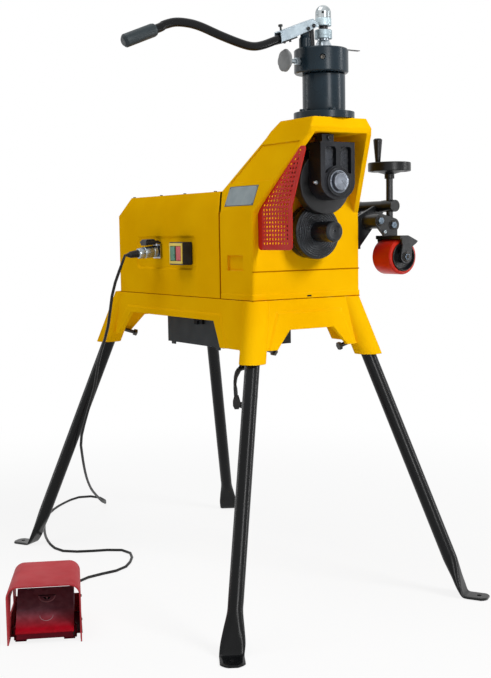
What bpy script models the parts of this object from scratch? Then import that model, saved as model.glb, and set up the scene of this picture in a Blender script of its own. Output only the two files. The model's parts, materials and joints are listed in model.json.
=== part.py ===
"""Hydraulic pipe groover on a four-legged stand, with its foot pedal.

Metres, +Z up. The rolls face -Y, the cover is at +Y and the control panel faces -X.
Every piece is drawn in the machine frame, whose origin lies on the floor midway between
the four feet. The parent empty then moves the whole so that the origin is under the
middle of the object's box.
"""
import math

import bmesh
import bpy
from mathutils import Matrix, Vector

# Fits
GAP = 0.0003
OVERRUN = 0.020
SHEET = 0.002

# Stand
DECK_TOP = 0.7185
DECK_THICKNESS = 0.014
SKIRT_FOOT = 0.608
SKIRT_WALL = 0.007
BASE_TOP_HALF_WIDTH = 0.153
BASE_FOOT_HALF_WIDTH = 0.164
BASE_TOP_FRONT = -0.357
BASE_FOOT_FRONT = -0.371
BASE_TOP_REAR = 0.307
BASE_FOOT_REAR = 0.340
BASE_CORNER = 0.024
SOCKET_RADIUS = 0.030
SOCKET_DROP = 0.026
SOCKET_FOOT = SKIRT_FOOT - SOCKET_DROP
LEG_RADIUS = 0.01685
LEG_WALL = 0.003
LEG_HALF_SPREAD = 0.3304
LEG_HALF_REACH = 0.5241
SOCKET_HALF_SPREAD = 0.1649
SOCKET_FRONT = -0.3689
SOCKET_REAR = 0.3389
PAD_TURN_SHARE = 1.73
LEG_DIRECTIONS = {"front": -1, "rear": 1}
SIDES = {"left": -1, "right": 1}

# Head and cover
HOUSING_HALF_WIDTH = 0.1513
HOUSING_CORNER = 0.006
HEAD_FRONT = -0.355
SEAM = -0.219
FOLD = 0.9135
HEAD_TOP = 1.115
ROOF_UNDERSIDE = 1.083
BROW = 1.094
BROW_HALF_WIDTH = 0.0843
ROOF_HALF_WIDTH = 0.0731
WALL_TOP = 1.080
WALL_TOP_HALF_WIDTH = 0.0873
WALL_TOP_FRONT = -0.4815
BROW_FRONT = -0.486
HEAD_WALL = 0.016
COVER_FOLD = 0.9196
COVER_TOP = 0.967
COVER_TOP_HALF_WIDTH = 0.1333
COVER_TOP_FRONT = -0.198
COVER_REAR = 0.2894
COVER_TOP_REAR = 0.248

# Rolls and drive
DRIVE_HEIGHT = 0.870
ROLL_NOSE_RADIUS = 0.023
ROLL_NOSE_FRONT = -0.457
ROLL_FLANGE_RADIUS = 0.061
ROLL_FLANGE_FRONT = -0.396
SHAFT_RADIUS = 0.014
ROLL_BORE_DEPTH = 0.070
UPPER_ROLL_HEIGHT = 0.978
UPPER_ROLL_RADIUS = 0.070
UPPER_ROLL_FRONT = -0.4254
UPPER_ROLL_REAR = -0.3998
PIN_RADIUS = 0.0195
PIN_FRONT = -0.4833
SLIDER_FRONT = -0.470
SLIDER_TOP = 1.064
SLIDER_HALF_WIDTH = 0.047

# Hydraulic pump
PUMP_Y = -0.4218
FLANGE_RADIUS = 0.067
FLANGE_TOP = 1.1305
CYLINDER_RADIUS = 0.047
CYLINDER_TOP = 1.2134
COLLAR_RADIUS = 0.0595
COLLAR_X = -0.0066
COLLAR_TOP = 1.2665
RAM_RADIUS = 0.018
FULCRUM_X = -0.0355
FULCRUM_Z = 1.3130
PLUNGER_X = -0.0505
PLUNGER_PIN_Z = 1.3055
TUBE_RADIUS = 0.0090
KNOB_X = -0.1037
KNOB_Z = 1.2363

# Pipe steady at the right
SCREW_X = 0.215
SCREW_Y = -0.390
SCREW_RADIUS = 0.0080
SWING_X = 0.177
SWING_Z = 0.892
LINK_X = 0.216
LINK_Z = 0.8837
LINK_FRONT = -0.405
LINK_THICKNESS = 0.006
ROLLER_X = 0.222
ROLLER_Z = 0.809
ROLLER_RADIUS = 0.0415
ROLLER_FRONT = -0.432
ROLLER_REAR = -0.362
WHEEL_RADIUS = 0.050
WHEEL_Z = 1.010

# Controls on the left side
CONTROL_X = -0.176
SWITCH_FRONT = -0.093
SWITCH_REAR = -0.030
SWITCH_FOOT = 0.796
SWITCH_TOP = 0.851
SOCKET_Y = 0.075
SOCKET_Z = 0.8285
CORD_RADIUS = 0.00375
CORD_EXIT = Vector((-0.236, 0.0766, 0.820))

# Foot pedal
PEDAL_X = -0.614
PEDAL_Y = -0.2233
PEDAL_TURN = math.radians(-25.9)
HOOD_HALF_WIDTH = 0.0793
HOOD_REAR_HALF_WIDTH = 0.0745
HOOD_HEIGHT = 0.128
HOOD_DEPTH = 0.180
HOOD_CORNER = 0.025
HOOD_WALL = 0.003
PLATE_THICKNESS = 0.006

ROUND = 24
SMALL_ROUND = 12
SMOOTH_ANGLE = math.radians(35)
ALONG = {"X": Vector((1, 0, 0)), "Y": Vector((0, 1, 0)), "Z": Vector((0, 0, 1))}

# Colour, metallic, roughness
FINISHES = {
    "yellow_paint": ((0.95, 0.50, 0.01), 0.0, 0.35),
    "red_paint": ((0.55, 0.05, 0.03), 0.0, 0.45),
    "black_paint": ((0.012, 0.013, 0.015), 0.0, 0.35),
    "slate_paint": ((0.035, 0.045, 0.055), 0.0, 0.5),
    "roll_steel": ((0.03, 0.035, 0.04), 0.7, 0.4),
    "bright_steel": ((0.6, 0.6, 0.6), 1.0, 0.3),
    "zinc": ((0.5, 0.5, 0.48), 1.0, 0.45),
    "plate_aluminium": ((0.35, 0.38, 0.42), 0.6, 0.5),
    "motor_iron": ((0.08, 0.09, 0.1), 0.3, 0.6),
    "black_plastic": ((0.01, 0.01, 0.01), 0.0, 0.5),
    "green_plastic": ((0.02, 0.35, 0.06), 0.0, 0.35),
    "red_plastic": ((0.6, 0.02, 0.02), 0.0, 0.35),
    "red_rubber": ((0.55, 0.03, 0.02), 0.0, 0.6),
    "hood_paint": ((0.45, 0.07, 0.06), 0.0, 0.55),
    "pedal_paint": ((0.12, 0.01, 0.02), 0.0, 0.5),
    "cord_rubber": ((0.012, 0.012, 0.012), 0.0, 0.55),
}


def clear_scene():
    for obj in list(bpy.data.objects):
        bpy.data.objects.remove(obj, do_unlink=True)


def finish_material(name):
    found = bpy.data.materials.get(name)
    if found:
        return found
    colour, metallic, roughness = FINISHES[name]
    material = bpy.data.materials.new(name)
    material.use_nodes = True
    shader = material.node_tree.nodes["Principled BSDF"]
    shader.inputs["Base Color"].default_value = (*colour, 1.0)
    shader.inputs["Metallic"].default_value = metallic
    shader.inputs["Roughness"].default_value = roughness
    material.diffuse_color = (*colour, 1.0)
    return material


# Solids from rings, outlines and profiles
def skin(rings, closed=False):
    """A closed mesh through rings of points; a ring of one point is a tip."""
    bm = bmesh.new()
    loops = [[bm.verts.new(point) for point in ring] for ring in rings]
    pairs = list(zip(loops, loops[1:]))
    if closed:
        pairs.append((loops[-1], loops[0]))
    for low, high in pairs:
        count = max(len(low), len(high))
        for index in range(count):
            after = (index + 1) % count
            if len(low) == 1:
                bm.faces.new((low[0], high[after], high[index]))
            elif len(high) == 1:
                bm.faces.new((low[index], low[after], high[0]))
            else:
                bm.faces.new((low[index], low[after], high[after], high[index]))
    if not closed:
        for loop in (loops[0], loops[-1]):
            if len(loop) > 1:
                bm.faces.new(loop)
    bmesh.ops.recalc_face_normals(bm, faces=bm.faces)
    if bm.calc_volume(signed=True) < 0:
        bmesh.ops.reverse_faces(bm, faces=bm.faces)
    return bm


def solid(name, bm, finish):
    mesh = bpy.data.meshes.new(name)
    bm.to_mesh(mesh)
    bm.free()
    obj = bpy.data.objects.new(name, mesh)
    bpy.context.scene.collection.objects.link(obj)
    mesh.materials.append(finish_material(finish))
    mesh.shade_smooth()
    mesh.set_sharp_from_angle(angle=SMOOTH_ANGLE)
    return obj


def spread(pair, axis, place):
    """The point at a place along an axis, with the pair in the plane across it."""
    a, b = pair
    if axis == "X":
        return Vector((place, a, b))
    if axis == "Y":
        return Vector((a, place, b))
    return Vector((a, b, place))


def prism(name, outline, axis, near, far, finish="zinc"):
    rings = [[spread(pair, axis, place) for pair in outline] for place in (near, far)]
    return solid(name, skin(rings), finish)


def block(name, low, high, finish="zinc"):
    outline = [(low[0], low[1]), (high[0], low[1]), (high[0], high[1]), (low[0], high[1])]
    return prism(name, outline, "Z", low[2], high[2], finish)


def turned(name, stations, foot, direction, finish="zinc", sides=ROUND, closed=False):
    """A round piece: each station is a distance along, a radius and maybe "hex"."""
    turn = Vector(direction).to_track_quat("Z", "Y")
    rings = []
    for station in stations:
        along, radius = station[:2]
        if radius == 0:
            rings.append([Vector(foot) + turn @ Vector((0, 0, along))])
            continue
        ring = []
        for index in range(sides):
            angle = 2 * math.pi * index / sides
            reach = radius
            if len(station) > 2:
                reach = radius / math.cos(angle % (math.pi / 3) - math.pi / 6)
            spot = Vector((reach * math.cos(angle), reach * math.sin(angle), along))
            ring.append(Vector(foot) + turn @ spot)
        rings.append(ring)
    return solid(name, skin(rings, closed), finish)


def rod(name, start, end, radius, finish="zinc", sides=ROUND):
    start = Vector(start)
    run = Vector(end) - start
    return turned(name, [(0, radius), (run.length, radius)], start, run, finish, sides)


def swept(name, points, radius, finish, sides=SMALL_ROUND):
    """A round bar that follows points in one plane across Y."""
    rings = []
    for index, point in enumerate(points):
        before = points[max(index - 1, 0)]
        after = points[min(index + 1, len(points) - 1)]
        heading = (Vector(after) - Vector(before)).normalized()
        across = heading.cross(ALONG["Y"])
        ring = []
        for step in range(sides):
            angle = 2 * math.pi * step / sides
            side = across * math.cos(angle) + ALONG["Y"] * math.sin(angle)
            ring.append(Vector(point) + side * radius)
        rings.append(ring)
    return solid(name, skin(rings), finish)


def arc(centre, radius, start, end, steps, squash=1):
    """Points on an arc in degrees; squash scales its second coordinate."""
    points = []
    for step in range(steps + 1):
        angle = math.radians(start + (end - start) * step / steps)
        rise = radius * squash * math.sin(angle)
        points.append((centre[0] + radius * math.cos(angle), centre[1] + rise))
    return points


def cornered(half_width, front, rear, height, corner):
    """An eight-point ring: a rectangle with its corners cut."""
    pairs = [
        (-half_width + corner, front),
        (half_width - corner, front),
        (half_width, front + corner),
        (half_width, rear - corner),
        (half_width - corner, rear),
        (-half_width + corner, rear),
        (-half_width, rear - corner),
        (-half_width, front + corner),
    ]
    return [Vector((x, y, height)) for x, y in pairs]


def combine(target, other, operation):
    modifier = target.modifiers.new("combine", "BOOLEAN")
    modifier.operation = operation
    modifier.object = other
    modifier.solver = "EXACT"
    bpy.context.view_layer.update()
    depsgraph = bpy.context.evaluated_depsgraph_get()
    mesh = bpy.data.meshes.new_from_object(target.evaluated_get(depsgraph))
    mesh.name = target.name
    target.modifiers.clear()
    target.data = mesh
    while len(mesh.materials) > 1:
        mesh.materials.pop()
    for face in mesh.polygons:
        face.material_index = 0
    mesh.shade_smooth()
    mesh.set_sharp_from_angle(angle=SMOOTH_ANGLE)
    bpy.data.objects.remove(other, do_unlink=True)


def cut(target, *others):
    for other in others:
        combine(target, other, "DIFFERENCE")


def weld(target, *others):
    for other in others:
        combine(target, other, "UNION")


def pivot(obj, point):
    """Puts an object's own origin on its joint axis without moving the piece."""
    point = Vector(point)
    obj.data.transform(Matrix.Translation(-point))
    obj.location = point
    return obj


def between(low, high, share):
    return low + (high - low) * share


# Stand
def leg_line(side, end):
    heel = Vector((side * LEG_HALF_SPREAD, end * LEG_HALF_REACH, 0))
    neck_y = SOCKET_FRONT if end < 0 else SOCKET_REAR
    neck = Vector((side * SOCKET_HALF_SPREAD, neck_y, SOCKET_FOOT))
    return heel, neck


def on_leg(side, end, height):
    heel, neck = leg_line(side, end)
    return heel + (neck - heel) * (height / neck.z)


def leg(name, side, end):
    """A steel tube, open at its top, with its lower end pressed flat and bent to a foot."""
    heel, neck = leg_line(side, end)
    heading = (neck - heel).normalized()
    outward = Vector((side, end * PAD_TURN_SHARE, 0)).normalized()
    across = outward.cross(ALONG["Z"])
    other = heading.cross(across)
    bore = LEG_RADIUS - LEG_WALL
    pad_half_width = math.pi * LEG_RADIUS / 2
    pad_half_thickness = LEG_WALL
    pad_length = 0.056
    bend = 0.012
    press_end = 0.026
    press_start = 0.085
    bore_foot = 0.115
    fullness_share = 1.6

    def ring(centre, half_width, half_height, rise, fullness=1):
        points = []
        for step in range(SMALL_ROUND):
            angle = 2 * math.pi * step / SMALL_ROUND
            high = max(-1, min(1, fullness * math.sin(angle)))
            points.append(centre + across * half_width * math.cos(angle) + rise * half_height * high)
        return points

    lift = ALONG["Z"] * pad_half_thickness
    slant = (other + ALONG["Z"]).normalized()
    rings = [
        ring(heel + lift + outward * pad_length, pad_half_width / 2, pad_half_thickness, ALONG["Z"],
             fullness_share),
        ring(heel + lift + outward * (pad_length - bend), pad_half_width, pad_half_thickness,
             ALONG["Z"], fullness_share),
        ring(heel + lift + outward * bend, pad_half_width, pad_half_thickness, ALONG["Z"],
             fullness_share),
        ring(heel + lift * 2, pad_half_width, pad_half_thickness, slant, fullness_share),
        ring(on_leg(side, end, press_end), pad_half_width, pad_half_thickness * 2, other,
             fullness_share),
        ring(on_leg(side, end, press_start), LEG_RADIUS, LEG_RADIUS, other),
    ]
    top = DECK_TOP - DECK_THICKNESS - LEG_WALL
    rings.append(ring(on_leg(side, end, top), LEG_RADIUS, LEG_RADIUS, other))
    rings.append(ring(on_leg(side, end, top), bore, bore, other))
    rings.append(ring(on_leg(side, end, bore_foot), bore, bore, other))
    tube = solid(name, skin(rings), "black_paint")
    hole_radius = 0.0055
    hole = heel + outward * (pad_length / 2 + bend / 2)
    drill = rod("drill", hole - ALONG["Z"] * OVERRUN, hole + ALONG["Z"] * OVERRUN, hole_radius,
                sides=8)
    cut(tube, drill)
    return tube


def clamp_line(side, end):
    """Where a clamp bolt meets its leg, and the direction it leaves in."""
    height = 0.622
    start = on_leg(side, end, height)
    heel, neck = leg_line(side, end)
    heading = (neck - heel).normalized()
    skew_share = 0.2
    inward = Vector((-side, -end * skew_share, 0)).normalized()
    away = (inward - heading * inward.dot(heading)).normalized()
    return start, away


def clamp_bolt(name, side, end):
    start, away = clamp_line(side, end)
    radius = 0.005
    head_half_flats = 0.0085
    head_height = 0.007
    shown = 0.030
    tip = LEG_RADIUS + GAP
    head = SOCKET_RADIUS + shown
    stations = [(tip, radius), (head, radius), (head, head_half_flats, "hex"),
                (head + head_height, head_half_flats, "hex")]
    return turned(name, stations, start, away, "bright_steel", SMALL_ROUND)


def base_ring(height, inset, corner):
    share = (DECK_TOP - height) / (DECK_TOP - SKIRT_FOOT)
    half_width = between(BASE_TOP_HALF_WIDTH, BASE_FOOT_HALF_WIDTH, share) - inset
    front = between(BASE_TOP_FRONT, BASE_FOOT_FRONT, share) + inset
    rear = between(BASE_TOP_REAR, BASE_FOOT_REAR, share) - inset
    return cornered(half_width, front, rear, height, corner)


def base_casting():
    """The cast base: a deck with a flared skirt, arches and four leg sockets."""
    casting = solid("base_casting", skin([base_ring(SKIRT_FOOT, 0, BASE_CORNER),
                                          base_ring(DECK_TOP, 0, BASE_CORNER)]), "yellow_paint")
    ceiling = DECK_TOP - DECK_THICKNESS
    hollow = solid("hollow", skin([base_ring(SKIRT_FOOT - OVERRUN, SKIRT_WALL, BASE_CORNER),
                                   base_ring(ceiling, SKIRT_WALL, BASE_CORNER)]), "zinc")
    cut(casting, hollow)
    for side in SIDES.values():
        for end in LEG_DIRECTIONS.values():
            post = rod("post", on_leg(side, end, SOCKET_FOOT - OVERRUN),
                       on_leg(side, end, DECK_TOP + OVERRUN), SOCKET_RADIUS, sides=20)
            weld(casting, post)
    reach = BASE_FOOT_REAR - BASE_FOOT_FRONT
    cut(casting, block("trim", (-reach, -reach, DECK_TOP), (reach, reach, DECK_TOP + 3 * OVERRUN)),
        block("trim", (-reach, -reach, SOCKET_FOOT - 3 * OVERRUN), (reach, reach, SOCKET_FOOT)))
    side_arch_top = 0.668
    side_arch_foot_front = -0.239
    side_arch_top_front = -0.203
    side_arch_top_rear = 0.213
    side_arch_foot_rear = 0.272
    side_arch = [(side_arch_foot_front, SKIRT_FOOT), (side_arch_top_front, side_arch_top),
                 (side_arch_top_rear, side_arch_top), (side_arch_foot_rear, SKIRT_FOOT)]
    side_panel_top = 0.685
    panel_margin = 0.0255
    side_panel = [(side_arch_foot_front - panel_margin, SKIRT_FOOT),
                  (side_arch_top_front - panel_margin, side_panel_top),
                  (side_arch_top_rear + panel_margin, side_panel_top),
                  (side_arch_foot_rear + panel_margin, SKIRT_FOOT)]
    end_arch_top = 0.651
    end_arch_half_widths = (0.100, 0.062)
    end_panel_top = 0.692
    end_panel_half_widths = (0.123, 0.092)
    panel_depth = 0.003
    for side in SIDES.values():
        cut(casting, side_recess(side_panel, side, panel_depth))
    for end in LEG_DIRECTIONS.values():
        cut(casting, end_recess(end_panel_half_widths, end_panel_top, end, panel_depth))
    cut(casting, arch(side_arch, "X", BASE_FOOT_HALF_WIDTH + OVERRUN))
    wide, narrow = end_arch_half_widths
    end_arch = [(-wide, SKIRT_FOOT), (-narrow, end_arch_top), (narrow, end_arch_top),
                (wide, SKIRT_FOOT)]
    cut(casting, arch(end_arch, "Y", BASE_FOOT_REAR - BASE_FOOT_FRONT))
    bolt_clearance = 0.0055
    for side in SIDES.values():
        for end in LEG_DIRECTIONS.values():
            neck = on_leg(side, end, SOCKET_FOOT - 2 * OVERRUN)
            ceiling_point = on_leg(side, end, ceiling - GAP)
            cut(casting, rod("bore", neck, ceiling_point, LEG_RADIUS + GAP, sides=20))
            start, away = clamp_line(side, end)
            reach = SOCKET_RADIUS + OVERRUN
            cut(casting, rod("bolt_hole", start, start + away * reach, bolt_clearance, sides=8))
    return casting


def arch(outline, axis, reach):
    """A cutter through both walls, run down past the skirt's foot."""
    (foot_a, foot), (top_a, top), (top_b, _), (foot_b, _) = outline
    below = foot - OVERRUN
    shape = [(foot_a, below), (foot_a, foot), (top_a, top), (top_b, top), (foot_b, foot),
             (foot_b, below)]
    return prism("arch", shape, axis, -reach, reach)


def skirt_share(height):
    return (DECK_TOP - height) / (DECK_TOP - SKIRT_FOOT)


def side_recess(outline, side, depth):
    rings = []
    for inset in (depth, -OVERRUN):
        ring = []
        for y, height in outline:
            wall = between(BASE_TOP_HALF_WIDTH, BASE_FOOT_HALF_WIDTH, skirt_share(height))
            ring.append(Vector((side * (wall - inset), y, height)))
        rings.append(ring)
    return solid("recess", skin(rings), "zinc")


def end_recess(half_widths, top, end, depth):
    wide, narrow = half_widths
    outline = [(-wide, SKIRT_FOOT), (-narrow, top), (narrow, top), (wide, SKIRT_FOOT)]
    high, low = (BASE_TOP_FRONT, BASE_FOOT_FRONT) if end < 0 else (BASE_TOP_REAR, BASE_FOOT_REAR)
    rings = []
    for inset in (depth, -OVERRUN):
        ring = []
        for x, height in outline:
            wall = between(high, low, skirt_share(height))
            ring.append(Vector((x, wall - end * inset, height)))
        rings.append(ring)
    return solid("recess", skin(rings), "zinc")


ELECTRICS_FRONT = -0.147
ELECTRICS_REAR = 0.1235
ELECTRICS_HALF_WIDTH = 0.100
ELECTRICS_DROP = 0.1105
ELECTRICS_FOOT = DECK_TOP - DECK_THICKNESS - ELECTRICS_DROP


def electrics_box():
    """A sheet steel tray for the contactor, closed above by the deck."""
    top = DECK_TOP - DECK_THICKNESS - GAP
    low = (-ELECTRICS_HALF_WIDTH, ELECTRICS_FRONT, ELECTRICS_FOOT)
    high = (ELECTRICS_HALF_WIDTH, ELECTRICS_REAR, top)
    box = block("electrics_box", low, high, "slate_paint")
    inside = ELECTRICS_HALF_WIDTH - SHEET
    hollow = block("hollow", (-inside, ELECTRICS_FRONT + SHEET, ELECTRICS_FOOT + SHEET),
                   (inside, ELECTRICS_REAR - SHEET, top + OVERRUN))
    cut(box, hollow)
    tab_length = 0.018
    tab_drop = 0.006
    for y in (ELECTRICS_FRONT + tab_length, ELECTRICS_REAR - 2 * tab_length):
        tab = block("tab", (-ELECTRICS_HALF_WIDTH, y, ELECTRICS_FOOT - tab_drop),
                    (-ELECTRICS_HALF_WIDTH + SHEET * 2, y + tab_length, ELECTRICS_FOOT + SHEET / 2))
        weld(box, tab)
    gland_hole = 0.0085
    x, y = GLAND_X, GLAND_Y
    cut(box, rod("hole", (x, y, ELECTRICS_FOOT - OVERRUN), (x, y, ELECTRICS_FOOT + OVERRUN),
                 gland_hole, sides=SMALL_ROUND))
    return box


# Head
def wall_half_width(height):
    share = max(0, (height - FOLD) / (WALL_TOP - FOLD))
    return between(HOUSING_HALF_WIDTH, WALL_TOP_HALF_WIDTH, share)


def wall_front(height):
    share = (height - FOLD) / (WALL_TOP - FOLD)
    return between(HEAD_FRONT, WALL_TOP_FRONT, share)


def head_rear(height):
    """The rear of the head: upright, leaning back along the cover's rim, then the slope."""
    roof_rear = HEAD_FRONT
    if height <= COVER_FOLD:
        return SEAM
    if height <= COVER_TOP:
        return between(SEAM, COVER_TOP_FRONT - GAP, (height - COVER_FOLD) / (COVER_TOP - COVER_FOLD))
    return between(COVER_TOP_FRONT - GAP, roof_rear, (height - COVER_TOP) / (HEAD_TOP - COVER_TOP))


def head_casting():
    """The cast head: a hollow body below, leaning cheeks and a roof that make the throat."""
    foot = DECK_TOP + GAP
    stations = [
        (foot, HOUSING_HALF_WIDTH, HEAD_FRONT),
        (FOLD, HOUSING_HALF_WIDTH, HEAD_FRONT),
        (COVER_FOLD, wall_half_width(COVER_FOLD), wall_front(COVER_FOLD)),
        (COVER_TOP, wall_half_width(COVER_TOP), wall_front(COVER_TOP)),
        (WALL_TOP, WALL_TOP_HALF_WIDTH, WALL_TOP_FRONT),
        (BROW, BROW_HALF_WIDTH, BROW_FRONT),
        (HEAD_TOP, ROOF_HALF_WIDTH, WALL_TOP_FRONT),
    ]
    rings = []
    for height, half_width, front in stations:
        rings.append(cornered(half_width, front, head_rear(height), height, HOUSING_CORNER))
    head = solid("head_casting", skin(rings), "yellow_paint")
    cut(head, throat(), gear_room())
    wall_bore = BEARING_RADIUS + GAP
    cut(head, rod("bore", (0, HEAD_FRONT - OVERRUN, DRIVE_HEIGHT),
                  (0, HEAD_FRONT + HEAD_WALL + OVERRUN, DRIVE_HEIGHT), wall_bore))
    cut(head, rod("ram_hole", (0, PUMP_Y, ROOF_UNDERSIDE - OVERRUN), (0, PUMP_Y, HEAD_TOP + OVERRUN),
                  RAM_RADIUS + 2 * GAP))
    cut(head, side_pocket(), cheek_panel(-1), cheek_panel(1))
    step_height = 0.7827
    groove = 0.0015
    cut(head, block("groove", (-HOUSING_HALF_WIDTH - OVERRUN, HEAD_FRONT - OVERRUN, step_height),
                    (HOUSING_HALF_WIDTH + OVERRUN, HEAD_FRONT + groove, step_height + groove)))
    return head


def throat():
    """The space between the cheeks in front of the head's face."""
    below = FOLD - OVERRUN
    mouth = BROW_FRONT - OVERRUN
    heights = (below, FOLD, ROOF_UNDERSIDE)
    rings = []
    for height in heights:
        half_width = wall_half_width(height) - HEAD_WALL
        rings.append([Vector((x, y, height)) for x, y in (
            (-half_width, mouth), (half_width, mouth), (half_width, HEAD_FRONT),
            (-half_width, HEAD_FRONT))])
    return solid("throat", skin(rings), "zinc")


def gear_room():
    """The hollow behind the head's face, open to the rear for the gears."""
    half_width = HOUSING_HALF_WIDTH - HEAD_WALL
    floor = DECK_TOP + GAP + HEAD_WALL
    front = HEAD_FRONT + HEAD_WALL
    ceiling = COVER_TOP - HEAD_WALL
    top_half_width = wall_half_width(ceiling) - HEAD_WALL
    rear = COVER_TOP_FRONT + OVERRUN
    rings = []
    for height, half in ((floor, half_width), (FOLD, half_width), (ceiling, top_half_width)):
        rings.append([Vector((x, y, height)) for x, y in (
            (-half, front), (half, front), (half, rear), (-half, rear))])
    return solid("room", skin(rings), "zinc")


def side_pocket():
    pocket_front = -0.317
    pocket_rear = -0.252
    pocket_foot = 0.7855
    pocket_top = 0.820
    depth = 0.006
    return block("pocket", (-HOUSING_HALF_WIDTH - OVERRUN, pocket_front, pocket_foot),
                 (-HOUSING_HALF_WIDTH + depth, pocket_rear, pocket_top))


def cheek_panel(side):
    """The shallow field between the crease and the upper ledge on each cheek."""
    foot = 0.9836
    top = 1.065
    rim = 0.012
    depth = 0.0025
    rings = []
    for inset in (depth, -OVERRUN):
        ring = []
        for y, height in ((wall_front(foot) + rim, foot), (wall_front(top) + rim, top),
                          (head_rear(top) - rim, top), (head_rear(foot) - rim, foot)):
            ring.append(Vector((side * (wall_half_width(height) - inset), y, height)))
        rings.append(ring)
    return solid("panel", skin(rings), "zinc")


def cover_ring(height, half_width, front, rear):
    return cornered(half_width, front, rear, height, HOUSING_CORNER)


def rear_cover():
    """The bent sheet cover over the motor, open to the head and to the deck."""
    foot = DECK_TOP + GAP
    front = SEAM + GAP
    outer = [
        cover_ring(foot, HOUSING_HALF_WIDTH, front, COVER_REAR),
        cover_ring(COVER_FOLD, HOUSING_HALF_WIDTH, front, COVER_REAR),
        cover_ring(COVER_TOP, COVER_TOP_HALF_WIDTH, COVER_TOP_FRONT, COVER_TOP_REAR),
    ]
    cover = solid("rear_cover", skin(outer), "yellow_paint")
    slope_share = (HOUSING_HALF_WIDTH - COVER_TOP_HALF_WIDTH) / (COVER_TOP - COVER_FOLD)
    inner_half_width = HOUSING_HALF_WIDTH - SHEET
    ceiling = COVER_TOP - SHEET
    ceiling_half_width = COVER_TOP_HALF_WIDTH - SHEET + SHEET * slope_share
    mouth = SEAM - OVERRUN
    inner = [
        cover_ring(foot - OVERRUN, inner_half_width, mouth, COVER_REAR - SHEET),
        cover_ring(COVER_FOLD, inner_half_width, mouth, COVER_REAR - SHEET),
        cover_ring(ceiling, ceiling_half_width, mouth, COVER_TOP_REAR - SHEET),
    ]
    cut(cover, solid("hollow", skin(inner), "zinc"), control_panel(), socket_hole())
    return cover


def control_panel():
    """The shallow pressed panel that carries the switch and the socket."""
    rear = 0.188
    front = -0.1144
    top = 0.866
    foot = 0.783
    return block("panel", (-HOUSING_HALF_WIDTH - OVERRUN, front, foot),
                 (-HOUSING_HALF_WIDTH + PANEL_DEPTH, rear, top))


def socket_hole():
    return rod("hole", (-HOUSING_HALF_WIDTH - OVERRUN, SOCKET_Y, SOCKET_Z),
               (-HOUSING_HALF_WIDTH + OVERRUN, SOCKET_Y, SOCKET_Z), SOCKET_BODY_RADIUS + GAP)


# Drive
BEARING_RADIUS = 0.028
GEAR_RADIUS = 0.066
PINION_RADIUS = 0.0155
GEAR_FRONT = -0.300
GEAR_WIDTH = 0.030
MOTOR_RADIUS = 0.052
MOTOR_FRONT = -0.175
MOTOR_REAR = 0.165
MOTOR_SHAFT_RADIUS = 0.008


def pinion_height():
    return DRIVE_HEIGHT - GEAR_RADIUS - PINION_RADIUS - 2 * GAP


def lower_drive_roll():
    """The drive roll: a knurled nose, stepped rings and the flange that stops the pipe."""
    foot = (0, 0, DRIVE_HEIGHT)
    back = HEAD_FRONT - GAP
    chamfer = 0.0015
    step_radius = 0.037
    ring_radius = 0.045
    ring_front = -0.3965
    step_depth = 0.001
    groove_radius = 0.053
    groove_front = -0.378
    groove_rear = -0.372
    collar_radius = 0.059
    bore = SHAFT_RADIUS + GAP
    stations = [
        (ROLL_NOSE_FRONT, 0),
        (ROLL_NOSE_FRONT, ROLL_NOSE_RADIUS - chamfer),
        (ROLL_NOSE_FRONT + chamfer, ROLL_NOSE_RADIUS),
        (ring_front - step_depth, ROLL_NOSE_RADIUS),
        (ring_front - step_depth, step_radius),
        (ring_front, step_radius),
        (ring_front, ring_radius),
        (ROLL_FLANGE_FRONT, ring_radius),
        (ROLL_FLANGE_FRONT, ROLL_FLANGE_RADIUS - chamfer),
        (ROLL_FLANGE_FRONT + chamfer, ROLL_FLANGE_RADIUS),
        (groove_front, ROLL_FLANGE_RADIUS),
        (groove_front, groove_radius),
        (groove_rear, groove_radius),
        (groove_rear, collar_radius),
        (back, collar_radius),
        (back, bore),
        (back - ROLL_BORE_DEPTH, bore),
        (back - ROLL_BORE_DEPTH, 0),
    ]
    roll = turned("lower_drive_roll", stations, foot, ALONG["Y"], "roll_steel")
    return pivot(roll, (0, HEAD_FRONT, DRIVE_HEIGHT))


def drive_shaft():
    """The shaft that carries the drive roll in front of the face and the gear behind it."""
    front = HEAD_FRONT - ROLL_BORE_DEPTH
    rear = GEAR_FRONT + GEAR_WIDTH + HEAD_WALL
    shaft = rod("drive_shaft", (0, front, DRIVE_HEIGHT), (0, rear, DRIVE_HEIGHT), SHAFT_RADIUS,
                "bright_steel")
    return pivot(shaft, (0, HEAD_FRONT, DRIVE_HEIGHT))


def ring_stations(near, far, outer, inner):
    return [(near, inner), (near, outer), (far, outer), (far, inner)]


def drive_gear():
    stations = ring_stations(GEAR_FRONT, GEAR_FRONT + GEAR_WIDTH, GEAR_RADIUS, SHAFT_RADIUS + GAP)
    gear = turned("drive_gear", stations, (0, 0, DRIVE_HEIGHT), ALONG["Y"], "motor_iron",
                  closed=True)
    return pivot(gear, (0, HEAD_FRONT, DRIVE_HEIGHT))


def front_bearing():
    near = HEAD_FRONT + GAP
    far = HEAD_FRONT + HEAD_WALL
    stations = ring_stations(near, far, BEARING_RADIUS, SHAFT_RADIUS + GAP)
    return turned("front_bearing", stations, (0, 0, DRIVE_HEIGHT), ALONG["Y"], "bright_steel",
                  closed=True)


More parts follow.
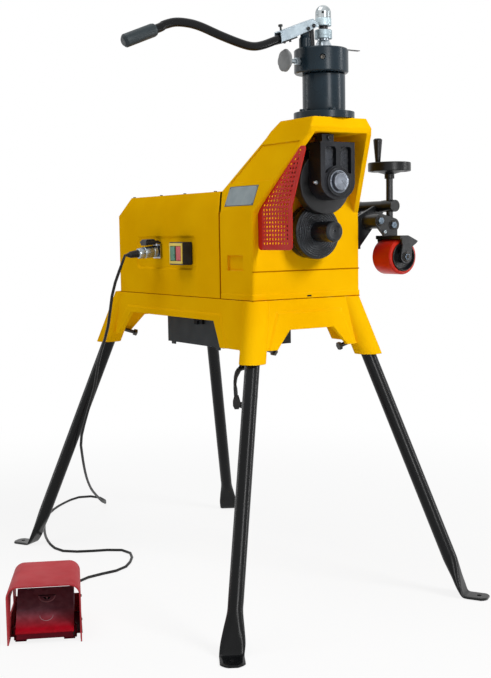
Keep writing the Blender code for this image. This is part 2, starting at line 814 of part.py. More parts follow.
def motor_pinion():
    height = pinion_height()
    far = MOTOR_FRONT + OVERRUN
    stations = [
        (GEAR_FRONT, 0),
        (GEAR_FRONT, PINION_RADIUS),
        (GEAR_FRONT + GEAR_WIDTH, PINION_RADIUS),
        (GEAR_FRONT + GEAR_WIDTH, MOTOR_SHAFT_RADIUS),
        (far, MOTOR_SHAFT_RADIUS),
        (far, 0),
    ]
    pinion = turned("motor_pinion", stations, (0, 0, height), ALONG["Y"], "bright_steel", 16)
    return pivot(pinion, (0, MOTOR_FRONT, height))


def gear_motor():
    """The motor with its reduction, on a foot that stands on the deck."""
    height = pinion_height()
    end_radius = 0.040
    bell = 0.020
    seat = MOTOR_SHAFT_RADIUS + GAP
    pocket = OVERRUN + GAP
    stations = [
        (MOTOR_FRONT + pocket, 0),
        (MOTOR_FRONT + pocket, seat),
        (MOTOR_FRONT, seat),
        (MOTOR_FRONT, MOTOR_RADIUS),
        (MOTOR_REAR - bell, MOTOR_RADIUS),
        (MOTOR_REAR, end_radius),
        (MOTOR_REAR, 0),
    ]
    motor = turned("gear_motor", stations, (0, 0, height), ALONG["Y"], "motor_iron", 20)
    foot_half_width = 0.040
    foot_margin = 0.030
    foot = block("foot", (-foot_half_width, MOTOR_FRONT + foot_margin, DECK_TOP + GAP),
                 (foot_half_width, MOTOR_REAR - foot_margin, height - MOTOR_RADIUS / 2))
    weld(motor, foot)
    return motor


# Slider with the upper roll
SLIDER_REAR = HEAD_FRONT - GAP
ARM_FOOT = 0.950
SLIDER_ROOM = 0.0015


def slider():
    """The sliding fork: a thick front arm, a rear arm on the head's face and a bridge."""
    arm_back = UPPER_ROLL_FRONT - SLIDER_ROOM
    lobe_drop = 0.039
    lobe_share = lobe_drop / SLIDER_HALF_WIDTH
    lobe = arc((0, UPPER_ROLL_HEIGHT), SLIDER_HALF_WIDTH, 180, 360, 12, lobe_share)
    outline = lobe + [(SLIDER_HALF_WIDTH, SLIDER_TOP), (-SLIDER_HALF_WIDTH, SLIDER_TOP)]
    body = prism("slider", outline, "Y", SLIDER_FRONT, arm_back, "roll_steel")
    crown = UPPER_ROLL_HEIGHT + UPPER_ROLL_RADIUS + SLIDER_ROOM
    bridge = block("bridge", (-SLIDER_HALF_WIDTH, arm_back - SLIDER_ROOM, crown),
                   (SLIDER_HALF_WIDTH, SLIDER_REAR, SLIDER_TOP))
    rear_arm = block("rear_arm", (-SLIDER_HALF_WIDTH, UPPER_ROLL_REAR + SLIDER_ROOM, ARM_FOOT),
                     (SLIDER_HALF_WIDTH, SLIDER_REAR, crown + SLIDER_ROOM))
    boss_radius = 0.032
    boss_front = -0.474
    boss = rod("boss", (0, boss_front, UPPER_ROLL_HEIGHT), (0, arm_back - SLIDER_ROOM,
                                                            UPPER_ROLL_HEIGHT), boss_radius)
    weld(body, bridge, rear_arm, boss)
    stop_left = -0.040
    stop_right = -0.008
    stop_front = -0.466
    stop_back = PUMP_Y - RAM_RADIUS - SLIDER_ROOM
    stop_height = 0.0165
    stop = block("stop", (stop_left, stop_front, SLIDER_TOP - SLIDER_ROOM),
                 (stop_right, stop_back, SLIDER_TOP + stop_height))
    weld(body, stop)
    pocket_foot = 1.008
    pocket_top = 1.0540
    pocket_depth = 0.010
    pocket_width = 0.0295
    left_pocket = -0.0342
    right_pocket = 0.0070
    for low in (left_pocket, right_pocket):
        high = low + pocket_width
        cut(body, block("pocket", (low, SLIDER_FRONT - OVERRUN, pocket_foot),
                        (high, SLIDER_FRONT + pocket_depth, pocket_top)))
    cut(body, rod("bore", (0, SLIDER_FRONT - OVERRUN, UPPER_ROLL_HEIGHT),
                  (0, SLIDER_REAR - PIN_SHOULDER, UPPER_ROLL_HEIGHT), PIN_RADIUS + GAP))
    bush_bore = BUSH_RADIUS + GAP
    cut(body, rod("seat", (0, SLIDER_FRONT - OVERRUN, UPPER_ROLL_HEIGHT),
                  (0, arm_back - SLIDER_ROOM, UPPER_ROLL_HEIGHT), bush_bore))
    return pivot(body, (0, HEAD_FRONT, UPPER_ROLL_HEIGHT))


PIN_SHOULDER = 0.006
BUSH_RADIUS = 0.0248


def roll_bush():
    """The bright bush in the slider's front arm."""
    near = -0.475
    far = UPPER_ROLL_FRONT - 2 * SLIDER_ROOM - GAP
    stations = ring_stations(near, far, BUSH_RADIUS, PIN_RADIUS + GAP)
    return turned("roll_bush", stations, (0, 0, UPPER_ROLL_HEIGHT), ALONG["Y"], "bright_steel",
                  closed=True)


def roll_pin():
    chamfer = 0.001
    far = SLIDER_REAR - PIN_SHOULDER - GAP
    stations = [(PIN_FRONT, 0), (PIN_FRONT, PIN_RADIUS - chamfer), (PIN_FRONT + chamfer, PIN_RADIUS),
                (far, PIN_RADIUS), (far, 0)]
    return turned("roll_pin", stations, (0, 0, UPPER_ROLL_HEIGHT), ALONG["Y"], "bright_steel")


def upper_roll():
    chamfer = 0.002
    bore = PIN_RADIUS + GAP
    stations = [
        (UPPER_ROLL_FRONT, bore),
        (UPPER_ROLL_FRONT, UPPER_ROLL_RADIUS - chamfer),
        (UPPER_ROLL_FRONT + chamfer, UPPER_ROLL_RADIUS),
        (UPPER_ROLL_REAR - chamfer, UPPER_ROLL_RADIUS),
        (UPPER_ROLL_REAR, UPPER_ROLL_RADIUS - chamfer),
        (UPPER_ROLL_REAR, bore),
    ]
    roll = turned("upper_roll", stations, (0, 0, UPPER_ROLL_HEIGHT), ALONG["Y"], "roll_steel",
                  closed=True)
    return pivot(roll, (0, UPPER_ROLL_FRONT, UPPER_ROLL_HEIGHT))


# Guard
def guard():
    """The red perforated sheet that hangs from the left cheek beside the rolls."""
    side_x = 0.135
    top_x = 0.0955
    front = -0.484
    rear = HEAD_FRONT - GAP
    foot = 0.832
    bend = 0.923
    top = 1.053
    corner = 0.008
    cheek_room = 0.0015
    lean = (side_x - top_x) / (top - bend)

    def at(y, height, inset):
        x = side_x - max(0, height - bend) * lean - inset
        return Vector((-x, y, height))

    throat_edge = [(wall_front(top) - cheek_room, top), (wall_front(bend) - cheek_room, bend)]
    upper = throat_edge + [(front, bend), (front, top - corner), (front + corner, top)]
    lower = [(wall_front(bend) - cheek_room, bend), (rear, FOLD - cheek_room),
             (rear, foot + corner), (rear - corner, foot), (front + corner, foot),
             (front, foot + corner), (front, bend)]
    rings = [[at(y, height, inset) for y, height in lower] for inset in (0, SHEET)]
    sheet = solid("guard", skin(rings), "red_paint")
    rings = [[at(y, height, inset) - ALONG["Z"] * GAP for y, height in upper]
             for inset in (0, SHEET)]
    weld(sheet, solid("upper", skin(rings), "red_paint"))
    flange_width = 0.016
    flange = block("flange", (-side_x, rear - SHEET, foot + 2 * corner),
                   (-side_x + flange_width, rear, FOLD - corner))
    weld(sheet, flange)
    return sheet


# Hydraulic pump
def jack_flange():
    near = HEAD_TOP + GAP
    inner = RAM_RADIUS + 2 * GAP
    stations = ring_stations(near, FLANGE_TOP, FLANGE_RADIUS, inner)
    return turned("jack_flange", stations, (0, PUMP_Y, 0), ALONG["Z"], "black_paint", closed=True)


CYLINDER_BORE = 0.035
PISTON_CLEARANCE = 0.0295
PISTON_FOOT = FLANGE_TOP + PISTON_CLEARANCE
PISTON_HEIGHT = 0.016


def jack_cylinder():
    near = FLANGE_TOP + GAP
    chamfer = 0.002
    crown = 0.014
    stations = [
        (near, CYLINDER_BORE),
        (near, CYLINDER_RADIUS),
        (CYLINDER_TOP - chamfer, CYLINDER_RADIUS),
        (CYLINDER_TOP, CYLINDER_RADIUS - chamfer),
        (CYLINDER_TOP, 0),
        (CYLINDER_TOP - crown, 0),
        (CYLINDER_TOP - crown, CYLINDER_BORE),
    ]
    order = [stations[5], stations[6], stations[0], stations[1], stations[2], stations[3],
             stations[4]]
    return turned("jack_cylinder", order, (0, PUMP_Y, 0), ALONG["Z"], "black_paint")


def jack_ram():
    """The ram that pushes the slider down, with its piston in the cylinder."""
    near = SLIDER_TOP + GAP
    piston = CYLINDER_BORE - GAP
    stations = [(near, 0), (near, RAM_RADIUS), (PISTON_FOOT, RAM_RADIUS), (PISTON_FOOT, piston),
                (PISTON_FOOT + PISTON_HEIGHT, piston), (PISTON_FOOT + PISTON_HEIGHT, 0)]
    ram = turned("jack_ram", stations, (0, PUMP_Y, 0), ALONG["Z"], "bright_steel")
    return pivot(ram, (0, PUMP_Y, SLIDER_TOP))


PLUNGER_RADIUS = 0.0125
PLUNGER_FOOT = 1.2435


def pump_collar():
    near = CYLINDER_TOP + GAP
    chamfer = 0.003
    stations = [(near, 0), (near, COLLAR_RADIUS - chamfer), (near + chamfer, COLLAR_RADIUS),
                (COLLAR_TOP - chamfer, COLLAR_RADIUS), (COLLAR_TOP, COLLAR_RADIUS - chamfer),
                (COLLAR_TOP, 0)]
    collar = turned("pump_collar", stations, (COLLAR_X, PUMP_Y, 0), ALONG["Z"], "black_paint", 32)
    cut(collar, rod("bore", (PLUNGER_X, PUMP_Y, PLUNGER_FOOT - GAP),
                    (PLUNGER_X, PUMP_Y, COLLAR_TOP + OVERRUN), PLUNGER_RADIUS + GAP))
    valve_depth = 0.004
    surface = COLLAR_X - COLLAR_RADIUS
    cut(collar, rod("valve", (surface - OVERRUN, PUMP_Y, KNOB_Z),
                    (surface + valve_depth, PUMP_Y, KNOB_Z), KNOB_STEM_RADIUS + GAP,
                    sides=SMALL_ROUND))
    return collar


KNOB_STEM_RADIUS = 0.005


def release_knob():
    """The knob that lets the oil back, on a stem into the pump collar."""
    knob_radius = 0.0245
    knob_half_thickness = 0.0045
    rim = 0.003
    hex_half_flats = 0.008
    hex_end = -0.0765
    surface = COLLAR_X - COLLAR_RADIUS
    depth = 0.0035
    stations = [
        (KNOB_X - knob_half_thickness, 0),
        (KNOB_X - knob_half_thickness, knob_radius - rim),
        (KNOB_X - knob_half_thickness + rim, knob_radius),
        (KNOB_X + knob_half_thickness - rim, knob_radius),
        (KNOB_X + knob_half_thickness, knob_radius - rim),
        (KNOB_X + knob_half_thickness, KNOB_STEM_RADIUS),
        (hex_end, KNOB_STEM_RADIUS),
        (hex_end, hex_half_flats, "hex"),
        (surface - 2 * GAP, hex_half_flats, "hex"),
        (surface - 2 * GAP, KNOB_STEM_RADIUS),
        (surface + depth, KNOB_STEM_RADIUS),
        (surface + depth, 0),
    ]
    knob = turned("release_knob", stations, (0, PUMP_Y, KNOB_Z), ALONG["X"], "zinc")
    return pivot(knob, (KNOB_X, PUMP_Y, KNOB_Z))


CAP_FOOT = 1.3170


def filler_stem():
    foot = COLLAR_TOP + GAP
    cone_radius = 0.0215
    neck_radius = 0.012
    collar_foot = 1.2835
    collar_radius = 0.017
    nut_radius = 0.0190
    nut_foot = 1.2890
    nut_top = 1.3085
    stem_radius = 0.0093
    top = CAP_FOOT - GAP
    stations = [(foot, 0), (foot, cone_radius), (collar_foot, neck_radius),
                (collar_foot, collar_radius), (nut_foot, collar_radius), (nut_foot, nut_radius),
                (nut_top, nut_radius), (nut_top, stem_radius), (top, stem_radius), (top, 0)]
    return turned("filler_stem", stations, (0, PUMP_Y, 0), ALONG["Z"], "zinc", 20)


def dome_cap():
    radius = 0.0178
    top = 1.362
    dome_foot = top - radius
    steps = 4
    stations = [(CAP_FOOT, 0), (CAP_FOOT, radius)]
    for step in range(steps):
        angle = math.pi / 2 * step / steps
        stations.append((dome_foot + radius * math.sin(angle), radius * math.cos(angle)))
    stations.append((top, 0))
    return turned("dome_cap", stations, (0, PUMP_Y, 0), ALONG["Z"], "zinc", 20)


def pointer():
    """The thin blade on the collar's rim that shows the ram's place."""
    inner = 0.030
    seat = 0.044
    outer = 0.0992
    half_width = 0.005
    thickness = 0.0015
    foot = COLLAR_TOP + GAP
    rise = 0.0050
    outline = [(inner, foot), (seat, foot), (seat, foot + rise - thickness),
               (outer, foot + rise - thickness), (outer, foot + rise), (inner, foot + rise)]
    return prism("pointer", outline, "Y", PUMP_Y - half_width, PUMP_Y + half_width, "zinc")


LEVER_PIN_RADIUS = 0.003
CHANNEL_HALF_WIDTH = 0.0128
CHANNEL_WALL = 0.002
TONGUE_HALF_WIDTH = 0.005


def pump_plunger():
    """The small pump piston, with a slotted tongue for the lever's pin."""
    shoulder = 1.2855
    crown = 0.0075
    stations = [(PLUNGER_FOOT, 0), (PLUNGER_FOOT, PLUNGER_RADIUS), (shoulder, PLUNGER_RADIUS),
                (shoulder + crown / 2, PLUNGER_RADIUS * 5 / 6),
                (shoulder + crown, PLUNGER_RADIUS / 2), (shoulder + crown, 0)]
    plunger = turned("pump_plunger", stations, (PLUNGER_X, PUMP_Y, 0), ALONG["Z"], "black_paint",
                     20)
    tongue_half_length = 0.008
    tongue_top = PLUNGER_PIN_Z + 2 * LEVER_PIN_RADIUS
    tongue = block("tongue", (PLUNGER_X - tongue_half_length, PUMP_Y - TONGUE_HALF_WIDTH, shoulder),
                   (PLUNGER_X + tongue_half_length, PUMP_Y + TONGUE_HALF_WIDTH, tongue_top))
    weld(plunger, tongue)
    length_room = 0.0022
    height_room = 0.0006
    slot_half_length = LEVER_PIN_RADIUS + length_room
    slot_half_height = LEVER_PIN_RADIUS + height_room
    slot = block("slot", (PLUNGER_X - slot_half_length, PUMP_Y - OVERRUN,
                          PLUNGER_PIN_Z - slot_half_height),
                 (PLUNGER_X + slot_half_length, PUMP_Y + OVERRUN, PLUNGER_PIN_Z + slot_half_height))
    cut(plunger, slot)
    return pivot(plunger, (PLUNGER_X, PUMP_Y, COLLAR_TOP))


def fulcrum_link():
    """The tongue that stands on the collar inside the channel and holds the fulcrum pin."""
    half_thickness = 0.0045
    head = 0.003
    eye_radius = 0.006
    foot_rear = -0.0372
    foot_near = -0.0262
    foot = COLLAR_TOP + GAP
    reach = CHANNEL_HALF_WIDTH + GAP + head
    link = rod("fulcrum_link", (FULCRUM_X, PUMP_Y - reach, FULCRUM_Z),
               (FULCRUM_X, PUMP_Y + reach, FULCRUM_Z), LEVER_PIN_RADIUS, "zinc", SMALL_ROUND)
    waist = FULCRUM_Z - 2 * eye_radius
    outline = ([(foot_rear, waist), (foot_rear, foot), (foot_near, foot)]
               + arc((FULCRUM_X, FULCRUM_Z), eye_radius, 0, 180, 8))
    weld(link, prism("tongue", outline, "Y", PUMP_Y - half_thickness, PUMP_Y + half_thickness))
    return link


def lever_channel():
    """The bent channel between the fulcrum, the plunger and the handle tube."""
    ear = 0.0046
    end_x = -0.0262
    end_z = 1.3156
    top_start = (-0.0375, 1.3280)
    top_end = (-0.1218, 1.2955)
    foot_end = (-0.1205, 1.2690)
    foot_start = (end_x, end_z - ear)
    outline = arc((end_x, end_z), ear, -90, 90, 4) + [top_start, top_end, foot_end]
    channel = prism("lever_channel", outline, "Y", PUMP_Y - CHANNEL_HALF_WIDTH,
                    PUMP_Y + CHANNEL_HALF_WIDTH, "zinc")
    inside = CHANNEL_HALF_WIDTH - CHANNEL_WALL
    run = Vector(top_end) - Vector(top_start)
    below = Vector((run.y, -run.x)).normalized()
    if below.y > 0:
        below = -below
    beyond = run.normalized() * OVERRUN
    outline = [Vector(top_start) + below * CHANNEL_WALL - beyond / 2,
               Vector(top_end) + below * CHANNEL_WALL + beyond,
               Vector(foot_end) + below * OVERRUN + beyond,
               Vector(foot_start) + below * OVERRUN - beyond]
    cut(channel, prism("hollow", outline, "Y", PUMP_Y - inside, PUMP_Y + inside))
    cut(channel, rod("hole", (FULCRUM_X, PUMP_Y - OVERRUN, FULCRUM_Z),
                     (FULCRUM_X, PUMP_Y + OVERRUN, FULCRUM_Z), LEVER_PIN_RADIUS + GAP,
                     sides=SMALL_ROUND))
    pin = rod("pin", (PLUNGER_X, PUMP_Y - CHANNEL_HALF_WIDTH + GAP, PLUNGER_PIN_Z),
              (PLUNGER_X, PUMP_Y + CHANNEL_HALF_WIDTH - GAP, PLUNGER_PIN_Z), LEVER_PIN_RADIUS,
              sides=8)
    weld(channel, pin)
    return pivot(channel, (FULCRUM_X, PUMP_Y, FULCRUM_Z))


HANDLE_ROUTE = [
    (-0.088, 1.2925), (-0.122, 1.2788), (-0.1628, 1.2636), (-0.1907, 1.2596), (-0.2231, 1.2647),
    (-0.2683, 1.2761), (-0.3124, 1.2890), (-0.3429, 1.2937), (-0.3731, 1.2928), (-0.3985, 1.2851),
    (-0.4091, 1.2789),
]
GRIP_START = (-0.4091, 1.2789)
GRIP_END = (-0.4909, 1.2454)


def handle_tube():
    end_share = 0.8
    end = [between(a, b, end_share) for a, b in zip(GRIP_START, GRIP_END)]
    points = [Vector((x, PUMP_Y, z)) for x, z in HANDLE_ROUTE + [end]]
    tube = swept("handle_tube", points, TUBE_RADIUS, "black_paint")
    collar_length = 0.010
    collar_end = points[0] + (points[1] - points[0]).normalized() * collar_length
    weld(tube, rod("collar", points[0], collar_end, CHANNEL_HALF_WIDTH - CHANNEL_WALL - GAP,
                   sides=16))
    return pivot(tube, (FULCRUM_X, PUMP_Y, FULCRUM_Z))


def handle_grip():
    start = Vector((GRIP_START[0], PUMP_Y, GRIP_START[1]))
    end = Vector((GRIP_END[0], PUMP_Y, GRIP_END[1]))
    run = end - start
    radius = 0.0135
    lip = 0.012
    rounding = 0.005
    bore = TUBE_RADIUS + GAP
    depth = run.length * 0.8 + 2 * GAP
    stations = [(depth, 0), (depth, bore), (lip, bore), (lip, radius - rounding / 4),
                (lip + rounding, radius), (run.length - rounding, radius),
                (run.length, radius - rounding), (run.length, 0)]
    grip = turned("handle_grip", stations, start, run, "black_plastic", 16)
    return pivot(grip, (FULCRUM_X, PUMP_Y, FULCRUM_Z))


# Pipe steady
NUT_Z = 0.9277
NUT_RADIUS = 0.014
NUT_FRONT = -0.410
RIB_FRONT = -0.352
RIB_THICKNESS = 0.008
SWING_RADIUS = 0.017


def steady_bracket():
    """The bracket on the head's right face with the swing tube and the screw's nut."""
    face = HOUSING_HALF_WIDTH + GAP
    plate = 0.006
    plate_rear = -0.262
    plate_foot = 0.828
    plate_top = 0.905
    bracket = block("steady_bracket", (face, RIB_FRONT, plate_foot),
                    (face + plate, plate_rear, plate_top), "black_paint")
    rib_outline = [(face, plate_foot), (face, plate_top), (SCREW_X + NUT_RADIUS, NUT_Z + NUT_RADIUS),
                   (SCREW_X + NUT_RADIUS, NUT_Z - NUT_RADIUS), (SWING_X + SWING_RADIUS, SWING_Z
                                                                - SWING_RADIUS)]
    rib = prism("rib", rib_outline, "Y", RIB_FRONT, RIB_FRONT + RIB_THICKNESS)
    swing = rod("swing", (SWING_X, LINK_FRONT + LINK_THICKNESS + GAP, SWING_Z),
                (SWING_X, RIB_FRONT + RIB_THICKNESS / 2, SWING_Z), SWING_RADIUS, sides=20)
    nut_length = 0.038
    tail_radius = 0.0125
    nut = rod("nut", (SCREW_X, NUT_FRONT, NUT_Z), (SCREW_X, NUT_FRONT + nut_length, NUT_Z),
              NUT_RADIUS, sides=20)
    tail = rod("tail", (SCREW_X, NUT_FRONT + nut_length - GAP, NUT_Z),
               (SCREW_X, plate_rear - RIB_THICKNESS / 2, NUT_Z), tail_radius, sides=20)
    rear_rib = prism("rear_rib", rib_outline, "Y", plate_rear - RIB_THICKNESS, plate_rear)
    weld(bracket, rib, rear_rib, swing, nut, tail)
    cut(bracket, rod("thread", (SCREW_X, SCREW_Y, NUT_Z - OVERRUN), (SCREW_X, SCREW_Y,
                                                                     NUT_Z + OVERRUN),
                     SCREW_RADIUS + GAP, sides=16))
    cut(bracket, rod("pivot_hole", (SWING_X, LINK_FRONT - OVERRUN, SWING_Z),
                     (SWING_X, RIB_FRONT - RIB_THICKNESS, SWING_Z), STUB_RADIUS + GAP, sides=16))
    return bracket


STUB_RADIUS = 0.008
LINK_PIN_RADIUS = 0.006
CLEVIS_RADIUS = 0.0135
CLEVIS_LENGTH = 0.020
AXLE_RADIUS = 0.005
FORK_PLATE = 0.006
ROLLER_ROOM = 0.003


def steady_fork():
    """The swinging link with the fork that holds the roller under a bent guard plate."""
    swing_lobe = 0.0175
    link_lobe = 0.0155
    low_lobe = 0.009
    low_x = 0.190
    low_z = 0.8665
    link_outline = (arc((SWING_X, SWING_Z), swing_lobe, 75, 215, 8)
                    + arc((low_x, low_z), low_lobe, 215, 300, 4)
                    + arc((LINK_X, LINK_Z), link_lobe, -60, 75, 8))
    fork = prism("steady_fork", link_outline, "Y", LINK_FRONT, LINK_FRONT + LINK_THICKNESS,
                 "black_paint")
    front = ROLLER_FRONT - ROLLER_ROOM - FORK_PLATE
    rear = ROLLER_REAR + ROLLER_ROOM + FORK_PLATE
    guard_rise = 0.0495
    lip_rise = 0.0410
    lip_near_reach = 0.0185
    lip_far_reach = 0.0155
    bend_reach = 0.006
    guard_top = ROLLER_Z + guard_rise
    guard_foot = ROLLER_Z + ROLLER_RADIUS + ROLLER_ROOM
    lip_foot = ROLLER_Z + lip_rise
    lip_near = ROLLER_X - lip_near_reach
    lip_far = ROLLER_X - lip_far_reach
    bend_x = ROLLER_X + bend_reach
    wing_offsets = ((0.0358, 0.0362), (0.0320, 0.0315), (0.0140, 0.0435), (-0.0115, 0.0273),
                    (0.0180, 0.0228))
    tip, tip_foot, under, waist, wing_foot = [(ROLLER_X + across, ROLLER_Z + rise)
                                              for across, rise in wing_offsets]
    band = [(lip_near, lip_foot), (lip_far, lip_foot), (lip_far, guard_foot), (ROLLER_X, guard_foot),
            under, tip_foot, tip, (bend_x, guard_top), (lip_near, guard_top)]
    bridge = prism("bridge", band, "Y", front, rear)
    neck_near = 0.184
    neck_far = 0.226
    neck = block("neck", (neck_near, LINK_FRONT, guard_top - FORK_PLATE / 4),
                 (neck_far, LINK_FRONT + LINK_THICKNESS, LINK_Z))
    weld(fork, bridge, neck)
    boss = 0.0165
    arm_outline = (arc((ROLLER_X, ROLLER_Z), boss, 165, 370, 8)
                   + [wing_foot, tip_foot, tip, (bend_x, guard_top), (lip_far, guard_top), waist])
    for near in (front, rear - FORK_PLATE):
        weld(fork, prism("arm", arm_outline, "Y", near, near + FORK_PLATE))
    stub = rod("stub", (SWING_X, LINK_FRONT + LINK_THICKNESS / 2, SWING_Z),
               (SWING_X, RIB_FRONT - RIB_THICKNESS - GAP, SWING_Z), STUB_RADIUS, sides=16)
    pin = rod("pin", (LINK_X, LINK_FRONT + LINK_THICKNESS / 2, LINK_Z),
              (LINK_X, LINK_FRONT + LINK_THICKNESS + CLEVIS_LENGTH, LINK_Z), LINK_PIN_RADIUS,
              sides=16)
    weld(fork, stub, pin)
    cut(fork, rod("hole", (ROLLER_X, front - OVERRUN, ROLLER_Z), (ROLLER_X, rear + OVERRUN,
                                                                  ROLLER_Z), AXLE_RADIUS + GAP,
                  sides=SMALL_ROUND))
    return pivot(fork, (SWING_X, LINK_FRONT, SWING_Z))


def roller_axle():
    head = 0.0085
    head_height = 0.005
    front = ROLLER_FRONT - ROLLER_ROOM - FORK_PLATE - GAP
    rear = ROLLER_REAR + ROLLER_ROOM + FORK_PLATE + head_height
    stations = [(front - head_height, 0), (front - head_height, head, "hex"), (front, head, "hex"),
                (front, AXLE_RADIUS), (rear, AXLE_RADIUS), (rear, 0)]
    return turned("roller_axle", stations, (ROLLER_X, 0, ROLLER_Z), ALONG["Y"], "bright_steel",
                  SMALL_ROUND)


HUB_RADIUS = 0.033


def roller_hub():
    stations = ring_stations(ROLLER_FRONT, ROLLER_REAR, HUB_RADIUS, AXLE_RADIUS + GAP)
    hub = turned("roller_hub", stations, (ROLLER_X, 0, ROLLER_Z), ALONG["Y"], "black_plastic", 20,
                 closed=True)
    return pivot(hub, (ROLLER_X, ROLLER_FRONT, ROLLER_Z))


def roller_tyre():
    chamfer = 0.004
    near = ROLLER_FRONT + chamfer / 2
    far = ROLLER_REAR - chamfer / 2
    bore = HUB_RADIUS + GAP
    stations = [(near, bore), (near, ROLLER_RADIUS - chamfer), (near + chamfer, ROLLER_RADIUS),
                (far - chamfer, ROLLER_RADIUS), (far, ROLLER_RADIUS - chamfer), (far, bore)]
    tyre = turned("roller_tyre", stations, (ROLLER_X, 0, ROLLER_Z), ALONG["Y"], "red_rubber",
                  closed=True)
    return pivot(tyre, (ROLLER_X, ROLLER_FRONT, ROLLER_Z))


def screw_clevis():
    """The eye at the screw's foot; its slot lets the link's pin swing."""
    near = LINK_FRONT + LINK_THICKNESS + GAP
    eye = rod("screw_clevis", (SCREW_X, near, LINK_Z), (SCREW_X, near + CLEVIS_LENGTH, LINK_Z),
              CLEVIS_RADIUS, "zinc", 20)
    swing_room = 0.0035
    slot_half_length = LINK_PIN_RADIUS + swing_room
    slot_half_height = LINK_PIN_RADIUS + 2 * GAP
    slot = block("slot", (LINK_X - slot_half_length, near - OVERRUN, LINK_Z - slot_half_height),
                 (LINK_X + slot_half_length, near + CLEVIS_LENGTH + OVERRUN,
                  LINK_Z + slot_half_height))
    cut(eye, slot)
    flat = CLEVIS_RADIUS - 2 * GAP
    cut(eye, block("flat", (SCREW_X - OVERRUN, near - OVERRUN, LINK_Z + flat),
                   (SCREW_X + OVERRUN, near + CLEVIS_LENGTH + OVERRUN, LINK_Z + OVERRUN)))
    return pivot(eye, (SCREW_X, SCREW_Y, LINK_Z))


def steady_screw():
    foot = LINK_Z + CLEVIS_RADIUS - GAP
    top = WHEEL_Z + HUB_HEIGHT - GAP
    screw = rod("steady_screw", (SCREW_X, SCREW_Y, foot), (SCREW_X, SCREW_Y, top), SCREW_RADIUS,
                "black_paint", 16)
    return pivot(screw, (SCREW_X, SCREW_Y, LINK_Z))


HUB_HEIGHT = 0.018
RIM_HEIGHT = 0.0185
RIM_LIFT = 0.012
HUB_DROP = 0.019
WHEEL_WEB = 0.007


def handwheel():
    """A solid wheel with a deep rim; its underside slopes down to the hub."""
    hub_foot = WHEEL_Z - HUB_DROP
    hub_radius = 0.0115
    bore = SCREW_RADIUS + GAP
    slope_drop = 0.0085
    rim_drop = 0.0025
    chamfer = 0.0015
    rim_wall = 0.0065
    slope_foot = WHEEL_Z - slope_drop
    rim_foot = WHEEL_Z - rim_drop
    rim_top = WHEEL_Z + RIM_HEIGHT
    web_top = WHEEL_Z + RIM_LIFT + WHEEL_WEB / 2
    inside = WHEEL_RADIUS - rim_wall
    top = WHEEL_Z + HUB_HEIGHT
    stations = [(hub_foot, bore), (hub_foot, hub_radius), (slope_foot, hub_radius),
                (WHEEL_Z, inside), (rim_foot, inside + chamfer),
                (rim_foot, WHEEL_RADIUS - chamfer), (rim_foot + chamfer, WHEEL_RADIUS),
                (rim_top - chamfer, WHEEL_RADIUS), (rim_top, WHEEL_RADIUS - chamfer),
                (rim_top, inside + chamfer), (web_top, inside), (web_top, hub_radius),
                (top, hub_radius), (top, bore)]
    wheel = turned("handwheel", stations, (SCREW_X, SCREW_Y, 0), ALONG["Z"], "black_plastic",
                   closed=True)
    return pivot(wheel, (SCREW_X, SCREW_Y, LINK_Z))


def wheel_grip():
    """The turning grip on the handwheel's rim."""
    rim_inset = 0.015
    x = SCREW_X - WHEEL_RADIUS + rim_inset
    foot = WHEEL_Z + RIM_HEIGHT + GAP
    height = 0.054
    foot_radius = 0.006
    top_radius = 0.0105
    rounding = 0.003
    spindle_foot = WHEEL_Z + RIM_LIFT + WHEEL_WEB / 2 + GAP
    stations = [(spindle_foot, 0), (spindle_foot, foot_radius / 2), (foot, foot_radius / 2),
                (foot, foot_radius), (foot + height - rounding, top_radius),
                (foot + height, top_radius - rounding), (foot + height, 0)]
    grip = turned("wheel_grip", stations, (x, SCREW_Y, 0), ALONG["Z"], "black_plastic",
                  SMALL_ROUND)
    return pivot(grip, (x, SCREW_Y, foot))


# Controls
BUTTON_TRAVEL = 0.004
BUTTON_PROUD = 0.003
BUTTON_WIDTH = 0.022
BUTTON_HEIGHT = 0.034
PANEL_DEPTH = 0.0010
PANEL_X = -HOUSING_HALF_WIDTH + PANEL_DEPTH - GAP


def button_bays():
    """The front and rear edge of each button, the green one at the rear."""
    middle = between(SWITCH_FRONT, SWITCH_REAR, 1 / 2)
    space = 0.003
    return {"stop_button": (middle - space - BUTTON_WIDTH, middle - space),
            "start_button": (middle + space, middle + space + BUTTON_WIDTH)}


def switch_housing():
    housing = block("switch_housing", (CONTROL_X, SWITCH_FRONT, SWITCH_FOOT),
                    (PANEL_X, SWITCH_REAR, SWITCH_TOP), "black_plastic")
    depth = BUTTON_TRAVEL * 3
    centre = between(SWITCH_FOOT, SWITCH_TOP, 1 / 2)
    room = BUTTON_HEIGHT / 2 + GAP
    for near, far in button_bays().values():
        bay = block("bay", (CONTROL_X - OVERRUN, near - GAP, centre - room),
                    (CONTROL_X + depth, far + GAP, centre + room))
        cut(housing, bay)
    return housing


def button(name, finish):
    near, far = button_bays()[name]
    centre = between(SWITCH_FOOT, SWITCH_TOP, 1 / 2)
    half = BUTTON_HEIGHT / 2
    back = CONTROL_X + BUTTON_TRAVEL * 2 - GAP
    cap = block(name, (CONTROL_X - BUTTON_PROUD, near, centre - half), (back, far, centre + half),
                finish)
    return pivot(cap, (CONTROL_X, (near + far) / 2, centre))


SOCKET_BODY_RADIUS = 0.013
FLANGE_HALF = 0.0185
FLANGE_THICKNESS = 0.004
BARREL_RADIUS = 0.0135


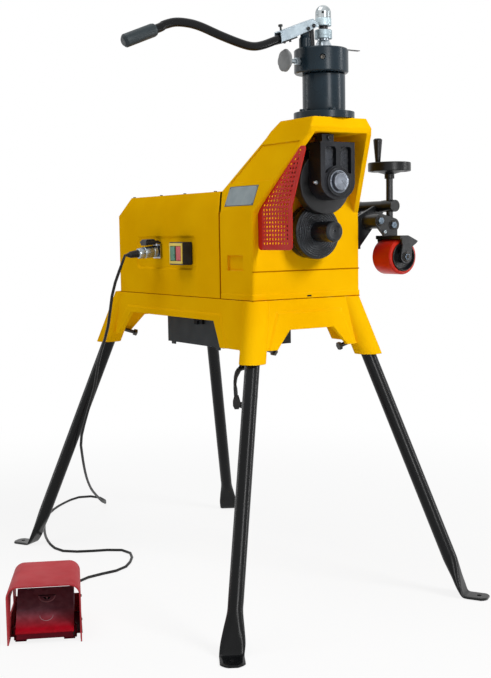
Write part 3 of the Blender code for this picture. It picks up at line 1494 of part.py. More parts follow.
def panel_socket():
    """The chassis socket: a square flange with a body through the cover."""
    depth = 0.018
    flange = block("panel_socket", (PANEL_X - FLANGE_THICKNESS, SOCKET_Y - FLANGE_HALF,
                                    SOCKET_Z - FLANGE_HALF),
                   (PANEL_X, SOCKET_Y + FLANGE_HALF, SOCKET_Z + FLANGE_HALF), "zinc")
    body = rod("body", (PANEL_X - FLANGE_THICKNESS / 2, SOCKET_Y, SOCKET_Z),
               (PANEL_X + depth, SOCKET_Y, SOCKET_Z), SOCKET_BODY_RADIUS, sides=20)
    weld(flange, body)
    return flange


def plug_start():
    """Where the drooping plug leaves the socket, clear of its flange."""
    droop_room = 0.0016
    return Vector((PANEL_X - FLANGE_THICKNESS - droop_room, SOCKET_Y, SOCKET_Z))


def cord_plug():
    """The round plug on the pedal cord, with its ribbed black tail."""
    start = plug_start()
    run = CORD_EXIT - start
    length = run.length - GAP
    barrel = 0.036
    collar = barrel / 2
    step = 0.0015
    neck = 0.046
    neck_radius = 0.0095
    tail_radius = 0.0085
    tip = 0.006
    stations = [(0, 0), (0, BARREL_RADIUS), (collar - step, BARREL_RADIUS),
                (collar, BARREL_RADIUS - step), (barrel, BARREL_RADIUS - step),
                (neck, neck_radius), (length - tip, tail_radius), (length, tip), (length, 0)]
    return turned("cord_plug", stations, start, run, "zinc", 20)


def socket_lid():
    """The sprung lid of the socket, which lies along the top of the plug."""
    hinge_lift = 0.003
    hinge_z = SOCKET_Z + FLANGE_HALF + hinge_lift
    hinge_x = PANEL_X - FLANGE_THICKNESS / 2
    side_margin = 0.002
    half = FLANGE_HALF - side_margin
    lid = 0.0055
    length = 0.040
    rise = math.radians(-3)
    rod_radius = 0.0022
    heading = Vector((-math.cos(rise), 0, math.sin(rise)))
    across = Vector((math.sin(rise), 0, math.cos(rise)))
    start = Vector((hinge_x, 0, hinge_z))
    heel = 0.005
    corners = [start, start + heading * length, start + heading * length + across * lid,
               start + heading * heel + across * lid]
    outline = [(corner.x, corner.z) for corner in corners]
    flap = prism("socket_lid", outline, "Y", SOCKET_Y - half, SOCKET_Y + half, "black_plastic")
    knuckle = rod("knuckle", (hinge_x, SOCKET_Y - half, hinge_z), (hinge_x, SOCKET_Y + half,
                                                                   hinge_z), rod_radius,
                  sides=SMALL_ROUND)
    weld(flap, knuckle)
    return pivot(flap, (hinge_x, SOCKET_Y, hinge_z))


# Foot pedal, drawn in its own frame: X across, Y to the rear, origin at its front middle
TREADLE_HINGE_Y = 0.040
TREADLE_HINGE_Z = 0.020
TREADLE_HALF_WIDTH = 0.062
LUG_THICKNESS = 0.004
PEDAL_PIN_RADIUS = 0.003


def pedal_frame():
    frame = bpy.data.objects.new("pedal_frame", None)
    bpy.context.scene.collection.objects.link(frame)
    frame.location = (PEDAL_X, PEDAL_Y, 0)
    frame.rotation_euler = (0, 0, PEDAL_TURN)
    return frame


def pedal_base():
    lug_room = 0.0015
    inside = TREADLE_HALF_WIDTH + lug_room + LUG_THICKNESS
    plate = PLATE_THICKNESS
    front = 0.031
    step = 0.052
    corners = [(-inside, front), (inside, front), (inside, step), (HOOD_HALF_WIDTH, step),
               (HOOD_REAR_HALF_WIDTH, HOOD_DEPTH), (-HOOD_REAR_HALF_WIDTH, HOOD_DEPTH),
               (-HOOD_HALF_WIDTH, step), (-inside, step)]
    base = prism("pedal_base", corners, "Z", 0, plate, "hood_paint")
    tab_half = 0.012
    tab_reach = 0.009
    tab_x = 0.052
    for side in SIDES.values():
        tab = block("tab", (side * tab_x - tab_half, front - tab_reach, 0),
                    (side * tab_x + tab_half, front + tab_reach, plate))
        weld(base, tab)
    lug_half = 0.008
    lug_top = TREADLE_HINGE_Z + lug_half
    for side in SIDES.values():
        edges = sorted((side * inside, side * (inside - LUG_THICKNESS)))
        lug = block("lug", (edges[0], TREADLE_HINGE_Y - lug_half, plate / 2),
                    (edges[1], TREADLE_HINGE_Y + lug_half, lug_top))
        weld(base, lug)
    weld(base, rod("pin", (GAP - inside, TREADLE_HINGE_Y, TREADLE_HINGE_Z),
                   (inside - GAP, TREADLE_HINGE_Y, TREADLE_HINGE_Z), PEDAL_PIN_RADIUS,
                   sides=SMALL_ROUND))
    return base


def hood_ring(place, half_width, inset):
    """The hood's section: upright sides and a crown with round corners."""
    half = half_width - inset
    top = HOOD_HEIGHT - inset
    radius = HOOD_CORNER - inset
    foot = PLATE_THICKNESS + GAP - inset * 4
    outline = ([(half, foot)] + arc((half - radius, top - radius), radius, 0, 90, 5)
               + arc((radius - half, top - radius), radius, 90, 180, 5) + [(-half, foot)])
    return [Vector((x, place, z)) for x, z in outline]


def pedal_hood():
    """The steel hood that keeps the treadle from being trodden on by chance."""
    hood = solid("pedal_hood", skin([hood_ring(0, HOOD_HALF_WIDTH, 0),
                                     hood_ring(HOOD_DEPTH, HOOD_REAR_HALF_WIDTH, 0)]),
                 "hood_paint")
    hollow = solid("hollow", skin([hood_ring(-OVERRUN, HOOD_HALF_WIDTH, HOOD_WALL),
                                   hood_ring(HOOD_DEPTH - HOOD_WALL, HOOD_REAR_HALF_WIDTH,
                                             HOOD_WALL)]), "zinc")
    rear_wall_top = 0.050
    inside = HOOD_REAR_HALF_WIDTH - HOOD_WALL
    rear_opening = block("opening", (-inside, HOOD_DEPTH - OVERRUN, rear_wall_top),
                         (inside, HOOD_DEPTH + OVERRUN, HOOD_HEIGHT - HOOD_CORNER))
    cut(hood, hollow, rear_opening)
    foot_reach = 0.046
    foot_top = PLATE_THICKNESS + HOOD_WALL
    taper = (HOOD_HALF_WIDTH - HOOD_REAR_HALF_WIDTH) * foot_reach / HOOD_DEPTH
    for side in SIDES.values():
        outer = (HOOD_HALF_WIDTH, HOOD_HALF_WIDTH - taper)
        foot = [(side * outer[0], 0), (side * outer[1], foot_reach),
                (side * (outer[1] - HOOD_WALL), foot_reach), (side * (outer[0] - HOOD_WALL), 0)]
        weld(hood, prism("foot", foot, "Z", 0, foot_top))
    window_foot = 0.048
    window_top = 0.086
    window_rear = 0.140
    window_foot_front = 0.045
    window_top_front = 0.070
    window = [(window_foot_front, window_foot), (window_rear, window_foot),
              (window_rear, window_top), (window_top_front, window_top)]
    cut(hood, prism("window", window, "X", -HOOD_HALF_WIDTH - OVERRUN, HOOD_HALF_WIDTH + OVERRUN))
    cut(hood, rod("hole", (0, HOOD_DEPTH - OVERRUN, PEDAL_GLAND_Z),
                  (0, HOOD_DEPTH + OVERRUN, PEDAL_GLAND_Z), PEDAL_GLAND_RADIUS + GAP,
                  sides=SMALL_ROUND))
    return hood


PEDAL_GLAND_Z = 0.024
PEDAL_GLAND_RADIUS = 0.008
PEDAL_SWITCH_FRONT = 0.128


def treadle():
    """The ribbed treadle: it rises from its hinge to the toe end under the hood."""
    heel_y = 0.006
    heel_z = 0.025
    toe_y = 0.108
    toe_z = 0.090
    thickness = 0.004
    outline = [(heel_y, heel_z), (heel_y, heel_z - thickness), (toe_y, toe_z - thickness),
               (toe_y, toe_z)]
    plate = prism("treadle", outline, "X", -TREADLE_HALF_WIDTH, TREADLE_HALF_WIDTH, "pedal_paint")
    eye_radius = 0.006
    eye = rod("eye", (-TREADLE_HALF_WIDTH, TREADLE_HINGE_Y, TREADLE_HINGE_Z),
              (TREADLE_HALF_WIDTH, TREADLE_HINGE_Y, TREADLE_HINGE_Z), eye_radius, sides=16)
    weld(plate, eye)
    rim = 0.018
    for side in SIDES.values():
        edges = sorted((side * TREADLE_HALF_WIDTH, side * (TREADLE_HALF_WIDTH - thickness)))
        skirt = [(TREADLE_HINGE_Y, TREADLE_HINGE_Z), (toe_y, toe_z - rim),
                 (toe_y, toe_z - thickness / 2), (heel_y + thickness, heel_z)]
        weld(plate, prism("skirt", skirt, "X", edges[0], edges[1]))
    cut(plate, rod("hole", (-HOOD_HALF_WIDTH, TREADLE_HINGE_Y, TREADLE_HINGE_Z),
                   (HOOD_HALF_WIDTH, TREADLE_HINGE_Y, TREADLE_HINGE_Z), PEDAL_PIN_RADIUS + GAP,
                   sides=SMALL_ROUND))
    return pivot(plate, (0, TREADLE_HINGE_Y, TREADLE_HINGE_Z))


def pedal_switch():
    """The switch block at the back of the hood, over the cord's gland."""
    half_width = 0.028
    height = 0.045
    foot = PLATE_THICKNESS + GAP
    rear = HOOD_DEPTH - HOOD_WALL - GAP
    switch = block("pedal_switch", (-half_width, PEDAL_SWITCH_FRONT, foot),
                   (half_width, rear, foot + height), "black_plastic")
    cut(switch, rod("hole", (0, rear - OVERRUN, PEDAL_GLAND_Z), (0, rear + OVERRUN, PEDAL_GLAND_Z),
                    PEDAL_GLAND_RADIUS + GAP, sides=SMALL_ROUND))
    return switch


def pedal_gland():
    near = HOOD_DEPTH - HOOD_WALL - GAP - OVERRUN / 2
    outside = HOOD_DEPTH + GAP
    nut = 0.012
    end = HOOD_DEPTH + PEDAL_GLAND_LENGTH
    stations = [(near, 0), (near, PEDAL_GLAND_RADIUS), (outside, PEDAL_GLAND_RADIUS),
                (outside, nut, "hex"), (outside + nut, nut, "hex"), (end, GLAND_TIP_RADIUS), (end, 0)]
    return turned("pedal_gland", stations, (0, 0, PEDAL_GLAND_Z), ALONG["Y"], "black_plastic",
                  SMALL_ROUND)


PEDAL_GLAND_LENGTH = 0.024
GLAND_TIP_RADIUS = 0.0065


def in_machine(point):
    """A point of the pedal's frame in the machine frame."""
    turn = Matrix.Rotation(PEDAL_TURN, 3, "Z")
    return Vector((PEDAL_X, PEDAL_Y, 0)) + turn @ Vector(point)


# Cords
GLAND_X = -0.008
GLAND_Y = -0.0945
GLAND_LENGTH = 0.026
MAINS_RADIUS = 0.00375

PEDAL_CORD_ROUTE = [
    (-0.2470, 0.0790, 0.8130),
    (-0.2520, 0.0929, 0.7808),
    (-0.2500, 0.1291, 0.7398),
    (-0.2500, 0.1486, 0.6984),
    (-0.2490, 0.1654, 0.6490),
    (-0.2480, 0.1931, 0.6033),
    (-0.2450, 0.2397, 0.5419),
    (-0.2420, 0.2760, 0.4674),
    (-0.2430, 0.3150, 0.4060),
    (-0.2398, 0.3750, 0.3160),
    (-0.2101, 0.4350, 0.2495),
    (-0.1540, 0.5350, 0.1684),
    (-0.0920, 0.6350, 0.1036),
    (-0.0233, 0.7350, 0.0495),
    (0.0150, 0.7850, 0.0200),
    (0.0430, 0.8200, 0.0045),
    (0.0600, 0.8650, 0.0045),
    (0.0560, 0.9080, 0.0045),
    (0.0360, 0.9370, 0.0045),
    (0.0050, 0.9430, 0.0045),
    (-0.0400, 0.9200, 0.0045),
    (-0.1156, 0.8555, 0.0045),
    (-0.1844, 0.7663, 0.0045),
    (-0.2400, 0.6550, 0.0045),
    (-0.2830, 0.5400, 0.0045),
    (-0.3042, 0.4400, 0.0045),
    (-0.2950, 0.3850, 0.0045),
    (-0.2600, 0.3560, 0.0045),
    (-0.2150, 0.3340, 0.0045),
    (-0.1750, 0.3150, 0.0045),
    (-0.1560, 0.2830, 0.0045),
    (-0.1620, 0.2430, 0.0045),
    (-0.1850, 0.2020, 0.0045),
    (-0.2200, 0.1600, 0.0045),
    (-0.2600, 0.1400, 0.0045),
    (-0.3302, 0.1356, 0.0045),
    (-0.3800, 0.1150, 0.0045),
    (-0.4321, 0.0730, 0.0045),
    (-0.4720, 0.0400, 0.0110),
]


def smooth_route(points, step):
    """Even points along a smooth curve through the route's points."""
    fine = []
    padded = [2 * points[0] - points[1]] + points + [2 * points[-1] - points[-2]]
    pieces = 12
    for index in range(1, len(padded) - 2):
        before, start, end, after = padded[index - 1:index + 3]
        for piece in range(pieces):
            t = piece / pieces
            fine.append(0.5 * (2 * start + (end - before) * t
                               + (2 * before - 5 * start + 4 * end - after) * t * t
                               + (3 * start - before - 3 * end + after) * t * t * t))
    fine.append(points[-1])
    lengths = [(b - a).length for a, b in zip(fine, fine[1:])]
    total = sum(lengths)
    count = max(2, round(total / step))
    even = []
    walked = 0
    index = 0
    for number in range(count + 1):
        goal = total * number / count
        while index < len(lengths) - 1 and walked + lengths[index] < goal:
            walked += lengths[index]
            index += 1
        share = min(1, (goal - walked) / lengths[index])
        even.append(fine[index].lerp(fine[index + 1], share))
    return even, total


def cord_object(name, points, radius, resolution):
    curve = bpy.data.curves.new(name, "CURVE")
    curve.dimensions = "3D"
    curve.bevel_depth = radius
    curve.bevel_resolution = resolution
    curve.use_fill_caps = True
    spline = curve.splines.new("POLY")
    spline.points.add(len(points) - 1)
    for spot, point in zip(spline.points, points):
        spot.co = (*point, 1)
    curve.materials.append(finish_material("cord_rubber"))
    obj = bpy.data.objects.new(name, curve)
    bpy.context.scene.collection.objects.link(obj)
    return obj


def pedal_cord():
    """The cord between the socket on the cover and the pedal, at its real length."""
    heading = (CORD_EXIT - plug_start()).normalized()
    straight = 2 * CORD_RADIUS
    gland_end = in_machine((0, HOOD_DEPTH + PEDAL_GLAND_LENGTH + GAP, PEDAL_GLAND_Z))
    gland_before = in_machine((0, HOOD_DEPTH + PEDAL_GLAND_LENGTH + GAP + straight, PEDAL_GLAND_Z))
    start = [CORD_EXIT, CORD_EXIT + heading * straight]
    route = start[1:] + [Vector(point) for point in PEDAL_CORD_ROUTE] + [gland_before]
    even, total = smooth_route(route, CORD_RADIUS * 11)
    print("pedal cord", round(total + 2 * straight, 3), "m,", len(even), "points")
    return cord_object("pedal_cord", start[:1] + even + [gland_end], CORD_RADIUS, 2)


def mains_gland():
    """The gland in the tray's floor that the mains lead hangs from."""
    inside = ELECTRICS_FOOT + OVERRUN / 2
    thread = 0.0080
    nut = 0.012
    seat = ELECTRICS_FOOT - GAP
    end = ELECTRICS_FOOT - GLAND_LENGTH
    stations = [(-inside, 0), (-inside, thread), (-seat, thread), (-seat, nut, "hex"),
                (-seat + nut, nut, "hex"), (-end, GLAND_TIP_RADIUS), (-end, 0)]
    return turned("mains_gland", stations, (GLAND_X, GLAND_Y, 0), -ALONG["Z"], "black_plastic",
                  SMALL_ROUND)


HANK_TURNS = 6.85
HANK_HEADING = math.radians(-33)
HANK_X = -0.0095
HANK_Y = -0.1032
HANK_Z = 0.4925
HANK_HALF_LENGTH = 0.049
HANK_HALF_WIDTH = 0.0265
HANK_PITCH = 2 * MAINS_RADIUS + 0.0006
PLUG_ACROSS = -0.0230
PLUG_STACK = 0.0715
PLUG_TOP = 0.4780
PLUG_FOOT = 0.4455


def in_hank(across, stack, height):
    """A point of the hank's frame, whose loops stack to the front left, in the machine frame."""
    turn = Matrix.Rotation(HANK_HEADING, 3, "Z")
    return Vector((HANK_X, HANK_Y, 0)) + turn @ Vector((across, -stack, height))


def hank_point(turn):
    """A point of the hank: long loops that lie side by side."""
    angle = math.pi + 2 * math.pi * turn
    run = HANK_HALF_LENGTH - HANK_HALF_WIDTH
    flatness = 3
    straight = run * math.tanh(flatness * math.sin(angle)) / math.tanh(flatness)
    return in_hank(HANK_HALF_WIDTH * math.cos(angle), turn * HANK_PITCH,
                   HANK_Z + HANK_HALF_WIDTH * math.sin(angle) + straight)


def mains_hank():
    """The mains lead: down from its gland, wound in long loops, and out to its plug."""
    steps = 24
    straight = 2 * MAINS_RADIUS
    loops = [hank_point(number / steps) for number in range(round(HANK_TURNS * steps) + 1)]
    gland_end = Vector((GLAND_X, GLAND_Y, ELECTRICS_FOOT - GLAND_LENGTH - GAP))
    plug_end = in_hank(PLUG_ACROSS, PLUG_STACK, PLUG_TOP + GAP)
    down = Vector((0, 0, -straight))
    into = [gland_end + down, in_hank(-0.0110, -0.0070, 0.5420), in_hank(-0.0210, -0.0040, 0.5210),
            loops[0]]
    out = [loops[-1], in_hank(-0.0265, 0.0605, 0.5120), in_hank(-0.0240, 0.0700, 0.4960),
           plug_end - down]
    before, _ = smooth_route(into, 3 * MAINS_RADIUS)
    after, _ = smooth_route(out, 2 * MAINS_RADIUS)
    points = [gland_end] + before[:-1] + loops + after[1:] + [plug_end]
    length = sum((b - a).length for a, b in zip(points, points[1:]))
    gap = least_gap(points, MAINS_RADIUS, 6)
    print("mains lead", round(length, 3), "m,", len(points), "points, least gap to itself",
          round(gap * 1000, 2), "mm")
    return cord_object("mains_hank", points, MAINS_RADIUS, 1)


def mains_plug():
    """The plug at the lead's end, with its two pins at the side."""
    half_width = 0.0090
    half_depth = 0.0110
    neck = 0.005
    shoulder = 0.014
    taper = 0.009
    levels = [(PLUG_TOP, neck, neck), (PLUG_TOP - shoulder, half_width, half_depth),
              (PLUG_FOOT + taper, half_width, half_depth), (PLUG_FOOT, neck, half_depth)]
    rings = []
    for height, wide, deep in levels:
        rings.append([in_hank(PLUG_ACROSS + across, PLUG_STACK + stack, height)
                      for across, stack in ((-wide, -deep), (wide, -deep), (wide, deep),
                                            (-wide, deep))])
    plug = solid("mains_plug", skin(rings), "black_plastic")
    pin_radius = 0.0024
    pin_length = 0.018
    pin_half_space = 0.0055
    middle = between(PLUG_FOOT, PLUG_TOP, 2 / 5)
    for stack in (PLUG_STACK - pin_half_space, PLUG_STACK + pin_half_space):
        weld(plug, rod("pin", in_hank(PLUG_ACROSS, stack, middle),
                       in_hank(PLUG_ACROSS + half_width + pin_length, stack, middle), pin_radius,
                       sides=8))
    return plug


def least_gap(points, radius, skip):
    """The least gap of a wound tube to itself, measured on points of its centre line."""
    gaps = [(point - other).length - 2 * radius
            for index, point in enumerate(points) for other in points[index + skip:]]
    return min(gaps)


def carried(objects, parent):
    for obj in objects:
        obj.parent = parent


def centre_on_box(machine, left_out):
    """Moves the machine so that the origin is under the middle of its box."""
    bpy.context.view_layer.update()
    depsgraph = bpy.context.evaluated_depsgraph_get()
    low = Vector((math.inf, math.inf, math.inf))
    high = -low
    for obj in bpy.context.scene.objects:
        if obj.type != "MESH" or obj.name in left_out:
            continue
        evaluated = obj.evaluated_get(depsgraph)
        for corner in evaluated.data.vertices:
            spot = evaluated.matrix_world @ corner.co
            for axis in range(3):
                low[axis] = min(low[axis], spot[axis])
                high[axis] = max(high[axis], spot[axis])
    machine.location = (-(low.x + high.x) / 2, -(low.y + high.y) / 2, -low.z)
    print("machine frame at", [round(value, 6) for value in machine.location])


CORD_NODES = ("pedal_cord", "cord_plug", "pedal_gland", "mains_gland", "mains_hank",
              "mains_plug")


def build():
    clear_scene()
    machine = bpy.data.objects.new("machine", None)
    bpy.context.scene.collection.objects.link(machine)
    pieces = [base_casting(), electrics_box(), head_casting(), rear_cover()]
    for end_name, end in LEG_DIRECTIONS.items():
        for side_name, side in SIDES.items():
            place = end_name + "_" + side_name
            pieces.append(leg("leg_" + place, side, end))
            pieces.append(clamp_bolt("clamp_bolt_" + place, side, end))
    pieces += [lower_drive_roll(), drive_shaft(), drive_gear(), front_bearing(), motor_pinion(),
               gear_motor()]
    pieces += [slider(), roll_bush(), roll_pin(), upper_roll(), guard()]
    pieces += [jack_flange(), jack_cylinder(), jack_ram(), pump_collar(), release_knob(),
               filler_stem(), dome_cap(), pointer(), pump_plunger(), fulcrum_link(),
               lever_channel(), handle_tube(), handle_grip()]
    pieces += [steady_bracket(), steady_fork(), roller_axle(), roller_hub(), roller_tyre(),
               screw_clevis(), steady_screw(), handwheel(), wheel_grip()]
    pieces += [switch_housing(), button("start_button", "green_plastic"),
               button("stop_button", "red_plastic"), panel_socket(), cord_plug(), socket_lid()]
    pieces += [pedal_cord(), mains_gland(), mains_hank(), mains_plug()]
    frame = pedal_frame()
    carried([pedal_base(), pedal_hood(), treadle(), pedal_switch(), pedal_gland()], frame)
    carried(pieces + [frame], machine)
    centre_on_box(machine, CORD_NODES)


build()
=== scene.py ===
"""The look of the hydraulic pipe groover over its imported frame.

The frame gives every solid's place. Each visible solid is drawn again here with a finer
make, rounded edges and a node material, in the machine frame of the part's source.
"""
import json
import math
import random

import bmesh
import bpy
from mathutils import Matrix, Vector


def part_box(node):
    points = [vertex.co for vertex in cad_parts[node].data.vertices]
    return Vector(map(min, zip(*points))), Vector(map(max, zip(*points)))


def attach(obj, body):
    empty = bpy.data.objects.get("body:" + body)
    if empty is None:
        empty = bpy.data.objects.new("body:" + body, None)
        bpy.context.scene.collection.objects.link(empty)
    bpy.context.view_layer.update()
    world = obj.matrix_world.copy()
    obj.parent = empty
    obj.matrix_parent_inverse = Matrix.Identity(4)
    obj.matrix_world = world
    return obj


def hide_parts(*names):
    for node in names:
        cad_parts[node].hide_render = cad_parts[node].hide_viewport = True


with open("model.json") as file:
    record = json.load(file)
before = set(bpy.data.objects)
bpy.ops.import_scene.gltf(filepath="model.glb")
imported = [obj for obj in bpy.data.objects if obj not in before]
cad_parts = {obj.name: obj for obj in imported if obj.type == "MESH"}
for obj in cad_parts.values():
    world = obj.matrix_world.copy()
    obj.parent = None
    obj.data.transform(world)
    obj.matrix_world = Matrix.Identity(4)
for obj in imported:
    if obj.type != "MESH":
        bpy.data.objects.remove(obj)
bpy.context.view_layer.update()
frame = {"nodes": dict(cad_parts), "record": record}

LEGS = [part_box(name) for name in sorted(frame["nodes"]) if name.startswith("leg_")]
MACHINE = Vector((
    (min(box[0][0] for box in LEGS) + max(box[1][0] for box in LEGS)) / 2,
    (min(box[0][1] for box in LEGS) + max(box[1][1] for box in LEGS)) / 2,
    0,
))
BODY_OF = {node: body for body, nodes in frame["record"]["behaviour"]["bodies"].items()
           for node in nodes}


# Camera
def photo_camera():
    """The camera at the photograph's place, from the fit to the stand and the pedal."""
    place = Vector((-1.5101, -2.3923, 0.87))
    yaw = math.radians(33.28)
    pitch = math.radians(5.4625)
    roll = math.radians(-0.9507)
    focal_pixels = 1108.25
    frame_height_pixels = 678
    sensor = 24.0
    forward = Vector((math.sin(yaw) * math.cos(pitch), math.cos(yaw) * math.cos(pitch),
                      -math.sin(pitch)))
    right = Vector((math.cos(yaw), -math.sin(yaw), 0))
    up = right.cross(forward)
    turned_right = right * math.cos(roll) + up * math.sin(roll)
    turned_up = up * math.cos(roll) - right * math.sin(roll)
    data = bpy.data.cameras.new("photo_camera")
    data.sensor_fit = "VERTICAL"
    data.sensor_height = sensor
    data.lens = focal_pixels / frame_height_pixels * sensor
    data.clip_end = 200
    camera = bpy.data.objects.new("photo_camera", data)
    bpy.context.scene.collection.objects.link(camera)
    basis = Matrix((turned_right, turned_up, -forward)).transposed()
    camera.matrix_world = Matrix.Translation(place + MACHINE) @ basis.to_4x4()
    bpy.context.scene.camera = camera


photo_camera()

# Fits
GAP = 0.0003
OVERRUN = 0.020
SHEET = 0.002

# Stand
DECK_TOP = 0.7185
DECK_THICKNESS = 0.014
SKIRT_FOOT = 0.608
SKIRT_WALL = 0.007
BASE_TOP_HALF_WIDTH = 0.153
BASE_FOOT_HALF_WIDTH = 0.164
BASE_TOP_FRONT = -0.357
BASE_FOOT_FRONT = -0.371
BASE_TOP_REAR = 0.307
BASE_FOOT_REAR = 0.340
BASE_CORNER = 0.024
SOCKET_RADIUS = 0.030
SOCKET_DROP = 0.026
SOCKET_FOOT = SKIRT_FOOT - SOCKET_DROP
LEG_RADIUS = 0.01685
LEG_WALL = 0.003
LEG_HALF_SPREAD = 0.3304
LEG_HALF_REACH = 0.5241
SOCKET_HALF_SPREAD = 0.1649
SOCKET_FRONT = -0.3689
SOCKET_REAR = 0.3389
PAD_TURN_SHARE = 1.73
LEG_DIRECTIONS = {"front": -1, "rear": 1}
SIDES = {"left": -1, "right": 1}

# Head and cover
HOUSING_HALF_WIDTH = 0.1513
HOUSING_CORNER = 0.006
HEAD_FRONT = -0.355
SEAM = -0.219
FOLD = 0.9135
HEAD_TOP = 1.115
ROOF_UNDERSIDE = 1.083
BROW = 1.094
BROW_HALF_WIDTH = 0.0843
ROOF_HALF_WIDTH = 0.0731
WALL_TOP = 1.080
WALL_TOP_HALF_WIDTH = 0.0873
WALL_TOP_FRONT = -0.4815
BROW_FRONT = -0.486
HEAD_WALL = 0.016
COVER_FOLD = 0.9196
COVER_TOP = 0.967
COVER_TOP_HALF_WIDTH = 0.1333
COVER_TOP_FRONT = -0.198
COVER_REAR = 0.2894
COVER_TOP_REAR = 0.248

# Rolls and drive
DRIVE_HEIGHT = 0.870
ROLL_NOSE_RADIUS = 0.023
ROLL_NOSE_FRONT = -0.457
ROLL_FLANGE_RADIUS = 0.061
ROLL_FLANGE_FRONT = -0.396
SHAFT_RADIUS = 0.014
ROLL_BORE_DEPTH = 0.070
UPPER_ROLL_HEIGHT = 0.978
UPPER_ROLL_RADIUS = 0.070
UPPER_ROLL_FRONT = -0.4254
UPPER_ROLL_REAR = -0.3998
PIN_RADIUS = 0.0195
PIN_FRONT = -0.4833
SLIDER_FRONT = -0.470
SLIDER_TOP = 1.064
SLIDER_HALF_WIDTH = 0.047

# Hydraulic pump
PUMP_Y = -0.4218
FLANGE_RADIUS = 0.067
FLANGE_TOP = 1.1305
CYLINDER_RADIUS = 0.047
CYLINDER_TOP = 1.2134
COLLAR_RADIUS = 0.0595
COLLAR_X = -0.0066
COLLAR_TOP = 1.2665
RAM_RADIUS = 0.018
FULCRUM_X = -0.0355
FULCRUM_Z = 1.3130
PLUNGER_X = -0.0505
PLUNGER_PIN_Z = 1.3055
TUBE_RADIUS = 0.0090
KNOB_X = -0.1037
KNOB_Z = 1.2363

# Pipe steady at the right
SCREW_X = 0.215
SCREW_Y = -0.390
SCREW_RADIUS = 0.0080
SWING_X = 0.177
SWING_Z = 0.892
LINK_X = 0.216
LINK_Z = 0.8837
LINK_FRONT = -0.405
LINK_THICKNESS = 0.006
ROLLER_X = 0.222
ROLLER_Z = 0.809
ROLLER_RADIUS = 0.0415
ROLLER_FRONT = -0.432
ROLLER_REAR = -0.362
WHEEL_RADIUS = 0.050
WHEEL_Z = 1.010

# Controls on the left side
CONTROL_X = -0.176
SWITCH_FRONT = -0.093
SWITCH_REAR = -0.030
SWITCH_FOOT = 0.796
SWITCH_TOP = 0.851
SOCKET_Y = 0.075
SOCKET_Z = 0.8285
CORD_RADIUS = 0.00375
CORD_EXIT = Vector((-0.236, 0.0766, 0.820))

# Foot pedal
PEDAL_X = -0.614
PEDAL_Y = -0.2233
PEDAL_TURN = math.radians(-25.9)
HOOD_HALF_WIDTH = 0.0793
HOOD_REAR_HALF_WIDTH = 0.0745
HOOD_HEIGHT = 0.128
HOOD_DEPTH = 0.180
HOOD_CORNER = 0.025
HOOD_WALL = 0.003
PLATE_THICKNESS = 0.006

ROUND = 24
SMALL_ROUND = 12
FINE = 4
SMOOTH_ANGLE = math.radians(35)
ALONG = {"X": Vector((1, 0, 0)), "Y": Vector((0, 1, 0)), "Z": Vector((0, 0, 1))}


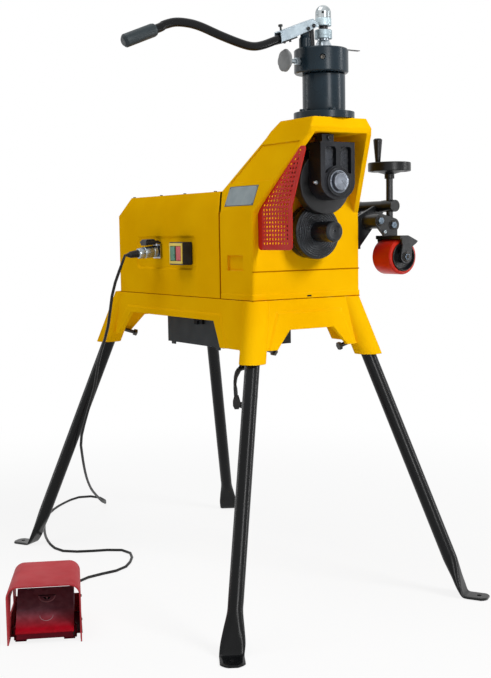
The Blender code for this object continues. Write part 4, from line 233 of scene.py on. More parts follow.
# Materials
class Nodes:
    """A material's tree with short calls for the nodes that the finishes share."""

    def __init__(self, name):
        self.material = bpy.data.materials.new(name)
        self.material.use_nodes = True
        self.tree = self.material.node_tree
        self.shader = self.tree.nodes["Principled BSDF"]
        self.place = self.add("ShaderNodeTexCoord").outputs["Object"]

    def add(self, kind, **values):
        node = self.tree.nodes.new(kind)
        for key, value in values.items():
            setattr(node, key, value)
        return node

    def join(self, output, socket):
        self.tree.links.new(output, socket)

    def mapped(self, scale, shift=(0, 0, 0)):
        node = self.add("ShaderNodeMapping")
        self.join(self.place, node.inputs["Vector"])
        node.inputs["Scale"].default_value = scale
        node.inputs["Location"].default_value = shift
        return node.outputs["Vector"]

    def noise(self, scale, detail=4.0, place=None, distortion=0.0):
        node = self.add("ShaderNodeTexNoise")
        self.join(place or self.place, node.inputs["Vector"])
        node.inputs["Scale"].default_value = scale
        node.inputs["Detail"].default_value = detail
        node.inputs["Distortion"].default_value = distortion
        return node.outputs["Fac"]

    def span(self, value, low, high, start=0.3, end=0.7):
        node = self.add("ShaderNodeMapRange")
        self.join(value, node.inputs["Value"])
        node.inputs["From Min"].default_value = start
        node.inputs["From Max"].default_value = end
        node.inputs["To Min"].default_value = low
        node.inputs["To Max"].default_value = high
        return node.outputs["Result"]

    def blend(self, factor, first, second):
        node = self.add("ShaderNodeMix", data_type="RGBA")
        self.join(factor, node.inputs["Factor"])
        for socket, value in ((node.inputs["A"], first), (node.inputs["B"], second)):
            if isinstance(value, (tuple, list)):
                socket.default_value = (*value[:3], 1)
            else:
                self.join(value, socket)
        return node.outputs["Result"]

    def bump(self, height, strength, distance, under=None):
        node = self.add("ShaderNodeBump")
        self.join(height, node.inputs["Height"])
        node.inputs["Strength"].default_value = strength
        node.inputs["Distance"].default_value = distance
        if under is not None:
            self.join(under, node.inputs["Normal"])
        return node.outputs["Normal"]

    def soft_edges(self, radius):
        node = self.add("ShaderNodeBevel", samples=6)
        node.inputs["Radius"].default_value = radius
        return node.outputs["Normal"]

    def edge_mask(self, radius, low, high):
        """Where the rounded normal leaves the true one: the piece's edges."""
        soft = self.add("ShaderNodeBevel", samples=6)
        soft.inputs["Radius"].default_value = radius
        true = self.add("ShaderNodeNewGeometry").outputs["Normal"]
        dot = self.add("ShaderNodeVectorMath", operation="DOT_PRODUCT")
        self.join(soft.outputs["Normal"], dot.inputs[0])
        self.join(true, dot.inputs[1])
        return self.span(dot.outputs["Value"], 1.0, 0.0, low, high)

    def shine(self, metallic=0.0, coat=0.0, coat_roughness=0.15, specular=0.5):
        self.shader.inputs["Metallic"].default_value = metallic
        self.shader.inputs["Coat Weight"].default_value = coat
        self.shader.inputs["Coat Roughness"].default_value = coat_roughness
        self.shader.inputs["Specular IOR Level"].default_value = specular

    def finish(self, colour, roughness, normal):
        for value, name in ((colour, "Base Color"), (roughness, "Roughness"), (normal, "Normal")):
            if value is not None:
                self.join(value, self.shader.inputs[name])
        return self.material


def linear(red, green, blue):
    """A colour as eye values from 0 to 255, in the shader's linear values."""
    values = []
    for value in (red, green, blue):
        share = value / 255
        values.append(share / 12.92 if share <= 0.04045 else ((share + 0.055) / 1.055) ** 2.4)
    return tuple(values)


def paint(name, colour, dark, light, roughness, grain=0.0, grain_size=0.0012, edge_wear_and_light=None,
          edge=0.0015, specular=0.5, coat=0.0):
    """Enamel: slow drifts of tone, a fine skin, softened edges and, where it has any, an edge colour
    laid in wear-like patches, partly wear and partly painted light on the edges.
    """
    nodes = Nodes(name)
    drift = nodes.noise(7.0, 3.0)
    tone = nodes.blend(nodes.span(drift, 0, 1), dark, light)
    speck = nodes.noise(160.0, 2.0)
    tone = nodes.blend(nodes.span(speck, 0.0, 0.35, 0.45, 0.75), tone, colour)
    if edge_wear_and_light:
        # Partly wear, partly painted light: the edge colour is laid along the edges in patches.
        edge_wear_and_light_mask = nodes.edge_mask(edge, 0.80, 0.99)
        patch = nodes.add("ShaderNodeMath", operation="MULTIPLY")
        nodes.join(edge_wear_and_light_mask, patch.inputs[0])
        nodes.join(nodes.span(nodes.noise(60.0, 5.0), 0.0, 1.0, 0.48, 0.62), patch.inputs[1])
        tone = nodes.blend(patch.outputs["Value"], tone, edge_wear_and_light)
    normal = nodes.soft_edges(edge)
    if grain:
        normal = nodes.bump(nodes.noise(1 / grain_size, 2.0), grain, 0.0006, normal)
    low = max(0.05, roughness - 0.05)
    rough = nodes.span(nodes.noise(25.0, 4.0), low, roughness + 0.07)
    nodes.shine(specular=specular, coat=coat)
    return nodes.finish(tone, rough, normal)


def metal(name, colour, dark, roughness, stretch=(1, 1, 1), lines=700.0, depth=0.12,
          metallic=1.0, edge=0.0006, painted_edge_shade=None):
    """Bare or plated metal with fine tool lines, cloudy tone and softened edges darkened with painted
    shade.
    """
    nodes = Nodes(name)
    cloud = nodes.noise(35.0, 5.0)
    tone = nodes.blend(nodes.span(cloud, 0, 1), dark, colour)
    if painted_edge_shade:
        # Painted shade: the edges are darkened to the given shade colour.
        tone = nodes.blend(nodes.edge_mask(edge * 2, 0.75, 0.99), tone, painted_edge_shade)
    line = nodes.noise(lines, 2.0, nodes.mapped(stretch))
    normal = nodes.bump(line, depth, 0.0004, nodes.soft_edges(edge))
    rough = nodes.span(nodes.noise(90.0, 3.0), max(0.05, roughness - 0.08), roughness + 0.10)
    nodes.shine(metallic=metallic)
    return nodes.finish(tone, rough, normal)


def machined(name, colour, dark, roughness, axis, centre, metallic=0.85, pitch=0.0011,
             depth=0.25, rim=None):
    """Turned steel: concentric tool rings about an axis, oily clouds and, maybe, painted highlights
    on its rims.
    """
    nodes = Nodes(name)
    place = nodes.add("ShaderNodeVectorMath", operation="SUBTRACT")
    nodes.join(nodes.place, place.inputs[0])
    place.inputs[1].default_value = centre
    wave = nodes.add("ShaderNodeTexWave", wave_type="RINGS", rings_direction=axis)
    nodes.join(place.outputs["Vector"], wave.inputs["Vector"])
    wave.inputs["Scale"].default_value = 0.314 / pitch
    wave.inputs["Distortion"].default_value = 0.6
    wave.inputs["Detail"].default_value = 1.0
    cloud = nodes.noise(45.0, 5.0, distortion=0.6)
    tone = nodes.blend(nodes.span(cloud, 0, 1), dark, colour)
    tone = nodes.blend(nodes.span(wave.outputs["Fac"], 0.0, 0.35, 0.5, 1.0), tone, colour)
    if rim:
        # Painted highlight: the rims are lightened to the given colour.
        tone = nodes.blend(nodes.edge_mask(0.0010, 0.70, 0.99), tone, rim)
    normal = nodes.bump(wave.outputs["Fac"], depth, 0.0004, nodes.soft_edges(0.0008))
    normal = nodes.bump(nodes.noise(500.0, 3.0), 0.08, 0.0004, normal)
    rough = nodes.span(nodes.noise(70.0, 4.0), roughness - 0.08, roughness + 0.12)
    nodes.shine(metallic=metallic)
    return nodes.finish(tone, rough, normal)


def plastic(name, colour, light, roughness, grain=0.10, grain_size=0.0009, specular=0.5):
    nodes = Nodes(name)
    tone = nodes.blend(nodes.span(nodes.noise(20.0, 3.0), 0, 1), colour, light)
    normal = nodes.bump(nodes.noise(1 / grain_size, 2.0), grain, 0.0004, nodes.soft_edges(0.0006))
    rough = nodes.span(nodes.noise(55.0, 3.0), roughness - 0.05, roughness + 0.08)
    nodes.shine(specular=specular)
    return nodes.finish(tone, rough, normal)


MATERIALS = {
    # The yellows' paler edge colour is a painted highlight along their edges.
    "cast_yellow": paint("cast_yellow", linear(250, 188, 4), linear(244, 180, 2),
                         linear(253, 194, 8), 0.34, grain=0.16, grain_size=0.0045,
                         edge=0.0022, edge_wear_and_light=linear(255, 218, 70), specular=0.0),
    "sheet_yellow": paint("sheet_yellow", linear(248, 186, 3), linear(242, 178, 1),
                          linear(252, 192, 6), 0.30, grain=0.05, grain_size=0.0020,
                          edge=0.0015, edge_wear_and_light=linear(255, 214, 60), specular=0.0),
    "guard_red": paint("guard_red", linear(202, 34, 24), linear(180, 26, 18),
                       linear(214, 42, 30), 0.42, grain=0.06, edge=0.0004, specular=0.12),
    "leg_black": paint("leg_black", linear(11, 12, 13), linear(7, 8, 9),
                       linear(17, 18, 20), 0.24, grain=0.05, grain_size=0.0016,
                       specular=0.18, edge=0.0010),
    "steady_black": paint("steady_black", linear(20, 21, 23), linear(13, 14, 16),
                          linear(30, 32, 35), 0.32, grain=0.12, grain_size=0.0022,
                          specular=0.30, edge_wear_and_light=linear(88, 90, 95), edge=0.0009),
    "pump_black": paint("pump_black", linear(24, 38, 48), linear(16, 28, 36),
                        linear(34, 50, 60), 0.27, grain=0.03, grain_size=0.0020,
                        specular=0.20, edge=0.0010),
    "slate_sheet": paint("slate_sheet", linear(40, 46, 50), linear(34, 39, 43),
                         linear(48, 54, 58), 0.50, grain=0.10, grain_size=0.0014,
                         specular=0.12),
    "slider_slate": paint("slider_slate", linear(25, 26, 30), linear(14, 15, 18),
                          linear(38, 40, 46), 0.32, grain=0.30, grain_size=0.0030,
                          specular=0.20, edge_wear_and_light=linear(120, 124, 130), edge=0.0012),
    "slider_rough": paint("slider_rough", linear(46, 49, 55), linear(16, 17, 20),
                          linear(78, 82, 90), 0.50, grain=1.0, grain_size=0.0030,
                          specular=0.30),
    # The last colour of each roll's steel is a painted highlight on its rims.
    "upper_roll_steel": machined("upper_roll_steel", linear(24, 25, 28), linear(13, 14, 16),
                                 0.40, "Y", tuple(MACHINE + Vector((0, 0, UPPER_ROLL_HEIGHT))),
                                 0.45, 0.0030, 0.08, linear(104, 108, 114)),
    "lower_roll_steel": machined("lower_roll_steel", linear(33, 37, 42), linear(12, 13, 16),
                                 0.30, "Y", tuple(MACHINE + Vector((0, 0, DRIVE_HEIGHT))),
                                 0.50, 0.0036, 0.20, linear(96, 106, 120)),
    "bright_steel": metal("bright_steel", linear(150, 154, 160), linear(104, 108, 114), 0.24),
    "pin_face": machined("pin_face", linear(134, 140, 150), linear(96, 101, 110), 0.30, "Y",
                         tuple(MACHINE + Vector((0, 0, UPPER_ROLL_HEIGHT))), 0.8, 0.0014, 0.15),
    # The shade colours given to these metals are painted shade laid along their edges.
    "zinc": metal("zinc", linear(172, 182, 188), linear(132, 142, 148), 0.26, metallic=0.8,
                  painted_edge_shade=linear(62, 68, 74)),
    "channel_zinc": metal("channel_zinc", linear(184, 198, 206), linear(152, 166, 176), 0.34,
                          metallic=0.55, painted_edge_shade=linear(84, 90, 96)),
    "frosted": metal("frosted", linear(176, 190, 197), linear(150, 163, 170), 0.5,
                     metallic=0.45, lines=900.0, depth=0.3, painted_edge_shade=linear(70, 76, 82)),
    "chrome": metal("chrome", linear(196, 198, 202), linear(120, 122, 126), 0.10, depth=0.04,
                    painted_edge_shade=linear(50, 52, 56)),
    "bolt_steel": metal("bolt_steel", linear(92, 90, 86), linear(48, 46, 43), 0.34,
                        painted_edge_shade=linear(22, 22, 22)),
    "washer_dark": metal("washer_dark", linear(58, 56, 54), linear(34, 33, 32), 0.40),
    "hex_blue": metal("hex_blue", linear(104, 116, 128), linear(72, 82, 92), 0.30),
    "screw_black": metal("screw_black", linear(26, 27, 30), linear(14, 15, 17), 0.34,
                         metallic=0.3),
    "plate_metal": metal("plate_metal", linear(128, 140, 143), linear(116, 128, 132), 0.42,
                         (1, 0.05, 1), 500.0, 0.06, 0.35),
    "mark_grey": plastic("mark_grey", linear(176, 134, 140), linear(140, 100, 108), 0.5,
                         specular=0.15),
    # The dark brown of the joints, and of the painted shade in the head's front groove.
    "seam_and_groove_shade_brown": plastic("seam_and_groove_shade_brown", linear(186, 116, 0), linear(160, 98, 0), 0.6, 0.05,
                          specular=0.0),
    # Black for black pieces and marks, and painted shade in the cap's vent hole and the head's slot.
    "black_and_hole_shade": plastic("black_and_hole_shade", linear(12, 12, 14), linear(20, 20, 22), 0.6,
                          specular=0.08),
    "plate_edge": metal("plate_edge", linear(70, 74, 74), linear(48, 50, 50), 0.4,
                        metallic=0.3),
    "lamp_white": plastic("lamp_white", linear(214, 214, 206), linear(196, 196, 190), 0.4),
    "motor_iron": paint("motor_iron", linear(74, 78, 84), linear(62, 66, 70),
                        linear(84, 88, 94), 0.5, grain=0.5, grain_size=0.003),
    "black_plastic": plastic("black_plastic", linear(17, 18, 20), linear(26, 27, 29), 0.42,
                             specular=0.25),
    "wheel_plastic": plastic("wheel_plastic", linear(10, 11, 12), linear(18, 19, 21), 0.32,
                             specular=0.24),
    "grip_rubber": plastic("grip_rubber", linear(38, 48, 52), linear(30, 38, 42), 0.44, 0.2,
                           0.0014, 0.30),
    "knob_plastic": plastic("knob_plastic", linear(130, 132, 132), linear(112, 114, 115), 0.5,
                            0.3, 0.0016),
    "green_plastic": plastic("green_plastic", linear(58, 138, 104), linear(46, 122, 90), 0.3),
    "red_plastic": plastic("red_plastic", linear(214, 58, 62), linear(196, 44, 50), 0.3),
    "frame_yellow": plastic("frame_yellow", linear(238, 210, 66), linear(226, 196, 50), 0.35),
    # The tyre's pale edge colour is a painted highlight along its edges.
    "tyre_red": paint("tyre_red", linear(198, 34, 14), linear(178, 24, 8), linear(210, 44, 20),
                      0.32, grain=0.12, grain_size=0.003, specular=0.22,
                      edge_wear_and_light=linear(232, 92, 96), edge=0.0030),
    "hood_red": paint("hood_red", linear(178, 48, 56), linear(166, 40, 48), linear(190, 64, 70),
                      0.58, grain=0.18, grain_size=0.0016, specular=0.22,
                      edge_wear_and_light=linear(120, 24, 32), edge=0.0012),
    # The pedal's red darkened for the plate under the treadle: partly its colour, partly painted
    # shade.
    "base_crimson_shaded": paint("base_crimson_shaded", linear(92, 12, 26), linear(70, 10, 20),
                          linear(110, 20, 34), 0.5, grain=0.2, grain_size=0.003,
                          specular=0.05),
    # A darker copy of the hood's red for its shaded inside: painted shade.
    "hood_red_shaded": paint("hood_red_shaded", linear(110, 14, 22), linear(92, 10, 18), linear(124, 20, 28),
                       0.55, grain=0.10, specular=0.3),
    "cord_black": plastic("cord_black", linear(14, 14, 14), linear(22, 22, 22), 0.45, 0.15,
                          0.0020, 0.25),
}


def treadle_material():
    """The treadle's coat: crimson at its heel that turns to plum towards its toe."""
    nodes = Nodes("treadle_red")
    split = nodes.add("ShaderNodeSeparateXYZ")
    nodes.join(nodes.place, split.inputs["Vector"])
    rise = nodes.span(split.outputs["Z"], 0.0, 1.0, 0.030, 0.058)
    cloud = nodes.noise(60.0, 5.0)
    crimson = nodes.blend(nodes.span(cloud, 0, 1), linear(146, 2, 20), linear(172, 4, 30))
    plum = nodes.blend(nodes.span(cloud, 0, 1), linear(104, 66, 76), linear(128, 92, 102))
    tone = nodes.blend(rise, crimson, plum)
    normal = nodes.bump(nodes.noise(600.0, 3.0), 0.12, 0.0004, nodes.soft_edges(0.0010))
    nodes.shine(specular=0.12)
    return nodes.finish(tone, nodes.span(nodes.noise(40.0, 3.0), 0.38, 0.55), normal)


MATERIALS["treadle_red"] = treadle_material()


def stem_material():
    """The filler's bright cone and, above it, its frosted nut ring."""
    nodes = Nodes("stem_zinc")
    split = nodes.add("ShaderNodeSeparateXYZ")
    nodes.join(nodes.place, split.inputs["Vector"])
    height = split.outputs["Z"]
    upper = nodes.span(height, 0.0, 1.0, 1.2885, 1.2892)
    cloud = nodes.noise(120.0, 4.0, nodes.mapped((1, 1, 0.2)))
    bright = nodes.blend(nodes.span(cloud, 0, 1), linear(112, 124, 132), linear(206, 214, 220))
    frost = nodes.blend(nodes.span(cloud, 0, 1), linear(140, 156, 163), linear(172, 187, 194))
    tone = nodes.blend(upper, bright, frost)
    # Painted shade: the edges are darkened.
    tone = nodes.blend(nodes.edge_mask(0.0006, 0.75, 0.99), tone, linear(84, 92, 98))
    normal = nodes.bump(nodes.noise(900.0, 2.0), 0.2, 0.0004, nodes.soft_edges(0.0006))
    nodes.shine(metallic=0.6)
    return nodes.finish(tone, nodes.span(upper, 0.16, 0.5, 0.0, 1.0), normal)


MATERIALS["stem_zinc"] = stem_material()


def cap_material():
    """The cap's frosted band under its bright dome."""
    nodes = Nodes("cap_white")
    split = nodes.add("ShaderNodeSeparateXYZ")
    nodes.join(nodes.place, split.inputs["Vector"])
    upper = nodes.span(split.outputs["Z"], 0.0, 1.0, 1.3328, 1.3334)
    cloud = nodes.noise(90.0, 4.0, nodes.mapped((1, 1, 0.25)))
    bright = nodes.blend(nodes.span(cloud, 0, 1), linear(118, 128, 132), linear(214, 220, 222))
    frost = nodes.blend(nodes.span(cloud, 0, 1), linear(168, 184, 190), linear(190, 205, 211))
    tone = nodes.blend(upper, frost, bright)
    # Painted shade: the edges are darkened.
    tone = nodes.blend(nodes.edge_mask(0.0010, 0.75, 0.99), tone, linear(66, 72, 76))
    normal = nodes.bump(nodes.noise(900.0, 2.0), 0.15, 0.0004, nodes.soft_edges(0.0006))
    nodes.shine(metallic=0.65)
    return nodes.finish(tone, nodes.span(upper, 0.5, 0.14, 0.0, 1.0), normal)


MATERIALS["cap_white"] = cap_material()


def solid(name, bm):
    mesh = bpy.data.meshes.new(name)
    bm.to_mesh(mesh)
    bm.free()
    obj = bpy.data.objects.new(name, mesh)
    bpy.context.scene.collection.objects.link(obj)
    mesh.shade_smooth()
    mesh.set_sharp_from_angle(angle=SMOOTH_ANGLE)
    return obj


def fillets(stations, fillet, closed):
    """A turned piece's profile with each of its corners rounded."""
    if any(len(station) > 2 for station in stations):
        return stations
    count = len(stations)
    rounded = []
    for index, (along, radius) in enumerate(stations):
        ends = not closed and index in (0, count - 1)
        if ends or radius == 0:
            rounded.append((along, radius))
            continue
        here = Vector((along, radius))
        before = Vector(stations[index - 1][:2])
        after = Vector(stations[(index + 1) % count][:2])
        back = before - here
        ahead = after - here
        if back.length == 0 or ahead.length == 0 or back.angle(ahead) > math.radians(165):
            rounded.append((along, radius))
            continue
        reach = min(fillet, back.length * 0.4, ahead.length * 0.4)
        start = here + back.normalized() * reach
        end = here + ahead.normalized() * reach
        middle = (start + end) / 4 + here / 2
        for spot in (start, middle, end):
            rounded.append((spot.x, max(0.0, spot.y)))
    return rounded


FILLET = 0.0007


def turned(name, stations, foot, direction, sides=ROUND, closed=False,
           fillet=FILLET):
    """A round piece: each station is a distance along, a radius and maybe "hex"."""
    turn = Vector(direction).to_track_quat("Z", "Y")
    sides = max(48, sides * FINE)
    rings = []
    for station in fillets(stations, fillet, closed):
        along, radius = station[:2]
        if radius == 0:
            rings.append([Vector(foot) + turn @ Vector((0, 0, along))])
            continue
        ring = []
        for index in range(sides):
            angle = 2 * math.pi * index / sides
            reach = radius
            if len(station) > 2:
                reach = radius / math.cos(angle % (math.pi / 3) - math.pi / 6)
            spot = Vector((reach * math.cos(angle), reach * math.sin(angle), along))
            ring.append(Vector(foot) + turn @ spot)
        rings.append(ring)
    return solid(name, skin(rings, closed))


def swept(name, points, radius, sides=SMALL_ROUND):
    """A round bar that follows a smooth line through points in a plane across Y."""
    even, _ = smooth_route(list(points), radius / 2)
    rings = []
    sides *= FINE
    for index, point in enumerate(even):
        before = even[max(index - 1, 0)]
        after = even[min(index + 1, len(even) - 1)]
        heading = (after - before).normalized()
        across = heading.cross(ALONG["Y"])
        ring = []
        for step in range(sides):
            angle = 2 * math.pi * step / sides
            side = across * math.cos(angle) + ALONG["Y"] * math.sin(angle)
            ring.append(point + side * radius)
        rings.append(ring)
    return solid(name, skin(rings))


def arc(centre, radius, start, end, steps, squash=1):
    """Points on an arc in degrees; squash scales its second coordinate."""
    points = []
    steps *= FINE
    for step in range(steps + 1):
        angle = math.radians(start + (end - start) * step / steps)
        rise = radius * squash * math.sin(angle)
        points.append((centre[0] + radius * math.cos(angle), centre[1] + rise))
    return points


def cornered(half_width, front, rear, height, corner):
    """A rectangle's ring with round corners."""
    steps = 6
    ring = []
    for x, y, start in ((half_width - corner, front + corner, -90),
                        (half_width - corner, rear - corner, 0),
                        (-half_width + corner, rear - corner, 90),
                        (-half_width + corner, front + corner, 180)):
        for step in range(steps + 1):
            angle = math.radians(start + 90 * step / steps)
            ring.append(Vector((x + corner * math.cos(angle), y + corner * math.sin(angle), height)))
    return ring


def combine(target, other, operation):
    modifier = target.modifiers.new("combine", "BOOLEAN")
    modifier.operation = operation
    modifier.object = other
    modifier.solver = "EXACT"
    bpy.context.view_layer.update()
    depsgraph = bpy.context.evaluated_depsgraph_get()
    mesh = bpy.data.meshes.new_from_object(target.evaluated_get(depsgraph))
    mesh.name = target.name
    target.modifiers.clear()
    target.data = mesh
    mesh.shade_smooth()
    mesh.set_sharp_from_angle(angle=SMOOTH_ANGLE)
    bpy.data.objects.remove(other, do_unlink=True)


def soften(obj, width, segments=2):
    """Rounds a piece's sharp edges and keeps its faces flat to the light."""
    bm = bmesh.new()
    bm.from_mesh(obj.data)
    bmesh.ops.remove_doubles(bm, verts=bm.verts, dist=0.00002)
    flat = math.radians(0.7)
    bmesh.ops.dissolve_limit(bm, angle_limit=flat, verts=bm.verts, edges=bm.edges)
    bm.to_mesh(obj.data)
    bm.free()
    bevel = obj.modifiers.new("bevel", "BEVEL")
    bevel.width = width
    bevel.segments = segments
    bevel.limit_method = "ANGLE"
    bevel.angle_limit = math.radians(30)
    bevel.use_clamp_overlap = True
    weighted = obj.modifiers.new("weighted", "WEIGHTED_NORMAL")
    weighted.keep_sharp = False
    obj.data.shade_smooth()
    bpy.context.view_layer.update()
    depsgraph = bpy.context.evaluated_depsgraph_get()
    mesh = bpy.data.meshes.new_from_object(obj.evaluated_get(depsgraph))
    obj.modifiers.clear()
    obj.data = mesh


def dress(node, obj, material, edge=0, suffix="_look"):
    """Puts a finished piece in the node's place and on its body, with its finish, and hides the node.
    """
    if edge:
        soften(obj, edge)
    obj.data.transform(Matrix.Translation(MACHINE))
    obj.data.materials.clear()
    obj.data.materials.append(MATERIALS[material])
    obj.name = node + suffix
    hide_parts(node)
    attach(obj, BODY_OF[node])
    return obj


def add(name, obj, material, like, edge=0):
    """A small piece that rides with a node's body, with the finish it is given."""
    if edge:
        soften(obj, edge)
    obj.data.transform(Matrix.Translation(MACHINE))
    obj.data.materials.clear()
    obj.data.materials.append(MATERIALS[material])
    obj.name = name
    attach(obj, BODY_OF[like])
    return obj


def in_pedal_frame(obj):
    """Moves a piece drawn in the pedal's own frame to its place in the machine frame."""
    obj.data.transform(Matrix.Translation((PEDAL_X, PEDAL_Y, 0))
                       @ Matrix.Rotation(PEDAL_TURN, 4, "Z"))
    return obj

# Solids from rings, outlines and profiles
def skin(rings, closed=False):
    """A closed mesh through rings of points; a ring of one point is a tip."""
    bm = bmesh.new()
    loops = [[bm.verts.new(point) for point in ring] for ring in rings]
    pairs = list(zip(loops, loops[1:]))
    if closed:
        pairs.append((loops[-1], loops[0]))
    for low, high in pairs:
        count = max(len(low), len(high))
        for index in range(count):
            after = (index + 1) % count
            if len(low) == 1:
                bm.faces.new((low[0], high[after], high[index]))
            elif len(high) == 1:
                bm.faces.new((low[index], low[after], high[0]))
            else:
                bm.faces.new((low[index], low[after], high[after], high[index]))
    if not closed:
        for loop in (loops[0], loops[-1]):
            if len(loop) > 1:
                bm.faces.new(loop)
    bmesh.ops.recalc_face_normals(bm, faces=bm.faces)
    if bm.calc_volume(signed=True) < 0:
        bmesh.ops.reverse_faces(bm, faces=bm.faces)
    return bm


def spread(pair, axis, place):
    """The point at a place along an axis, with the pair in the plane across it."""
    a, b = pair
    if axis == "X":
        return Vector((place, a, b))
    if axis == "Y":
        return Vector((a, place, b))
    return Vector((a, b, place))


def prism(name, outline, axis, near, far):
    rings = [[spread(pair, axis, place) for pair in outline] for place in (near, far)]
    return solid(name, skin(rings))


def block(name, low, high):
    outline = [(low[0], low[1]), (high[0], low[1]), (high[0], high[1]), (low[0], high[1])]
    return prism(name, outline, "Z", low[2], high[2])


def rod(name, start, end, radius, sides=ROUND):
    start = Vector(start)
    run = Vector(end) - start
    return turned(name, [(0, radius), (run.length, radius)], start, run, sides)


def cut(target, *others):
    for other in others:
        combine(target, other, "DIFFERENCE")


def weld(target, *others):
    for other in others:
        combine(target, other, "UNION")


def between(low, high, share):
    return low + (high - low) * share


# Stand
def leg_line(side, end):
    heel = Vector((side * LEG_HALF_SPREAD, end * LEG_HALF_REACH, 0))
    neck_y = SOCKET_FRONT if end < 0 else SOCKET_REAR
    neck = Vector((side * SOCKET_HALF_SPREAD, neck_y, SOCKET_FOOT))
    return heel, neck


def on_leg(side, end, height):
    heel, neck = leg_line(side, end)
    return heel + (neck - heel) * (height / neck.z)


def clamp_line(side, end):
    """Where a clamp bolt meets its leg, and the direction it leaves in."""
    height = 0.622
    start = on_leg(side, end, height)
    heel, neck = leg_line(side, end)
    heading = (neck - heel).normalized()
    skew_share = 0.2
    inward = Vector((-side, -end * skew_share, 0)).normalized()
    away = (inward - heading * inward.dot(heading)).normalized()
    return start, away


def clamp_bolt(name, side, end):
    start, away = clamp_line(side, end)
    radius = 0.005
    head_half_flats = 0.0085
    head_height = 0.007
    shown = 0.030
    tip = LEG_RADIUS + GAP
    head = SOCKET_RADIUS + shown
    stations = [(tip, radius), (head, radius), (head, head_half_flats, "hex"),
                (head + head_height, head_half_flats, "hex")]
    return turned(name, stations, start, away, SMALL_ROUND)


def base_ring(height, inset, corner):
    share = (DECK_TOP - height) / (DECK_TOP - SKIRT_FOOT)
    half_width = between(BASE_TOP_HALF_WIDTH, BASE_FOOT_HALF_WIDTH, share) - inset
    front = between(BASE_TOP_FRONT, BASE_FOOT_FRONT, share) + inset
    rear = between(BASE_TOP_REAR, BASE_FOOT_REAR, share) - inset
    return cornered(half_width, front, rear, height, corner)


def base_casting():
    """The cast base: a deck with a flared skirt, arches and four leg sockets."""
    casting = solid("base_casting", skin([base_ring(SKIRT_FOOT, 0, BASE_CORNER),
                                          base_ring(DECK_TOP, 0, BASE_CORNER)]))
    ceiling = DECK_TOP - DECK_THICKNESS
    hollow = solid("hollow", skin([base_ring(SKIRT_FOOT - OVERRUN, SKIRT_WALL, BASE_CORNER),
                                   base_ring(ceiling, SKIRT_WALL, BASE_CORNER)]))
    cut(casting, hollow)
    for side in SIDES.values():
        for end in LEG_DIRECTIONS.values():
            post = rod("post", on_leg(side, end, SOCKET_FOOT - OVERRUN),
                       on_leg(side, end, DECK_TOP + OVERRUN), SOCKET_RADIUS, sides=20)
            weld(casting, post)
    reach = BASE_FOOT_REAR - BASE_FOOT_FRONT
    cut(casting, block("trim", (-reach, -reach, DECK_TOP), (reach, reach, DECK_TOP + 3 * OVERRUN)),
        block("trim", (-reach, -reach, SOCKET_FOOT - 3 * OVERRUN), (reach, reach, SOCKET_FOOT)))
    side_arch_top = 0.668
    side_arch_foot_front = -0.239
    side_arch_top_front = -0.203
    side_arch_top_rear = 0.213
    side_arch_foot_rear = 0.272
    side_arch = [(side_arch_foot_front, SKIRT_FOOT), (side_arch_top_front, side_arch_top),
                 (side_arch_top_rear, side_arch_top), (side_arch_foot_rear, SKIRT_FOOT)]
    side_panel_top = 0.685
    panel_margin = 0.0255
    side_panel = [(side_arch_foot_front - panel_margin, SKIRT_FOOT),
                  (side_arch_top_front - panel_margin, side_panel_top),
                  (side_arch_top_rear + panel_margin, side_panel_top),
                  (side_arch_foot_rear + panel_margin, SKIRT_FOOT)]
    end_arch_top = 0.651
    end_arch_half_widths = (0.100, 0.062)
    end_panel_top = 0.692
    end_panel_half_widths = (0.123, 0.092)
    panel_depth = 0.003
    for side in SIDES.values():
        cut(casting, side_recess(side_panel, side, panel_depth))
    for end in LEG_DIRECTIONS.values():
        cut(casting, end_recess(end_panel_half_widths, end_panel_top, end, panel_depth))
    cut(casting, arch(side_arch, "X", BASE_FOOT_HALF_WIDTH + OVERRUN))
    wide, narrow = end_arch_half_widths
    end_arch = [(-wide, SKIRT_FOOT), (-narrow, end_arch_top), (narrow, end_arch_top),
                (wide, SKIRT_FOOT)]
    cut(casting, arch(end_arch, "Y", BASE_FOOT_REAR - BASE_FOOT_FRONT))
    bolt_clearance = 0.0055
    for side in SIDES.values():
        for end in LEG_DIRECTIONS.values():
            neck = on_leg(side, end, SOCKET_FOOT - 2 * OVERRUN)
            ceiling_point = on_leg(side, end, ceiling - GAP)
            cut(casting, rod("bore", neck, ceiling_point, LEG_RADIUS + GAP, sides=20))
            start, away = clamp_line(side, end)
            reach = SOCKET_RADIUS + OVERRUN
            cut(casting, rod("bolt_hole", start, start + away * reach, bolt_clearance, sides=8))
    return casting


def arch(outline, axis, reach):
    """A cutter through both walls, run down past the skirt's foot."""
    (foot_a, foot), (top_a, top), (top_b, _), (foot_b, _) = outline
    below = foot - OVERRUN
    shape = [(foot_a, below), (foot_a, foot), (top_a, top), (top_b, top), (foot_b, foot),
             (foot_b, below)]
    return prism("arch", shape, axis, -reach, reach)


def skirt_share(height):
    return (DECK_TOP - height) / (DECK_TOP - SKIRT_FOOT)


def side_recess(outline, side, depth):
    rings = []
    for inset in (depth, -OVERRUN):
        ring = []
        for y, height in outline:
            wall = between(BASE_TOP_HALF_WIDTH, BASE_FOOT_HALF_WIDTH, skirt_share(height))
            ring.append(Vector((side * (wall - inset), y, height)))
        rings.append(ring)
    return solid("recess", skin(rings))


